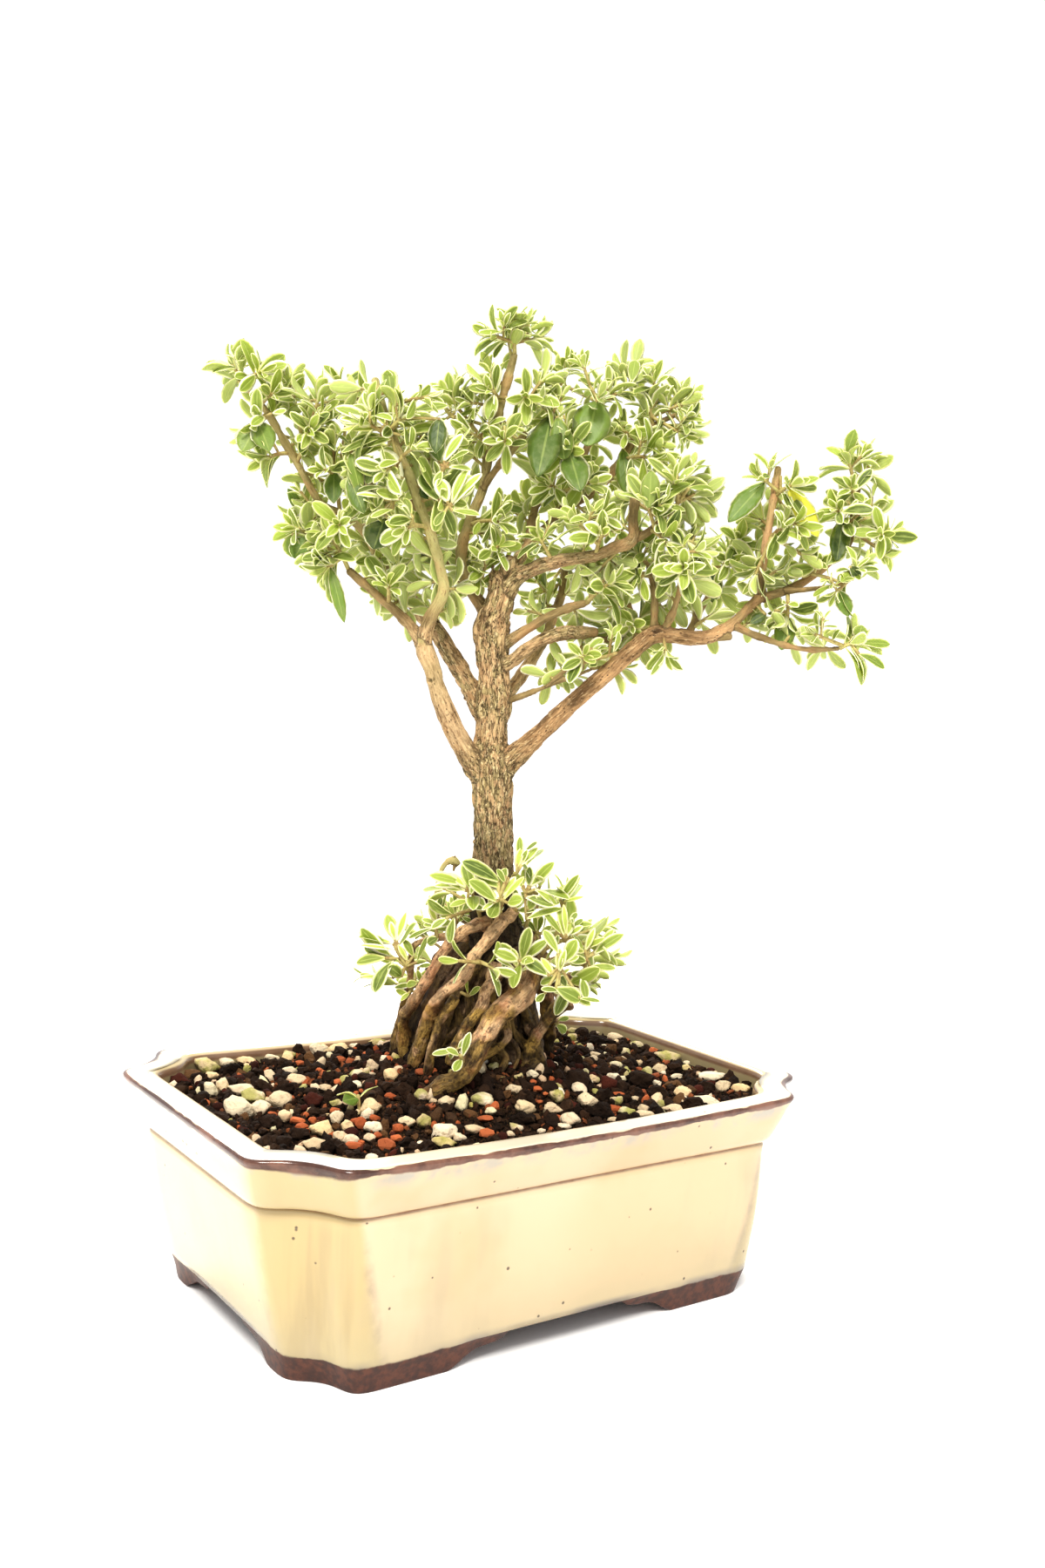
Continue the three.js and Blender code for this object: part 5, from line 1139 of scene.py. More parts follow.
def barkFinish(points, local, radius, mark):
    # a limb takes on its own bark a little way out from where it forks
    own = eased(local[:, 2] % wood["limbSpacing"], 5, 14)
    smoother, pale, red = (mark * own[:, None]).T
    age = eased(radius, 1.1, 2.6) * (1 - smoother)
    across = local * np.array([1.0, 1.0, 0.24])
    plates = rough(across * 0.75, 3)
    flake = eased(plates, 0.46, 0.07)
    flake = flake * flake * (3 - 2 * flake)
    crack = np.clip(ridged(across * 0.6 + 9) - 0.72, 0, 1) / 0.28
    pit = eased(rough(local * np.array([0.5, 0.5, 0.3]) + 40, 2), 0.28, -0.1)
    swell = eased(rough(local * np.array([0.1, 0.1, 0.16]) + 70, 2), 0.58, 0.1)
    smooth = 1 - 0.6 * red
    height = age * smooth * (0.6 * flake - 0.5 * crack - 0.4 * pit - 0.1) + 0.15 * (plates - 0.5)
    height = height + 0.3 * swell * (1 - 0.5 * age)
    lift = 0.45 + 0.4 * flake - 0.35 * crack - 0.35 * pit
    for right, up, toward, size in knots:
        apart = np.linalg.norm(points - seen((right, up, toward)), axis=1) / size
        height = height + 0.5 * np.exp(-((apart - 1.2) / 0.45) ** 2) - 0.8 * np.exp(-(apart / 0.8) ** 2)
        lift = lift - 0.9 * np.exp(-(apart / 0.9) ** 2)
    # greyer and darker down the trunk: painted shade toward its shadowed foot, with soil splashed on it
    level = points[:, 2]
    dirt = (eased(level, 158, -26) * 0.5 + eased(level, 136, -12) * 0.4) * eased(radius, 4, 1.5)
    return height, {"lift": np.clip(lift, 0, 1), "age": age, "moss": red, "dirt": dirt, "pale": pale,
                    "calm": eased(level, 172, 14), "root": 0 * age}


def rootFinish(points, local, radius, mark):
    core, front, dull, palest = (mark == rootMarks[key] for key in ("core", "front", "dull", "palest"))
    level = points[:, 2]
    across = local * np.array([0.8, 0.8, 0.26])
    plates = rough(across * 0.7 + 5, 3)
    ridge = ridged(across * 0.5 + 30)
    lump = rough(points * 0.32 + 3, 2)
    height = 0.5 * (plates - 0.4) + 0.3 * np.clip(ridge, -0.5, 1) + 1.3 * (lump - 0.5) - 0.1
    height = height * np.clip(radius / 2.2, 0.35, 1)
    # the core is itself a bundle of thin strands
    strands = np.clip(ridged(local * np.array([0.3, 0.3, 0.045]) + 50), 0, 1)
    height = np.where(core, height + 1.8 * (strands - 0.4), height)
    # painted shade and clinging soil darken the roots low down and in the hollows, moss grows low down and
    # on the shaded parts
    dirt = eased(level, 75, -8) * 0.7
    dirt = np.clip(dirt + eased(rough(points * 0.3 + 60, 2), 0.42, -0.08) * 0.6, 0, 0.85)
    # painted shade: the core is painted nearly black as the shade between the roots; the roots in front get
    # less of it, those between or behind more
    dirt = np.where(core, 0.95 - 0.35 * strands, dirt * np.where(front | palest, 0.6, 1.0))
    dirt = np.where(dull, np.maximum(dirt, 0.62), dirt)
    moss = np.clip((rough(points * 0.16 + 11, 3) - 0.36 + (88 - level) * 0.006) / 0.14, 0, 1)
    moss = moss * np.where(front, eased(level, 118, -16), 1.0)
    moss = moss * np.where(palest, eased(level, 94, -14), 1.0)
    return height, {"lift": np.clip(plates * 1.3 - 0.1, 0, 1), "age": 0 * moss + 0.45, "moss": moss,
                    "dirt": dirt, "pale": (front | palest) * 1.0, "calm": 0 * moss, "root": 0 * moss + 1}


def barkPaint():
    paint = Paint("flakyBark")
    lift, age, moss, pale, calm, dirt, root = (paint.attribute(key) for key in
                                               ("lift", "age", "moss", "pale", "calm", "dirt", "root"))
    limb = paint.attribute("limb", "Vector")

    def grown(detail, coarse, scale, shift=(0.0, 0.0, 0.0)):
        # a noise drawn out along the limb
        return paint.noise(1.0, detail, coarse, paint.stretched(limb, scale, shift))

    strand = grown(5, 0.62, (0.9, 0.9, 0.17))
    fleck = grown(3, 0.55, (1.9, 1.9, 0.5), (5.0, 3.0, 8.0))
    split = grown(3, 0.6, (0.75, 0.75, 0.12), (31.0, 7.0, 2.0))
    broad = grown(2, 0.5, (0.22, 0.22, 0.08), (3.0, 17.0, 5.0))
    plate = grown(3, 0.5, (0.5, 0.5, 0.28), (13.0, 9.0, 21.0))
    fine, patch, mottle = paint.noise(1500, 3), paint.noise(95, 3), paint.noise(520, 3)
    dots = paint.stretched(limb, (1.0, 1.0, 0.55))
    draw = paint.parts(paint.cells(1.25, "Color", dots))[0]
    speck = (1 - paint.cells(1.25, at=dots).step(0.16, 0.34)) * (draw + broad * 0.5).step(0.92, 1.0)
    ruddy = moss * (1 - root)
    crack = split.near(0.5, 0.028) * (0.12 + age * 0.6) * (1 - ruddy * 0.6)
    # redder bark on some limbs
    redder = paint.coats((108, 80, 50), [
        ((strand * 0.6 + broad * 0.5).step(0.35, 0.7), (198, 158, 112)),
        (fleck.step(0.56, 0.66) * 0.5, (222, 192, 146)),
        (pale * (strand * 0.6 + patch * 0.4).step(0.36, 0.56) * 0.85, (216, 188, 146))])
    # old bark: tan strands, pinkish patches, pale flecks, thin dark cracks and clusters of dark specks
    old = paint.coats((84, 68, 40), [
        (strand.step(0.3, 0.62), (172, 152, 106)),
        (plate.step(0.5, 0.58) * 0.8, paint.blend(strand, (150, 116, 80), (208, 174, 130))),
        (broad.step(0.55, 0.66) * 0.4, (160, 118, 84)),
        (fleck.step(0.53, 0.62) * 0.65, (228, 208, 160)),
        (plate.near(0.49, 0.025) * 0.7, (58, 40, 24)),
        # smoother peach patches on the upper trunk
        (calm * (broad * 0.7 + patch * 0.4).step(0.5, 0.6) * 0.6,
         paint.blend(strand.step(0.35, 0.6), (160, 126, 86), (220, 186, 140))),
        (ruddy * 0.9, redder),
        (crack, (66, 46, 26)),
        (speck * 0.8, (60, 40, 24)),
        # painted shade where the bark lies low, in pits, cracks and the knots' pits
        ((0.3 - lift).step(0.0, 0.3) * 0.75, (56, 38, 22))])
    # young bark: brown, smooth tan or green
    grain = (strand * 0.5 + patch * 0.7).step(0.35, 0.8)
    smooth = paint.coats((178, 146, 98), [
        (grain, (212, 184, 134)),
        (broad.step(0.48, 0.62) * 0.5, (198, 152, 114)),
        (moss, paint.blend(grain, (152, 140, 84), (194, 186, 128)))])
    young = paint.coats((112, 92, 56), [(grain, (168, 146, 100)),
                                        (pale, smooth),
                                        (patch.step(0.5, 0.66) * 0.4, (182, 130, 88)),
                                        (fleck.step(0.6, 0.7) * 0.55, (100, 70, 44))])
    # roots: mottled tan and pinkish above, olive below, with dark freckles
    # the lighter tones where the plates stand raised are painted highlights; the rest is mottling
    spread = lift * 0.5 + strand * 0.3 + mottle * 0.6
    rootTan = paint.coats((96, 66, 42), [
        (spread.step(0.45, 0.95), (212, 174, 130)),
        (pale * 0.9, paint.blend(spread.step(0.42, 0.9), (142, 104, 70), (226, 186, 140))),
        (patch.step(0.5, 0.64) * 0.4, (196, 132, 96)),
        (mottle.step(0.55, 0.66) * 0.7, (76, 46, 26)),
        (fleck.near(0.42, 0.04) * 0.5, (226, 202, 160))])
    rootOlive = paint.coats((48, 34, 10), [(spread.step(0.48, 1.0), (192, 156, 76)),
                                           (mottle.step(0.54, 0.64) * 0.75, (44, 30, 10)),
                                           (patch.step(0.5, 0.62) * 0.35, (150, 96, 50))])
    colour = paint.coats(young, [(age.step(0.12, 0.5), old),
                                 (root, paint.blend(moss * 0.9, rootTan, rootOlive)),
                                 (root * crack * 0.45, (52, 32, 14)),
                                 # painted shade, with some soil, low on the trunk and roots
                                 (dirt, (32, 20, 10))])
    bump = fine * 0.4 + strand + fleck * 0.6 - crack * 1.2
    return paint.finish({"Base Color": colour, "Roughness": 0.84 - root * 0.22, "Specular IOR Level": 0.25},
                        bump, 0.0007, 0.9)


def tangleRoots():
    # many thin roots that leave the trunk's foot at all bearings and wind down over a dark core
    made = []
    count = wood["tangleRoots"]
    for k in range(count):
        draw = [float(chance(k + d)) for d in (0.11, 0.21, 0.31, 0.41, 0.51, 0.61)]
        bearing = 2 * math.pi * (k + 0.6 * draw[0]) / count
        share = np.linspace(0, 1, 8)
        upper = -46 - 22 * draw[2]
        far = 4.0 + (9 + 8 * draw[3]) * share**0.8
        angle = bearing + (draw[1] - 0.5) * 2.2 * share + 0.4 * np.sin(share * 8 + 6 * draw[4])
        radius = np.interp(share, [0, 0.5, 1], [1.9, 1.4, 1.0]) * (0.55 + 0.7 * draw[5])
        made.append(np.column_stack([-8 - 3 * share + far * np.cos(angle), upper + (-95 - upper) * share,
                                     -13 - 5 * share + far * np.sin(angle) * 1.05, radius]))
    return made


def makeWood():
    bark = barkPaint()
    above = [limbPath(points, wood["step"]) for points in list(limbs.values()) + spikes]
    marks = [barkKinds[limbKinds.get(key, "trunk")] for key in limbs] + [barkKinds["trunk"]] * len(spikes)
    below = list(roots.values()) + tangleRoots() + [leftCore, tangleCore]
    below = [limbPath(points, wood["step"]) for points in below]
    rootMark = [rootMarks[rootKinds.get(key, "plain")] for key in roots]
    # every third strand of the tangle keeps a plain root's colours; the others are dull ones, darkened as
    # painted shade
    rootMark += [rootMarks["dull" if k % 3 else "plain"] for k in range(wood["tangleRoots"])]
    rootMark += [rootMarks["core"]] * 2
    for name, paths, sides, lumps, seed, voxel, mark, finish in (
            ("trunkAndLimbs", above, wood["sides"], wood["lumps"], 0, wood["voxel"], marks, barkFinish),
            ("exposedRoots", below, wood["rootSides"], wood["rootLumps"], 50, wood["rootVoxel"], rootMark,
             rootFinish)):
        skins = [tubeSkin(path, sides, lumps, seed + k) for k, path in enumerate(paths)]
        piece = fused(name, skins, voxel, bark)
        barkRelief(piece, paths, mark, finish)
        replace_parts(piece, "wood")


makeWood()
print("wood done")


# leaves

# a root on a limb, tips with a count of leaves and their length, and large leaves: the tip each grows from,
# where it ends, how wide it is and how bright
crownSprays = [
    ((-90, 130, -6), [(-95.5, 137.5, -8, 5, 11.5), (-86, 135, 0, 4, 11)], []),
    ((-83.5, 121.5, -5), [(-87, 118, 4, 2, 10)], [(0, -92, 109, 6, 9, 0.85), (0, -83, 109, 10, 8, 0.75)]),
    ((-76, 108.5, -5), [(-84, 107, 0, 4, 11)], []),
    ((-74, 105, -5), [(-69, 117, 2, 4, 11), (-66.5, 128, 0, 5, 11.5), (-76, 132, -14, 4, 10)], []),
    ((-66, 92, -8), [(-73, 88, -14, 3, 10)], [(0, -77, 97, -10, 4, 0.6)]),
    ((-60, 89.5, -10), [(-62, 104, -2, 3, 12), (-57, 126, -18, 3, 10)], [(0, -62, 92, 2, 7, 0.3)]),
    ((-41.5, 111.5, 20), [(-51, 118, 27, 4, 13), (-40, 120, 26, 4, 13)], []),
    ((-38, 103.5, 19), [(-45, 103, 30, 3, 12), (-53, 96, 22, 3, 11)], [(1, -57, 103, 26, 7, 0.5)]),
    ((-34, 92.5, 18), [(-26, 94, 26, 4, 12), (-30, 104, 12, 3, 11)], []),
    ((-31, 84, 17.3), [(-38, 84, 28, 3, 10), (-46, 88, 20, 3, 10)], [(1, -49, 77, 20, 11, 0.0)]),
    ((-57, 70, 5), [(-63, 81, 8, 5, 11.5), (-64, 71, 8, 3, 11), (-71, 82, -4, 3, 11)],
        [(1, -58.5, 53, 10, 4.5, 0.7), (2, -75, 74, 0, 8, 0.6)]),
    ((-44, 59, 6.5), [(-44, 65, 15, 4, 11)], []),
    ((-2.6, 141, -8), [(-3, 151, -7, 6, 9), (-9, 147, -4, 3, 10.5), (4, 146, -12, 3, 10)], []),
    ((-7, 125, -8), [(-10, 129, 0, 3, 9), (7, 126, 0, 5, 11)], []),
    ((-10, 110, -8.5), [(-17, 115, 0, 3, 10), (-24, 127, -4, 5, 12)], []),
    ((-4, 109, -3), [(-6, 113, 6, 4, 10)], []),
    ((-17.6, 85, -10.3), [(-8, 86, 0, 3, 10)], []),
    ((-15, 61, -9.5), [(-12, 72, -2, 3, 10)], []),
    ((-38, 98, -41), [(-42, 108, -40, 5, 11), (-28, 104, -45, 4, 11)], []),
    ((-29.4, 81.5, -29.8), [(-43, 84, -38, 4, 11), (-24, 92, -30, 3, 11)], []),
    ((51, 92, 15), [(50, 99, 20, 4, 12), (56, 93, 10, 4, 11)], []),
    ((42, 83.3, 13), [(47, 79, 22, 4, 10), (57, 79, 12, 4, 10), (41, 92, 24, 3, 13)], []),
    ((24, 75, 10), [(26, 82, 22, 3, 11), (18, 86, 18, 3, 10)], []),
    ((10, 72.5, 5), [(5, 81, 10, 4, 9)], []),
    ((25, 121.5, -20), [(28, 130, -18, 5, 11), (37, 132, -24, 4, 10), (11, 132, -24, 4, 10)], []),
    ((18, 102, -20), [(15, 110, 2, 2, 10), (9, 122, 0, 3, 10), (25, 127, 0, 2, 10)],
        [(1, 5, 101, 12, 11.5, 0.25), (2, 21, 111, 5, 13, 0.7), (0, 19, 96, 10, 10, 0.35)]),
    ((43, 117.5, -27.8), [(41, 125, -26, 4, 10), (53, 125, -26, 4, 10), (52, 115, -20, 3, 11)], []),
    ((32, 106, -27), [(42, 107, -16, 4, 11.5)], []),
    ((14.8, 93, -19), [(9, 98, -6, 4, 10), (22, 99, -4, 4, 11)], []),
    ((9, 107, -48), [(16, 118, -50, 5, 11), (3, 114, -48, 4, 11)], []),
    ((13.2, 66, -36), [(20, 70, -40, 4, 11), (6, 62, -30, 4, 10)], []),
    ((21, 59.4, 6), [(29, 66, 14, 5, 12)], []),
    ((35, 48.2, -8), [(39, 55, -8, 4, 11)], []),
    ((19.5, 38, 6), [(20, 42, 13, 4, 10), (31, 43, 15, 3, 9)], []),
    ((41.8, 71, 1), [(37, 76, 4, 4, 11)], []),
    ((52.5, 69, 14), [(53, 71, 22, 4, 11)], []),
    ((65, 68, -14), [(68, 77, -12, 5, 11)], []),
    ((30, 78, -42), [(39, 94, -49, 5, 11)], []),
    ((82.5, 94, 5), [(88, 98, 10, 4, 11), (79, 100, 8, 2, 10)], [(1, 67.5, 86, 12, 8, 0.55),
        (0, 97, 81, 12, 8, 1.4)]),
    ((80.2, 79, 4.4), [(85, 84, 12, 4, 10), (92, 75, 5, 4, 10), (76, 68, 8, 3, 10)], []),
    ((87, 63.6, 0), [(87, 54, 5, 4, 10)], [(0, 85, 44, 7, 7, 0.7)]),
    ((107.5, 81, -6), [(105, 88, 0, 4, 10), (115, 88, -8, 3, 11), (117, 77, 0, 4, 11)],
        [(0, 103, 73, 4, 7, 0.1)]),
    ((109.6, 95, -6), [(107, 106, -4, 4, 10.5), (114, 103, -8, 3, 10.5)], []),
    ((108, 67, 10), [(109, 70, 12, 2, 9), (103, 63, 13, 2, 8)], [(1, 107, 55, 14, 6, 0.6)]),
    ((104, 44.5, 12), [(108, 46, 13, 3, 12), (96, 49, 16, 2, 7)], []),
]
baseShoots = [
    ((-13, -47, -8), [(-17, -35, 4, 3, 11), (-26, -34, -2, 3, 10), (-25, -44, 8, 3, 8)], []),
    ((-7, -46, -5), [(-8, -37, 9, 3, 10), (-3, -30, 3, 3, 9)], []),
    ((1, -47, -9), [(6, -33, 0, 3, 11), (0, -24, -4, 3, 9)], []),
    ((6, -56, -9), [(16, -47, 0, 4, 9), (15, -37, -6, 3, 11), (24, -53, -4, 5, 12)], []),
    ((1, -63, 1), [(-1, -58, 14, 4, 11), (10, -58, 14, 4, 10)], []),
    ((-16.5, -58, 9), [(-9, -61, 16, 4, 9), (-21, -58, 16, 3, 8)], []),
    ((-36.7, -64, -12.6), [(-42, -51, -8, 3, 11), (-45, -57, -6, 3, 13)], []),
    ((-19, -93, 19), [(-20.5, -89, 26, 3, 7)], []),
    ((14, -64, -12), [(16, -67, -2, 4, 11)], []),
]
seedling = ((-53, -114, 32), [(-54, -102, 32, 2, 7)], [(0, -59, -104, 37, 5, 0.45)])
# more rosettes read off the photograph, at right, up
crownRosettes = [
    (-82, 128), (-66, 121), (-62, 112), (-55, 114), (-65, 103), (-57, 105), (-73, 112), (-77, 127),
    (-71, 125), (-70, 116), (-60, 132), (-52, 128), (-31, 127), (-33, 117), (-17, 125), (-13, 130),
    (-36, 110), (-28, 108), (-22, 112), (-17, 108), (-50, 97), (-44, 94), (-46, 101), (-23, 97), (-28, 91),
    (-19, 90), (-36, 88), (-35, 80), (-31, 75), (-47, 74), (-40, 72), (-60, 85), (-68, 88), (-74, 84),
    (-66, 75), (-53, 78), (-38, 65), (-30, 66), (-13, 82), (-17, 74), (-8, 78), (-14, 68), (-22, 64),
    (2, 92), (5, 80), (8, 133), (6, 124), (1, 127), (15, 137), (20, 137), (32, 136), (37, 137), (43, 132),
    (47, 125), (50, 128), (55, 127), (33, 116), (35, 108), (44, 112), (54, 116), (30, 100), (36, 95),
    (42, 92), (48, 96), (55, 103), (60, 96), (52, 88), (26, 88), (15, 88), (20, 78), (33, 72), (38, 68),
    (44, 74), (50, 70), (58, 76), (63, 70), (68, 73), (71, 80), (76, 73), (66, 63), (56, 57), (48, 62),
    (33, 60), (36, 52), (28, 58), (23, 67), (15, 63), (28, 44), (22, 42), (16, 36), (33, 38), (47, 43),
    (84, 70), (92, 68), (97, 72), (82, 54), (90, 85), (78, 87), (84, 90), (103, 90), (112, 85), (118, 82),
    (108, 97),
]
# a few more on the far side of the foot
baseRosettes = [
    (-24, -41), (-31, -46), (-36, -65), (-34, -57), (-37, -48), (-17, -43), (5, -66), (20, -66), (13, -37),
    (9, -48), (18, -56), (30, -57), (27, -47), (3, -39), (-5, -42), (21, -49), (24, -62), (-51, -63),
]
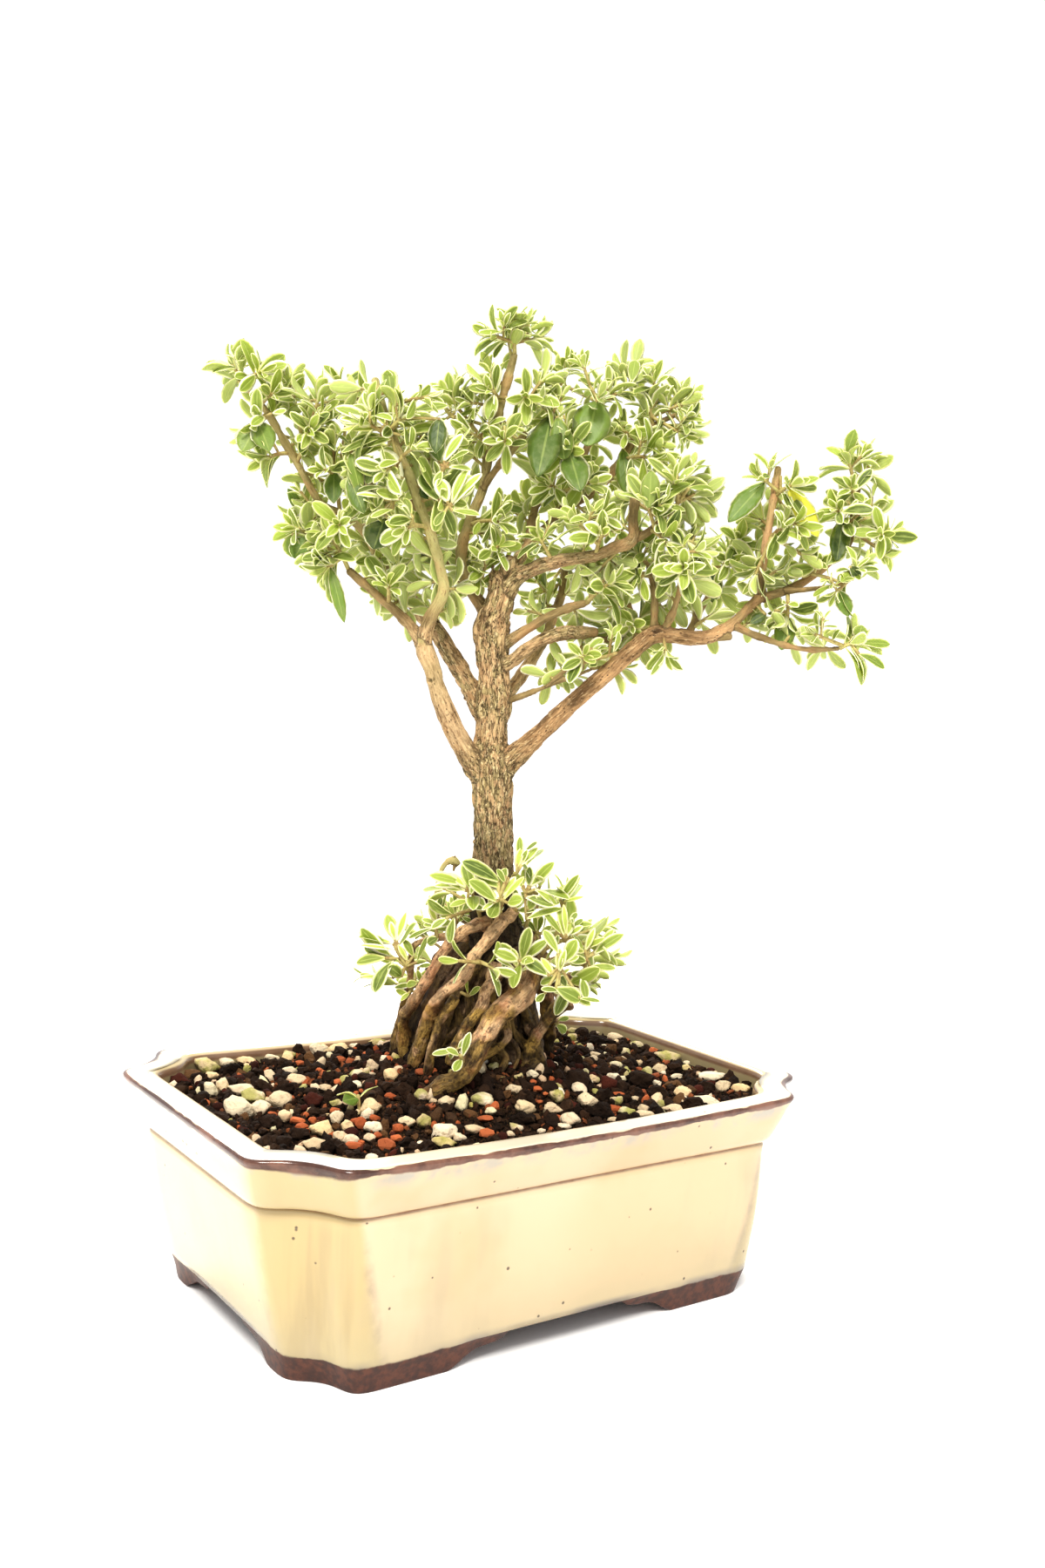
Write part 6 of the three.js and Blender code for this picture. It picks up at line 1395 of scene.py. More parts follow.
# shoots at the foot, in picture pixels: the middle of each shoot, then its leaves by their foot x, y, tip
# x, y, width, brightness and how young they are
baseTufts = [
    (594, 1002, [(596, 987, 597, 964, 10, 0.35, 0.3), (594, 992, 589, 967, 12, 0.9, 1.0),
        (595, 996, 585, 980, 7, 0.9, 1.0), (597, 994, 605, 977, 7, 0.4, 0.3),
        (598, 994, 616, 974, 8, 0.6, 0.5), (602, 978, 615, 967, 5, 0.15, 0.1),
        (593, 998, 598, 976, 9, 0.9, 0.9)]),
    (538, 1024, [(534, 1016, 497, 1005, 14, 0.55, 0.45), (536, 1018, 501, 1016, 9, 0.8, 0.9),
        (536, 1022, 514, 1020, 7, 0.8, 0.9), (535, 1018, 527, 999, 13, 0.9, 1.0),
        (539, 1026, 554, 983, 14, 0.9, 0.8), (540, 1028, 546, 1010, 7, 0.7, 0.4),
        (538, 1034, 521, 1037, 8, 0.6, 0.4), (536, 1020, 518, 1003, 9, 0.9, 1.0)]),
    (573, 1032, [(573, 1019, 551, 1003, 15, 0.55, 0.1), (571, 1036, 545, 1013, 15, 0.6, 0.1),
        (573, 1032, 561, 1021, 10, 0.9, 1.0), (574, 1013, 539, 990, 17, 0.05, 0.0),
        (574, 1012, 556, 989, 15, 0.0, 0.0), (582, 1007, 567, 985, 9, 0.2, 0.1),
        (584, 1009, 587, 984, 12, 0.25, 0.1), (580, 1014, 571, 999, 7, 0.4, 0.1),
        (576, 1030, 590, 1008, 9, 0.9, 0.9), (577, 1034, 600, 1009, 7, 0.8, 0.7),
        (582, 1037, 596, 1032, 16, 0.9, 0.2), (568, 1036, 556, 1042, 6, 0.9, 0.8)]),
    (603, 1026, [(608, 1019, 635, 992, 15, 0.6, 0.2), (607, 1018, 608, 998, 10, 0.1, 0.0),
        (613, 1020, 638, 1037, 9, 0.6, 0.5), (602, 1030, 632, 1037, 12, 0.3, 0.1),
        (606, 1046, 614, 1030, 12, 0.6, 0.1), (616, 1043, 641, 1037, 8, 0.7, 0.5),
        (603, 1056, 640, 1042, 8, 0.6, 0.2), (600, 1020, 592, 1002, 7, 0.7, 0.4),
        (601, 1018, 601, 1000, 6, 0.8, 0.6)]),
    (645, 1040, [(643, 1034, 662, 1007, 10, 0.45, 0.1), (648, 1036, 663, 1010, 7, 0.9, 0.9),
        (646, 1036, 668, 1030, 5, 0.9, 0.9)]),
    (648, 1080, [(645, 1073, 629, 1050, 8, 0.5, 0.2), (648, 1076, 643, 1044, 9, 0.8, 0.6),
        (650, 1074, 648, 1043, 7, 0.8, 0.9), (651, 1076, 657, 1057, 9, 0.9, 1.0),
        (653, 1074, 667, 1064, 8, 0.8, 0.6), (656, 1066, 668, 1056, 6, 0.4, 0.1),
        (653, 1060, 662, 1049, 7, 0.4, 0.1)]),
    (643, 1110, [(642, 1096, 626, 1070, 11, 0.5, 0.3), (641, 1116, 643, 1092, 9, 0.9, 0.8),
        (642, 1116, 648, 1094, 8, 0.9, 0.7), (647, 1106, 661, 1081, 16, 0.75, 0.2),
        (641, 1122, 653, 1113, 5, 0.8, 0.8), (636, 1121, 624, 1102, 9, 0.9, 0.8),
        (630, 1121, 607, 1103, 15, 0.25, 0.0), (642, 1122, 621, 1128, 11, 0.5, 0.3),
        (637, 1134, 664, 1147, 17, 0.5, 0.0), (664, 1146, 687, 1149, 5, 0.5, 0.1),
        (626, 1140, 617, 1149, 8, 0.2, 0.1), (642, 1138, 628, 1134, 7, 0.3, 0.1)]),
    (674, 1100, [(681, 1096, 712, 1074, 13, 0.6, 0.2), (686, 1090, 702, 1069, 9, 0.8, 0.6),
        (672, 1092, 680, 1071, 8, 0.8, 0.9), (672, 1092, 660, 1092, 7, 0.9, 0.8),
        (674, 1104, 656, 1101, 12, 0.25, 0.0), (676, 1110, 704, 1111, 9, 0.6, 0.3),
        (669, 1109, 656, 1106, 7, 0.3, 0.1), (672, 1116, 657, 1119, 7, 0.4, 0.2),
        (668, 1121, 673, 1144, 12, 0.6, 0.1), (676, 1088, 690, 1078, 8, 0.7, 0.6)]),
    (594, 1116, [(591, 1106, 575, 1085, 13, 0.55, 0.3), (594, 1111, 588, 1090, 10, 0.85, 0.7),
        (598, 1104, 627, 1081, 13, 0.55, 0.3), (592, 1113, 573, 1101, 5, 0.9, 0.8),
        (578, 1113, 580, 1096, 8, 0.2, 0.1), (598, 1115, 615, 1106, 5, 0.85, 0.7),
        (596, 1108, 606, 1090, 8, 0.7, 0.5)]),
    (570, 1120, [(568, 1118, 551, 1097, 14, 0.3, 0.0), (564, 1123, 542, 1127, 8, 0.3, 0.1),
        (566, 1125, 578, 1119, 4, 0.9, 0.6), (573, 1119, 577, 1101, 7, 0.3, 0.1)]),
    (538, 1144, [(539, 1143, 551, 1134, 7, 0.4, 0.2), (537, 1141, 535, 1123, 4, 0.5, 0.2)]),
    (524, 1060, [(518, 1050, 501, 1043, 6, 0.8, 0.6), (519, 1053, 504, 1050, 6, 0.6, 0.5),
        (520, 1052, 508, 1040, 6, 0.5, 0.3), (522, 1054, 515, 1037, 6, 0.5, 0.2),
        (524, 1052, 518, 1031, 7, 0.6, 0.3), (525, 1056, 532, 1036, 7, 0.6, 0.4),
        (521, 1060, 505, 1059, 10, 0.6, 0.1), (522, 1067, 502, 1067, 6, 0.4, 0.2),
        (525, 1060, 536, 1050, 6, 0.5, 0.3), (523, 1050, 522, 1019, 5, 0.2, 0.0),
        (523, 1072, 505, 1075, 8, 0.1, 0.0)]),
    (500, 1063, [(499, 1065, 471, 1075, 6, 0.35, 0.1), (502, 1062, 486, 1054, 8, 0.5, 0.5),
        (502, 1060, 495, 1044, 9, 0.85, 1.0), (497, 1046, 494, 1031, 6, 0.5, 0.3),
        (503, 1046, 506, 1031, 7, 0.0, 0.0), (500, 1064, 487, 1061, 6, 0.6, 0.5),
        (505, 1055, 511, 1029, 4, 0.2, 0.1), (504, 1076, 492, 1082, 12, 0.3, 0.0)]),
    (466, 1110, [(455, 1082, 466, 1049, 12, 0.85, 0.9), (454, 1082, 449, 1060, 9, 0.9, 1.0),
        (453, 1084, 432, 1077, 8, 0.9, 0.9), (460, 1105, 422, 1088, 13, 0.1, 0.0),
        (457, 1092, 418, 1083, 6, 0.9, 0.8), (462, 1122, 449, 1111, 15, 0.25, 0.0),
        (452, 1123, 416, 1120, 5, 0.8, 0.8), (464, 1114, 431, 1097, 5, 0.9, 0.8),
        (475, 1099, 465, 1081, 9, 0.4, 0.2), (478, 1106, 490, 1078, 6, 0.3, 0.1),
        (468, 1104, 458, 1086, 7, 0.9, 1.0)]),
    (474, 1134, [(478, 1131, 455, 1132, 7, 0.4, 0.2), (480, 1128, 468, 1131, 9, 0.5, 0.2),
        (470, 1144, 457, 1137, 8, 0.6, 0.5), (480, 1110, 493, 1108, 6, 0.4, 0.2),
        (483, 1130, 487, 1117, 7, 0.6, 0.3), (484, 1128, 480, 1116, 7, 0.5, 0.4),
        (470, 1140, 462, 1146, 6, 0.7, 0.5)]),
    (521, 1116, [(522, 1114, 510, 1097, 8, 0.6, 0.3), (522, 1106, 516, 1091, 6, 0.4, 0.1),
        (523, 1118, 508, 1111, 6, 0.3, 0.1), (500, 1120, 508, 1103, 8, 0.2, 0.0),
        (534, 1110, 523, 1096, 9, 0.6, 0.2), (531, 1114, 525, 1112, 4, 0.8, 0.6),
        (522, 1098, 529, 1078, 4, 0.3, 0.2)]),
    (586, 1074, [(583, 1064, 588, 1079, 5, 0.2, 0.1), (590, 1062, 600, 1058, 4, 0.3, 0.2),
        (578, 1078, 571, 1088, 4, 0.5, 0.3), (602, 1062, 597, 1050, 5, 0.6, 0.3)]),
    (616, 1072, [(615, 1070, 606, 1058, 7, 0.2, 0.1), (617, 1070, 622, 1054, 7, 0.3, 0.1),
        (613, 1074, 600, 1076, 6, 0.1, 0.0), (618, 1076, 612, 1090, 6, 0.1, 0.0),
        (620, 1072, 632, 1064, 7, 0.4, 0.2), (616, 1070, 614, 1050, 6, 0.6, 0.4)]),
    (530, 1050, [(530, 1048, 540, 1036, 8, 0.4, 0.1), (531, 1050, 546, 1046, 7, 0.3, 0.1),
        (528, 1048, 532, 1028, 8, 0.6, 0.3), (529, 1052, 541, 1058, 6, 0.2, 0.1)]),
    (560, 1044, [(558, 1042, 548, 1030, 9, 0.4, 0.1), (562, 1042, 566, 1026, 8, 0.6, 0.4),
        (557, 1044, 542, 1040, 8, 0.3, 0.1), (563, 1045, 577, 1042, 8, 0.3, 0.1)]),
    (592, 1046, [(593, 1044, 600, 1030, 9, 0.5, 0.2), (590, 1044, 583, 1050, 7, 0.3, 0.1),
        (594, 1046, 610, 1044, 9, 0.3, 0.1), (592, 1042, 592, 1024, 8, 0.7, 0.5)]),
    (508, 1130, [(507, 1128, 508, 1117, 6, 0.4, 0.2), (506, 1132, 498, 1128, 5, 0.3, 0.1),
        (510, 1134, 516, 1126, 5, 0.3, 0.2), (506, 1138, 498, 1142, 5, 0.5, 0.4)]),
    (524, 1206, [(525, 1206, 499, 1209, 8, 0.6, 0.4), (526, 1204, 534, 1194, 7, 0.8, 0.5),
        (524, 1207, 515, 1215, 7, 0.7, 0.6), (527, 1206, 535, 1212, 5, 0.8, 0.8)]),
    (640, 1176, [(638, 1176, 650, 1184, 12, 0.6, 0.1), (640, 1172, 652, 1168, 7, 0.5, 0.1)]),
]
# shoots in the front of the crown, in the same way
crownTufts = [
    (448, 496, [(436, 491, 389, 470, 15, 0.55, 0.25), (440, 490, 395, 478, 12, 0.7, 0.5),
        (442, 488, 428, 461, 13, 0.5, 0.2), (436, 463, 420, 440, 10, 0.5, 0.1),
        (450, 460, 446, 425, 18, 0.5, 0.0), (449, 490, 450, 451, 7, 0.9, 0.9),
        (452, 488, 457, 444, 7, 0.9, 0.8), (454, 487, 454, 470, 7, 0.1, 0.0),
        (461, 479, 480, 452, 9, 0.6, 0.2), (462, 480, 509, 464, 13, 0.45, 0.1),
        (458, 500, 498, 486, 13, 0.45, 0.2), (440, 495, 395, 495, 9, 0.9, 0.9),
        (438, 499, 407, 503, 10, 0.1, 0.0), (442, 501, 397, 520, 9, 0.35, 0.1),
        (448, 511, 400, 526, 10, 0.6, 0.3), (450, 504, 424, 508, 11, 0.4, 0.1),
        (462, 551, 443, 519, 20, 0.8, 0.6), (462, 480, 470, 470, 8, 0.5, 0.3)]),
    (517, 478, [(517, 471, 515, 430, 13, 0.6, 0.1), (511, 463, 481, 450, 9, 0.9, 0.8),
        (512, 469, 486, 457, 7, 0.9, 0.9), (522, 474, 530, 446, 6, 0.6, 0.4),
        (535, 478, 541, 450, 12, 0.6, 0.1), (521, 480, 548, 472, 8, 0.4, 0.1),
        (514, 480, 492, 490, 8, 0.3, 0.1)]),
    (511, 536, [(509, 531, 526, 500, 12, 0.7, 0.4), (507, 534, 463, 516, 9, 0.85, 0.7),
        (508, 538, 479, 541, 7, 0.6, 0.3), (514, 536, 538, 536, 7, 0.5, 0.3),
        (514, 531, 536, 519, 8, 0.4, 0.1), (508, 540, 500, 556, 9, 0.4, 0.2)]),
    (515, 580, [(514, 577, 505, 552, 17, 0.75, 0.5), (518, 579, 533, 541, 10, 0.7, 0.4),
        (519, 581, 547, 545, 10, 0.7, 0.5), (512, 579, 489, 577, 9, 0.5, 0.2),
        (518, 586, 548, 591, 8, 0.5, 0.3), (512, 586, 500, 600, 9, 0.3, 0.1)]),
    (452, 575, [(460, 573, 434, 565, 17, 0.7, 0.3), (444, 586, 480, 598, 13, 0.35, 0.2),
        (441, 559, 411, 560, 7, 0.1, 0.0), (446, 556, 432, 546, 8, 0.8, 0.7),
        (440, 572, 412, 568, 7, 0.85, 0.8), (452, 584, 428, 594, 8, 0.5, 0.3)]),
]
# broad leaves, in picture pixels: foot x, y, tip x, y, width, then brightness and how plain they are
broadLeaves = [
    (505, 531, 491, 483, 27, 0.35, 0.8), (504, 575, 484, 544, 25, 0.25, 0.4),
    (415, 573, 403, 520, 17, 0.6, 0.4), (420, 557, 438, 525, 19, 0.3, 0.7),
    (640, 478, 648, 528, 28, 0.45, 0.6), (715, 515, 722, 567, 26, 0.5, 0.7),
    (745, 585, 748, 540, 22, 0.95, 0.7), (400, 545, 418, 590, 22, 0.3, 0.8),
    (335, 612, 335, 640, 22, 0.7, 0.5), (485, 555, 500, 572, 26, 0.05, 1.0),
    (505, 480, 500, 520, 22, 0.1, 0.9), (445, 450, 445, 425, 15, 0.9, 0.3),
    (610, 590, 575, 580, 12, 0.7, 0.5), (820, 650, 818, 692, 24, 0.1, 0.9),
    (975, 650, 988, 663, 16, 0.1, 0.8), (880, 705, 862, 715, 16, 0.1, 0.8),
    (890, 700, 887, 735, 14, 0.9, 0.2), (1010, 640, 1018, 615, 20, 0.8, 0.3),
    (972, 520, 982, 493, 16, 0.8, 0.4), (985, 738, 1022, 740, 14, 0.7, 0.2),
    (985, 750, 1015, 768, 12, 0.5, 0.2), (985, 735, 990, 718, 18, 0.8, 0.3),
    (700, 640, 720, 655, 14, 0.2, 0.6), (690, 670, 720, 660, 14, 0.3, 0.5),
    (790, 560, 820, 562, 10, 0.7, 0.2), (775, 490, 798, 490, 12, 0.6, 0.2),
    (725, 440, 730, 410, 16, 0.95, 0.3),
]
shownLimbs = ("leftStem", "upperRight", "mainRight", "cutStem", "lowLeft", "lowLeftTip")
# the heights between which each of these limbs is in full view in the photograph
shownStretches = {"trunk": (-21, 75), "leftStem": (40, 113), "leader": (121, 138), "farLeft": (95, 122),
                  "upperRight": (60, 90), "mainRight": (0, 52), "cutStem": (76, 104), "lowLeft": (0, 45),
                  "lowLeftTip": (46, 62), "innerLeft": (20, 50), "rightTwo": (36, 50), "rightOne": (42, 58),
                  "farRight": (62, 70), "lowRight": (43, 48), "deadTwig": (-29, -24)}
# the angles that leaves open to are in degrees from their twig
tuft = {"spacing": 2.2, "openBelow": 74, "openAbove": 38, "openSpread": 10, "turnSpread": 10, "droop": 0.12,
        "lengthBelow": 1.12, "lengthAbove": 0.9, "arch": 0.3, "width": (0.36, 0.47), "forkAt": 0.3}
# pairs of leaves between two shares of a twig's length: the shares, how many, and how far the lowest and
# the highest open
pairRows = {"tip": (0.76, 1.0, 3, 64, 18), "middle": (0.4, 0.66, 1, 68, 60), "side": (0.55, 1.0, 3, 75, 22),
            "filler": (0.45, 1.0, 4, 80, 18)}
filler = {"near": 8.0, "short": 7, "long": 14, "thinnest": 2.3, "length": (9, 11.5)}
# the crown in three pieces: their sprays, the ground from left to right that they cover, the first of their
# draws and how far apart their filling shoots stand
crownParts = {"leftCrown": {"sprays": (0, 12), "reach": (-200, -14), "seed": 60000, "apart": 7.0},
              "middleCrown": {"sprays": (12, 31), "reach": (-14, 45), "seed": 70000, "apart": 9.0},
              "rightCrown": {"sprays": (31, 45), "reach": (45, 200), "seed": 80000, "apart": 15.0}}
leafShape = {"stations": (0.0, 0.12, 0.3, 0.5, 0.7, 0.86, 0.96, 1.0),
             "columns": (-1.0, -0.5, 0.0, 0.5, 1.0), "thickness": 0.3, "foot": 0.95, "end": 0.5}


def twigPath(start, end, rise, pairs, forks, radius):
    # a slightly risen curve; its last stretch has a station below and above each pair of leaves
    length = float(np.linalg.norm(end - start))
    middle = (start + end) / 2 + np.array([0, 0, rise * length])
    leafy = pairs * tuft["spacing"] / length
    shares = [0, max(0.3, 0.6 - leafy)] if forks else [0]
    shares += [max(0.4 + 0.1 * (pairs - ring), 1 - ring * tuft["spacing"] / length)
               for ring in range(pairs, -1, -1)]
    s = np.array(shares)[:, None]
    centres = (1 - s) ** 2 * start + 2 * s * (1 - s) * middle + s * s * end
    return np.column_stack([centres, radius + (0.7 - radius) * s])


def leafSet(foot, along, out, opened, size, seed, young):
    # each leaf leaves its twig at the opened angle; its face looks toward the twig's end
    way = along * np.cos(opened)[:, None] + out * np.sin(opened)[:, None]
    way[:, 2] -= tuft["droop"] * np.clip(opened / math.pi * 2, 0, 1)
    way = unit(way)
    face = unit(along - way * (along * way).sum(1)[:, None])
    face = turnAbout(face, way, between(-0.4, 0.4, seed + 0.65)[:, None])
    ones = np.ones(len(seed))
    return {"foot": foot + out * 0.3, "way": way, "face": face, "length": size,
            "width": size * between(*tuft["width"], seed + 0.75), "arch": ones * tuft["arch"],
            "plain": ones * 0, "seed": seed, "young": young, "tone": chance(seed + 0.1)}


def tuftLeaves(path, count, length, seed, young, upright):
    # crossed pairs of leaves up the end of a twig, wide open below and closing toward its tip
    along, across, other = carryFrames(path[:, :3], math.radians(90 * float(chance(seed))))
    pairs = math.ceil(count / 2)
    k = np.arange(count)
    pair = k // 2
    share = pair / (pairs - 1) if pairs > 1 else 0 * pair
    band = len(path) - 1 - pairs + pair
    side = (pair + 2 * (k % 2)) % 4
    turn = np.radians(45 + 90 * side + between(-tuft["turnSpread"], tuft["turnSpread"], seed + k))
    closing = tuft["openAbove"] - tuft["openBelow"] + upright * 0.4
    opened = tuft["openBelow"] - upright * 0.7 + closing * share
    opened = np.radians(opened + between(-tuft["openSpread"], tuft["openSpread"], seed + k + 0.5))
    out = across[band] * np.cos(turn)[:, None] + other[band] * np.sin(turn)[:, None]
    size = length * (tuft["lengthBelow"] + (tuft["lengthAbove"] - tuft["lengthBelow"]) * share)
    foot = (path[band, :3] + path[band + 1, :3]) / 2
    size = size * between(0.9, 1.1, seed + k + 0.25)
    return leafSet(foot, along[band], out, opened, size, seed + k * 1.0, young + 0.3 * share)


def leafPairs(path, low, high, pairs, openLow, openHigh, length, seed, young):
    # crossed pairs spaced evenly between two shares of a path's length
    fine = smoothPath(path, 0.7) if len(path) > 2 else path
    along, across, other = carryFrames(fine[:, :3], math.radians(90 * float(chance(seed + 0.3))))
    k = np.arange(2 * pairs)
    share = (k // 2) / max(1, pairs - 1)
    band = np.round((low + (high - low) * share) * (len(fine) - 1)).astype(int)
    turn = np.radians(90 * (k // 2) + 180 * (k % 2) + between(-14, 14, seed + k))
    opened = np.radians(openLow + (openHigh - openLow) * share + between(-12, 12, seed + k + 0.5))
    out = across[band] * np.cos(turn)[:, None] + other[band] * np.sin(turn)[:, None]
    size = length * (1 - 0.35 * share) * between(0.8, 1.12, seed + k + 0.25)
    return leafSet(fine[band, :3], along[band], out, opened, size, seed + k * 1.0, young + 0.35 * share)


def broadLeaf(foot, tip, width, tone, plain, seed, young=0.0):
    # a leaf between two places, its face turned to the viewer and the sky
    way = unit(tip - foot)
    face = towardEye + np.array([0, 0, 0.5])
    face = unit(face - way * np.dot(face, way))
    numbers = {"length": np.linalg.norm(tip - foot), "width": width, "arch": tuft["arch"], "plain": plain,
               "seed": seed, "young": young, "tone": tone}
    return {"foot": foot[None], "way": way[None], "face": face[None],
            **{key: np.array([value], float) for key, value in numbers.items()}}


def sideShoot(path, seed):
    # a small leafy shoot that leaves a twig between its fork and its tip
    along, across, other = carryFrames(path[:, :3])
    share = float(between(0.35, 0.9, seed + 0.15)) * (len(path) - 1)
    low = int(share)
    start = path[low, :3] + (path[min(low + 1, len(path) - 1), :3] - path[low, :3]) * (share - low)
    bearing = 2 * math.pi * (0.3 * float(chance(seed + 0.35)))
    out = across[low] * math.cos(bearing) + other[low] * math.sin(bearing)
    way = unit(out + along[low] * 0.5 + np.array([0, 0, 0.25]))
    return twigPath(start, start + way * float(between(4, 7, seed + 0.55)), 0.06, 2, False, 0.55)


def leafTemplate():
    # a grid of stations and columns for the upper face; the lower face shares its border
    v, u = np.meshgrid(leafShape["stations"], leafShape["columns"], indexing="ij")
    rows, columns = v.shape
    upper = np.arange(rows * columns).reshape(rows, columns)
    lower = upper.copy()
    inner = (slice(1, -1), slice(1, -1))
    hidden = lower[inner].size
    lower[inner] = upper.size + np.arange(hidden).reshape(rows - 2, columns - 2)

    def quads(g):
        return np.stack([g[:-1, :-1], g[:-1, 1:], g[1:, 1:], g[1:, :-1]], -1).reshape(-1, 4)

    faces = np.concatenate([quads(upper), quads(lower)[:, ::-1]])
    u = np.concatenate([u.ravel(), u[inner].ravel()])
    v = np.concatenate([v.ravel(), v[inner].ravel()])
    return u, v, np.repeat([0.0, 1.0], [upper.size, hidden]), faces


def makeLeaves(name, sets, paint, nodes):
    # half width p(v) = v^foot (1-v)^end, 1 at its widest; point = foot + way * long v + across * wide/2 u
    # p(v) + face * (arch long v(1-v) - droop long v^2 + fold |x| + wave - thickness)
    leaves = {key: np.concatenate([s[key] for s in sets]) for key in sets[0]}
    u, v, under, faces = leafTemplate()
    foot, way, face = (leaves[key][:, None] for key in ("foot", "way", "face"))
    across = np.cross(way, face)
    long, wide, seed, plain = (leaves[key][:, None] for key in ("length", "width", "seed", "plain"))
    end = leafShape["end"] + 0.16 * (chance(seed + 0.6) - 0.5) + 0.32 * plain
    end = end + 0.2 * leaves["young"][:, None]
    start = leafShape["foot"] - 0.1 * plain
    widest = start / (start + end)
    p = v**start * (1 - v) ** end / (widest**start * (1 - widest) ** end)
    p = p + 0.09 * (v < 0.05) + 0.03 * (v > 0.99) + 0.04 * (v > 0.05) * (v < 0.2)
    x = u * wide / 2 * p
    bend = leaves["arch"][:, None] * long * v * (1 - v) * (0.3 + chance(seed + 0.2)) * (1 - 0.8 * plain)
    droop = long * v**2 * (chance(seed + 0.4) - 0.2) * 0.32 * (1 - plain)
    fold = np.abs(x) * (0.06 + 0.42 * chance(seed + 0.8) ** 2 * (1 - 0.7 * plain))
    wave = 0.04 * wide * np.abs(u) * np.sin(v * 8 + seed * 5)
    z = bend - droop + fold + wave - under * leafShape["thickness"] * (1 - u**2 * 0.6)
    points = foot + way * (long * v)[..., None] + across * x[..., None] + face * z[..., None]
    fits = np.all((points > roomLow + 0.05) & (points < roomHigh - 0.05), axis=(1, 2))
    points, seed, count = points[fits], seed[fits], int(fits.sum())
    values = {key: np.repeat(leaves[key][fits], len(u)) for key in ("tone", "plain", "young")}
    values.update(draw=np.repeat(chance(seed[:, 0] + 0.9), len(u)), under=np.tile(under, count))
    uv = np.tile(np.column_stack([u / 2 + 0.5, v]), (count, 1))
    faces = [repeated(faces, count, len(u))]
    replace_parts(addPiece(name, points.reshape(-1, 3), faces, paint, uv, values), *nodes)
    print(name, count, "leaves,", int((~fits).sum()), "outside the box")


def leafPaint():
    # the distance from the border in half widths is (1 - |2u - 1|) p(v); near the border the leaf is cream
    paint = Paint("creamEdgedLeaf")
    u, v, _ = paint.parts(paint.node("ShaderNodeUVMap", {"uv_map": "UVMap"}))
    tone, plain, young, draw, under = (paint.attribute(key) for key in
                                       ("tone", "plain", "young", "draw", "under"))
    across = (u * 2 - 1).size()
    patch, fine = paint.noise(330, 3), paint.noise(1500, 3)
    length = paint.node("ShaderNodeCombineXYZ", sockets={0: u * 7 + draw * 40, 1: v * 3.0, 2: tone * 30})
    streak = paint.noise(1.0, 2, at=length)
    plan = v.maths("POWER", v, 0.9) * v.maths("POWER", 1 - v, 0.5) * 2.45
    border = (1 - across) * plan + (streak - 0.5) * 0.16
    wide = 0.12 + draw * 0.14 + young * 0.3 - plain * 0.15
    cream = 1 - (border - wide).step(-0.04, 0.05)
    rib = (1 - across.step(0.03, 0.1)) * (1 - cream) * (0.4 - plain * 0.2)
    # plain broad leaves, from dark to yellow
    large = paint.coats((50, 68, 22), [(tone.step(0.0, 0.55), (94, 120, 42)),
                                       (tone.step(0.55, 1.1), (136, 148, 84)),
                                       (patch.step(0.42, 0.7) * 0.4, (126, 134, 86)),
                                       (tone.step(1.1, 1.3), (214, 208, 66))])
    colour = paint.coats((168, 180, 94), [
        ((border - wide).step(0.03, 0.24) * 0.9, paint.blend(tone, (58, 76, 18), (138, 154, 56))),
        (streak.step(0.56, 0.72) * 0.35, (184, 194, 112)),
        (plain, large),
        (young * 0.75, (196, 208, 98)),
        (cream, paint.blend(draw, (240, 236, 156), (252, 249, 208))),
        (rib, (196, 206, 120)),
        (under * 0.45, (206, 214, 140))])
    veins = v.maths("SINE", v * 30 - across * 9).step(0.3, 1.0)
    bump = rib * -1.2 + veins * (0.15 + 0.3 * plain) + fine * 0.2
    return paint.finish({"Base Color": colour, "Roughness": 0.46 + fine * 0.14 - plain * 0.1,
                         "Subsurface Weight": 0.25, "Subsurface Radius": (0.9, 1.0, 0.3),
                         "Subsurface Scale": 0.001, "Specular IOR Level": 0.3}, bump, 0.00018, 0.5)


def twigPaint():
    paint = Paint("greenTwig")
    fine, patch = paint.noise(900, 3), paint.noise(200, 2)
    colour = paint.blend((fine * 0.5 + patch * 0.6).step(0.3, 0.8), (142, 112, 70), (200, 190, 122))
    look = {"Base Color": colour, "Roughness": 0.7, "Specular IOR Level": 0.3}
    return paint.finish(look, fine, 0.0003, 0.6)


def growSprays(sprays, firstSeed, young, upright, more=True):
    # the sprays of the solids: the leaves at their tips, more of them between, and small side shoots
    sets, twigs = [], []
    for index, (root, tips, large) in sprays:
        ends = seen([tip[:3] for tip in tips])
        pairs = [math.ceil(tip[3] / 2) for tip in tips]
        main = twigPath(seen(root), ends[0], 0.12, pairs[0], True, 1.0)
        fork = main[1, :3] + (main[2, :3] - main[1, :3]) * tuft["forkAt"]
        for tip, (_, _, _, count, length) in enumerate(tips):
            seed = 1000 * (firstSeed + index) + 100 * tip
            path = main if tip == 0 else twigPath(fork, ends[tip], 0, pairs[tip], False, 0.9)
            twigs.append(path)
            sets.append(tuftLeaves(path, count, length, seed, young, upright))
            if more:
                side = sideShoot(path, seed + 30)
                twigs.append(side)
                sets.append(leafPairs(path, *pairRows["tip"], length, seed + 50, young + 0.1))
                sets.append(leafPairs(path, *pairRows["middle"], length * 0.75, seed + 70, young))
                sets.append(leafPairs(side, *pairRows["side"], length * 0.8, seed + 37, young + 0.1))
            for n, (grownFrom, *end, width, tone) in enumerate(large):
                if grownFrom == tip:
                    foot = (path[-2, :3] + path[-1, :3]) / 2
                    sets.append(broadLeaf(foot, seen(end), width, tone, 0.9, seed + 80 + n))
    return sets, twigs


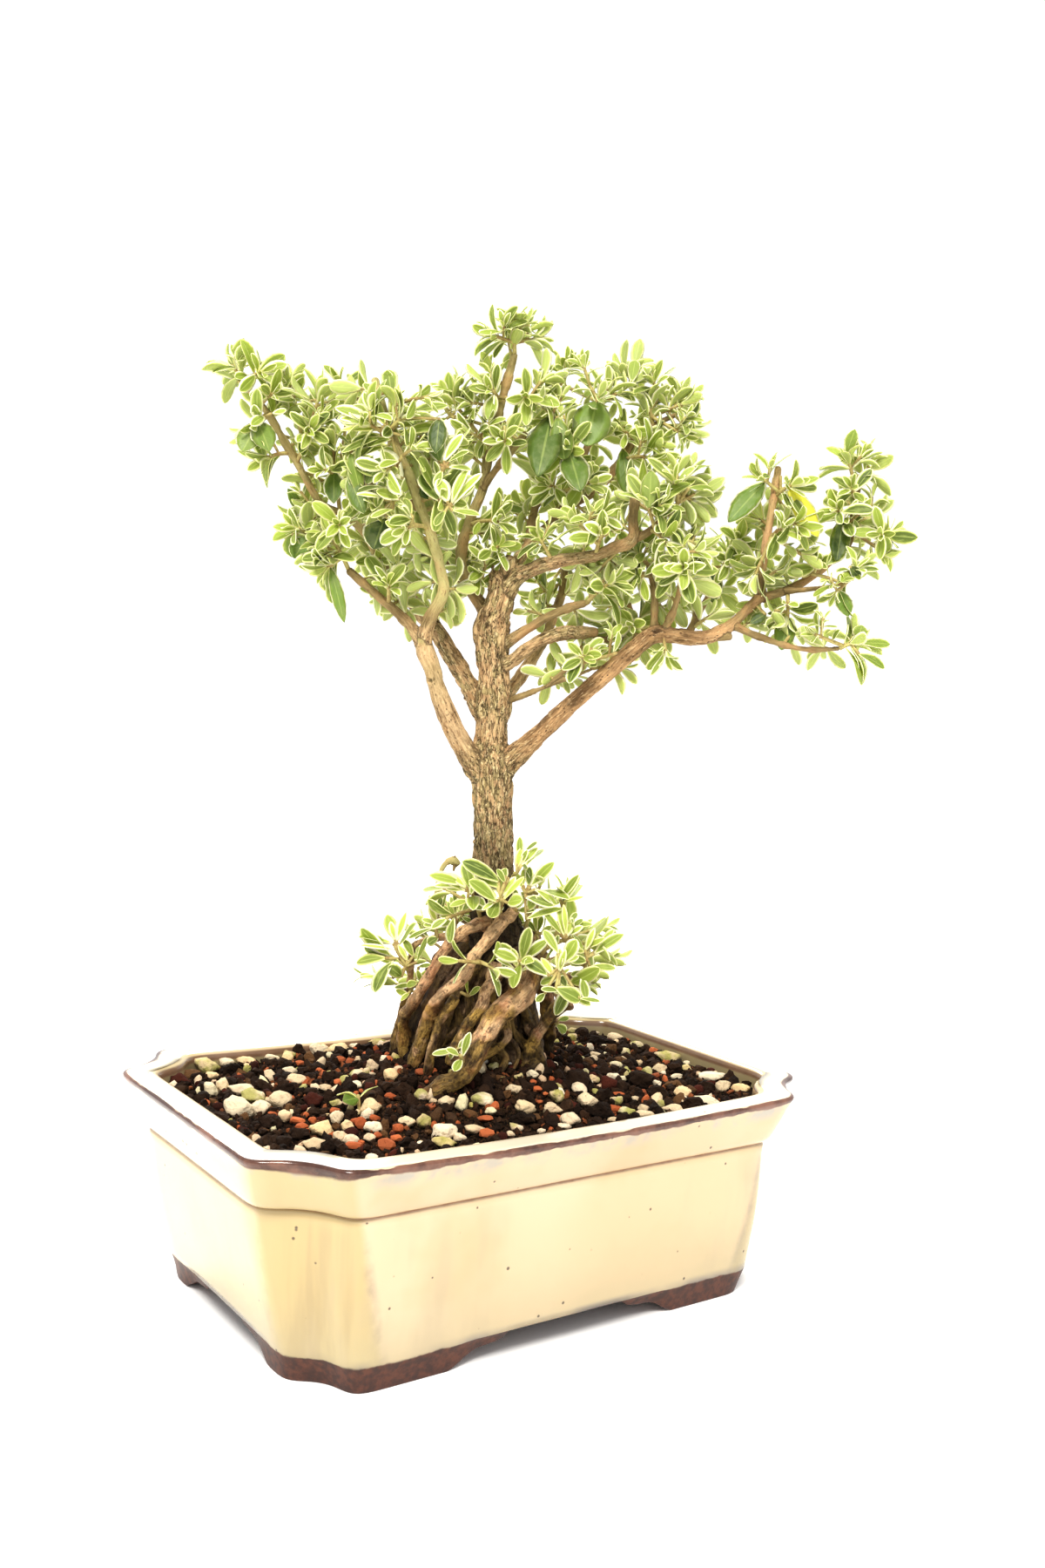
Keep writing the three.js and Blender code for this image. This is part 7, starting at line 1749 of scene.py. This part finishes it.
def growRosettes(places, bones, boneSeen, behind, firstSeed, young, size, upright=0):
    # each rosette stands on a short twig from the nearest limb or twig, preferably one below it
    sets, twigs = [], []
    for k, (right, up) in enumerate(places):
        seed = firstSeed + 60 * k
        apart = np.hypot(boneSeen[:, 0] - right, boneSeen[:, 1] - up)
        cost = apart + 4 * (boneSeen[:, 1] > up + 1) + 3 * (apart < 3.5)
        foot = int(cost.argmin())
        shift = between(-10, -2, seed + 0.5) if behind[foot] else between(-9, 9, seed + 0.5)
        end = seen((right, up, boneSeen[foot, 2] + float(shift)))
        path = twigPath(bones[foot, :3], end, 0.1, 4, False, 0.7)
        twigs.append(path)
        length = float(between(*size, seed + 0.8))
        sets.append(leafPairs(path, 0.6, 1.0, 4, 68 - upright, 18, length, seed, young))
    return sets, twigs


def growFillers(crownLimbs, wanted, firstSeed, apart):
    # leafy shoots on the far side of the crown, where the photograph shows leaves in front of them
    sets, twigs = [], []
    for limb, path in enumerate(crownLimbs):
        step = travelled(path)
        for n, at in enumerate(np.arange(3.0, step[-1], apart)):
            seed = firstSeed + 300 * limb + 13 * n
            foot = path[int(np.searchsorted(step, at))]
            if foot[3] > filler["thinnest"]:
                continue
            draw = [float(chance(seed + d)) for d in (0.12, 0.34, 0.56, 0.78)]
            way = unit(pictureRight * (2 * draw[0] - 1) + pictureUp * (1.6 * draw[1] - 0.5)
                       - towardEye * (0.35 + 1.1 * draw[2]))
            end = foot[:3] + way * (filler["short"] + (filler["long"] - filler["short"]) * draw[3])
            if np.hypot(*(wanted - asSeen(end)[:2]).T).min() > filler["near"]:
                continue
            twig = twigPath(foot[:3], end, 0.08, 4, False, 0.7)
            twigs.append(twig)
            length = float(between(*filler["length"], seed + 0.9))
            sets.append(leafPairs(twig, *pairRows["filler"], length, seed, 0.0))
    return sets, twigs


def nearestBone(boneSeen, right, up):
    return int(np.hypot(boneSeen[:, 0] - right, boneSeen[:, 1] - up).argmin())


def growTufts(entries, bones, boneSeen, firstSeed):
    # shoots placed by their middle in the picture, each leaf of them by its own foot and tip
    sets, twigs = [], []
    for k, (x, y, leaves) in enumerate(entries):
        right, up = fromPicture(x, y)
        near = nearestBone(boneSeen, right, up)
        depth = boneSeen[near, 2] + 3.5
        middle = seen((right, up, depth))
        twigs.append(twigPath(bones[near, :3], middle, 0.05, 1, False, 0.8))
        for n, (x0, y0, x1, y1, width, tone, young) in enumerate(leaves):
            seed = firstSeed + 40 * k + n
            foot = seen((*fromPicture(x0, y0), depth + float(between(-0.8, 1.2, seed))))
            tip = seen((*fromPicture(x1, y1), depth + float(between(-1.5, 5.5, seed + 0.5))))
            tip = tip + (tip - foot) * 0.1
            sets.append(broadLeaf(foot, tip, width / view["pixelsPerMm"] * 1.1, tone, 0.0, seed, young))
            twigs.append(twigPath(middle, foot + unit(tip - foot) * 0.4, 0.02, 1, False, 0.6))
    return sets, twigs


def growBroad(entries, bones, boneSeen, firstSeed):
    # broad leaves placed by their foot and tip in the picture, on a stalk from the nearest twig
    sets, twigs = [], []
    for k, (x0, y0, x1, y1, width, tone, plain) in enumerate(entries):
        right, up = fromPicture([x0, x1], [y0, y1])
        near = nearestBone(boneSeen, right[0], up[0])
        depth = boneSeen[near, 2] + 2.5
        foot = seen((right[0], up[0], depth))
        tip = seen((right[1], up[1], depth + float(between(-3, 5, firstSeed + k))))
        sets.append(broadLeaf(foot, tip, width / view["pixelsPerMm"], tone, plain, firstSeed + k))
        twigs.append(twigPath(bones[near, :3], foot + unit(tip - foot) * 0.3, 0.03, 1, False, 0.6))
    return sets, twigs


def clearView(leaves, bars):
    # leaves are left out where they would hide a stem that the photograph shows
    keep = np.ones(len(leaves["seed"]), bool)
    for share in (0.3, 0.65, 1.0):
        place = asSeen(leaves["foot"] + leaves["way"] * (leaves["length"] * share)[:, None])
        apart = np.hypot(place[:, None, 0] - bars[:, 0], place[:, None, 1] - bars[:, 1])
        keep &= ~((apart < bars[:, 3] + 0.7) & (place[:, None, 2] > bars[:, 2] - 1)).any(1)
    return {key: value[keep] for key, value in leaves.items()}


def shownBars():
    # right, up, toward and radius along the stretches of limb that stay in view
    bars = []
    for key, (low, high) in shownStretches.items():
        path = limbPath(limbs[key], 1.0)
        place = asSeen(path[:, :3])
        inside = (place[:, 1] >= low) & (place[:, 1] <= high)
        bars.append(np.column_stack([place, path[:, 3]])[inside])
    return np.concatenate(bars)


def leafyPiece(name, grown, nodes, paints):
    bars = shownBars()
    sets = [clearView(s, bars) for group in grown for s in group[0]]
    skins = [tubeSkin(smoothPath(path * [1, 1, 1, 0.8], 1.9), 5) for group in grown for path in group[1]]
    makeLeaves(name + "Leaves", sets, paints[0], nodes)
    points, faces = together(skins)
    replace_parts(addPiece(name + "Twigs", points, faces, paints[1]), *nodes)


def growCrown(name, paints, crownLimbs):
    # one piece of the crown: its sprays, then rosettes, filling shoots and listed leaves on the thin
    # limbs and twigs
    part = crownParts[name]
    (left, right), seed = part["reach"], part["seed"]
    sprays = list(enumerate(crownSprays, 1))[slice(*part["sprays"])]
    grown = [growSprays(sprays, 0, 0.0, 0)]
    thin = {key: p[p[:, 3] < 2.5] for key, p in crownLimbs.items()}
    bones = np.concatenate([*thin.values(), *grown[0][1]])
    behind = np.concatenate([np.full(len(p), key in shownLimbs) for key, p in thin.items()]
                            + [np.zeros(len(p), bool) for p in grown[0][1]])
    boneSeen = asSeen(bones[:, :3])
    own = [place for place in crownRosettes if left <= place[0] < right]
    grown.append(growRosettes(own, bones, boneSeen, behind, seed, 0.05, (9.0, 11.5)))
    tips = np.array([tip[:2] for _, ends, _ in crownSprays for tip in ends] + crownRosettes, float)
    tips = tips[(tips[:, 0] > left - 6) & (tips[:, 0] < right + 6)]
    own = [p for p in crownLimbs.values() if left <= asSeen(p[len(p) // 2, :3])[0] < right]
    grown.append(growFillers(own, tips, seed + 20000, part["apart"]))
    for entries, grow, later in ((crownTufts, growTufts, 9000), (broadLeaves, growBroad, 8000)):
        own = [entry for entry in entries if left <= fromPicture(entry[0], 0)[0] < right]
        grown.append(grow(own, bones, boneSeen, seed + later))
    leafyPiece(name, grown, [f"crown_spray_{index:02d}" for index, _ in sprays], paints)


def growBase(paints):
    # the young shoots among the roots
    shoots = list(enumerate(baseShoots, 1))
    grown = [growSprays(shoots, len(crownSprays), 0.1, 32, False)]
    woody = [limbPath(p, 1.5) for p in [*roots.values(), limbs["deadTwig"]]] + grown[0][1]
    bones = np.concatenate(woody)
    rear = np.concatenate([limbPath(roots[key], 1.5) for key in ("backLeft", "backMiddle", "backRight")])
    grown.append(growRosettes(baseRosettes, rear, asSeen(rear[:, :3]), np.ones(len(rear), bool), 90000, 0.1,
                              (8.0, 11.0), 30))
    grown.append(growTufts(baseTufts, bones, asSeen(bones[:, :3]), 98000))
    leafyPiece("base", grown, [f"base_shoot_{index:02d}" for index, _ in shoots], paints)


def makeFoliage():
    paints = leafPaint(), twigPaint()
    bare = ("trunk", "stubKnob", "deadTwig", "deadSpur", "deadDrop", "knobLeft", "knobRight")
    crownLimbs = {key: limbPath(p, 1.5) for key, p in limbs.items() if key not in bare}
    for name in crownParts:
        growCrown(name, paints, crownLimbs)
    growBase(paints)
    weed = growSprays([(1, seedling)], len(crownSprays) + len(baseShoots), 0.3, 20, False)
    leafyPiece("weed", [weed], ["seedling"], paints)


makeFoliage()
print("leaves done")


# floor and light

def addFloor():
    half = 4.0
    mesh = bpy.data.meshes.new("paleFloor")
    corners = [(-half, -half, 0), (half, -half, 0), (half, half, 0), (-half, half, 0)]
    mesh.from_pydata(corners, [], [(0, 1, 2, 3)])
    paint = Paint("paleTable")
    colour = paint.blend(paint.noise(40, 2) * 0.3, (253, 253, 252), (251, 251, 249))
    mesh.materials.append(paint.finish({"Base Color": colour, "Roughness": 0.6, "Specular IOR Level": 0.2}))
    floor = bpy.data.objects.new("paleFloor", mesh)
    bpy.context.scene.collection.objects.link(floor)


def addLight(name, place, target, size, power, colour):
    lamp = bpy.data.lights.new(name, "AREA")
    lamp.shape, lamp.size, lamp.energy, lamp.color = "DISK", size, power, colour
    holder = bpy.data.objects.new(name, lamp)
    back = unit(np.array(place, float) - np.array(target, float))
    side = unit(np.cross((0, 0, 1.0), back))
    turn = np.eye(4)
    turn[:3, 0], turn[:3, 1], turn[:3, 2], turn[:3, 3] = side, np.cross(back, side), back, place
    bpy.context.scene.collection.objects.link(holder)
    holder.matrix_world = Matrix(turn.tolist())


def addStudio():
    scene = bpy.context.scene
    scene.view_settings.view_transform = "Standard"
    scene.view_settings.look = "None"
    scene.view_settings.exposure = 0.2
    scene.view_settings.gamma = 0.9
    world = bpy.data.worlds.new("whiteStudio")
    world.use_nodes = True
    sky = world.node_tree.nodes["Background"]
    sky.inputs["Color"].default_value = (1.0, 1.0, 1.0, 1.0)
    sky.inputs["Strength"].default_value = 1.0
    scene.world = world
    target = (0, 0, 0.12)
    addLight("keyLight", (-0.72, -0.82, 1.38), target, 0.6, 24, (1.0, 0.975, 0.93))
    addLight("backLight", (0.3, 1.1, 1.0), target, 0.8, 16, (1.0, 0.985, 0.94))


addFloor()
addStudio()
print("studio done")
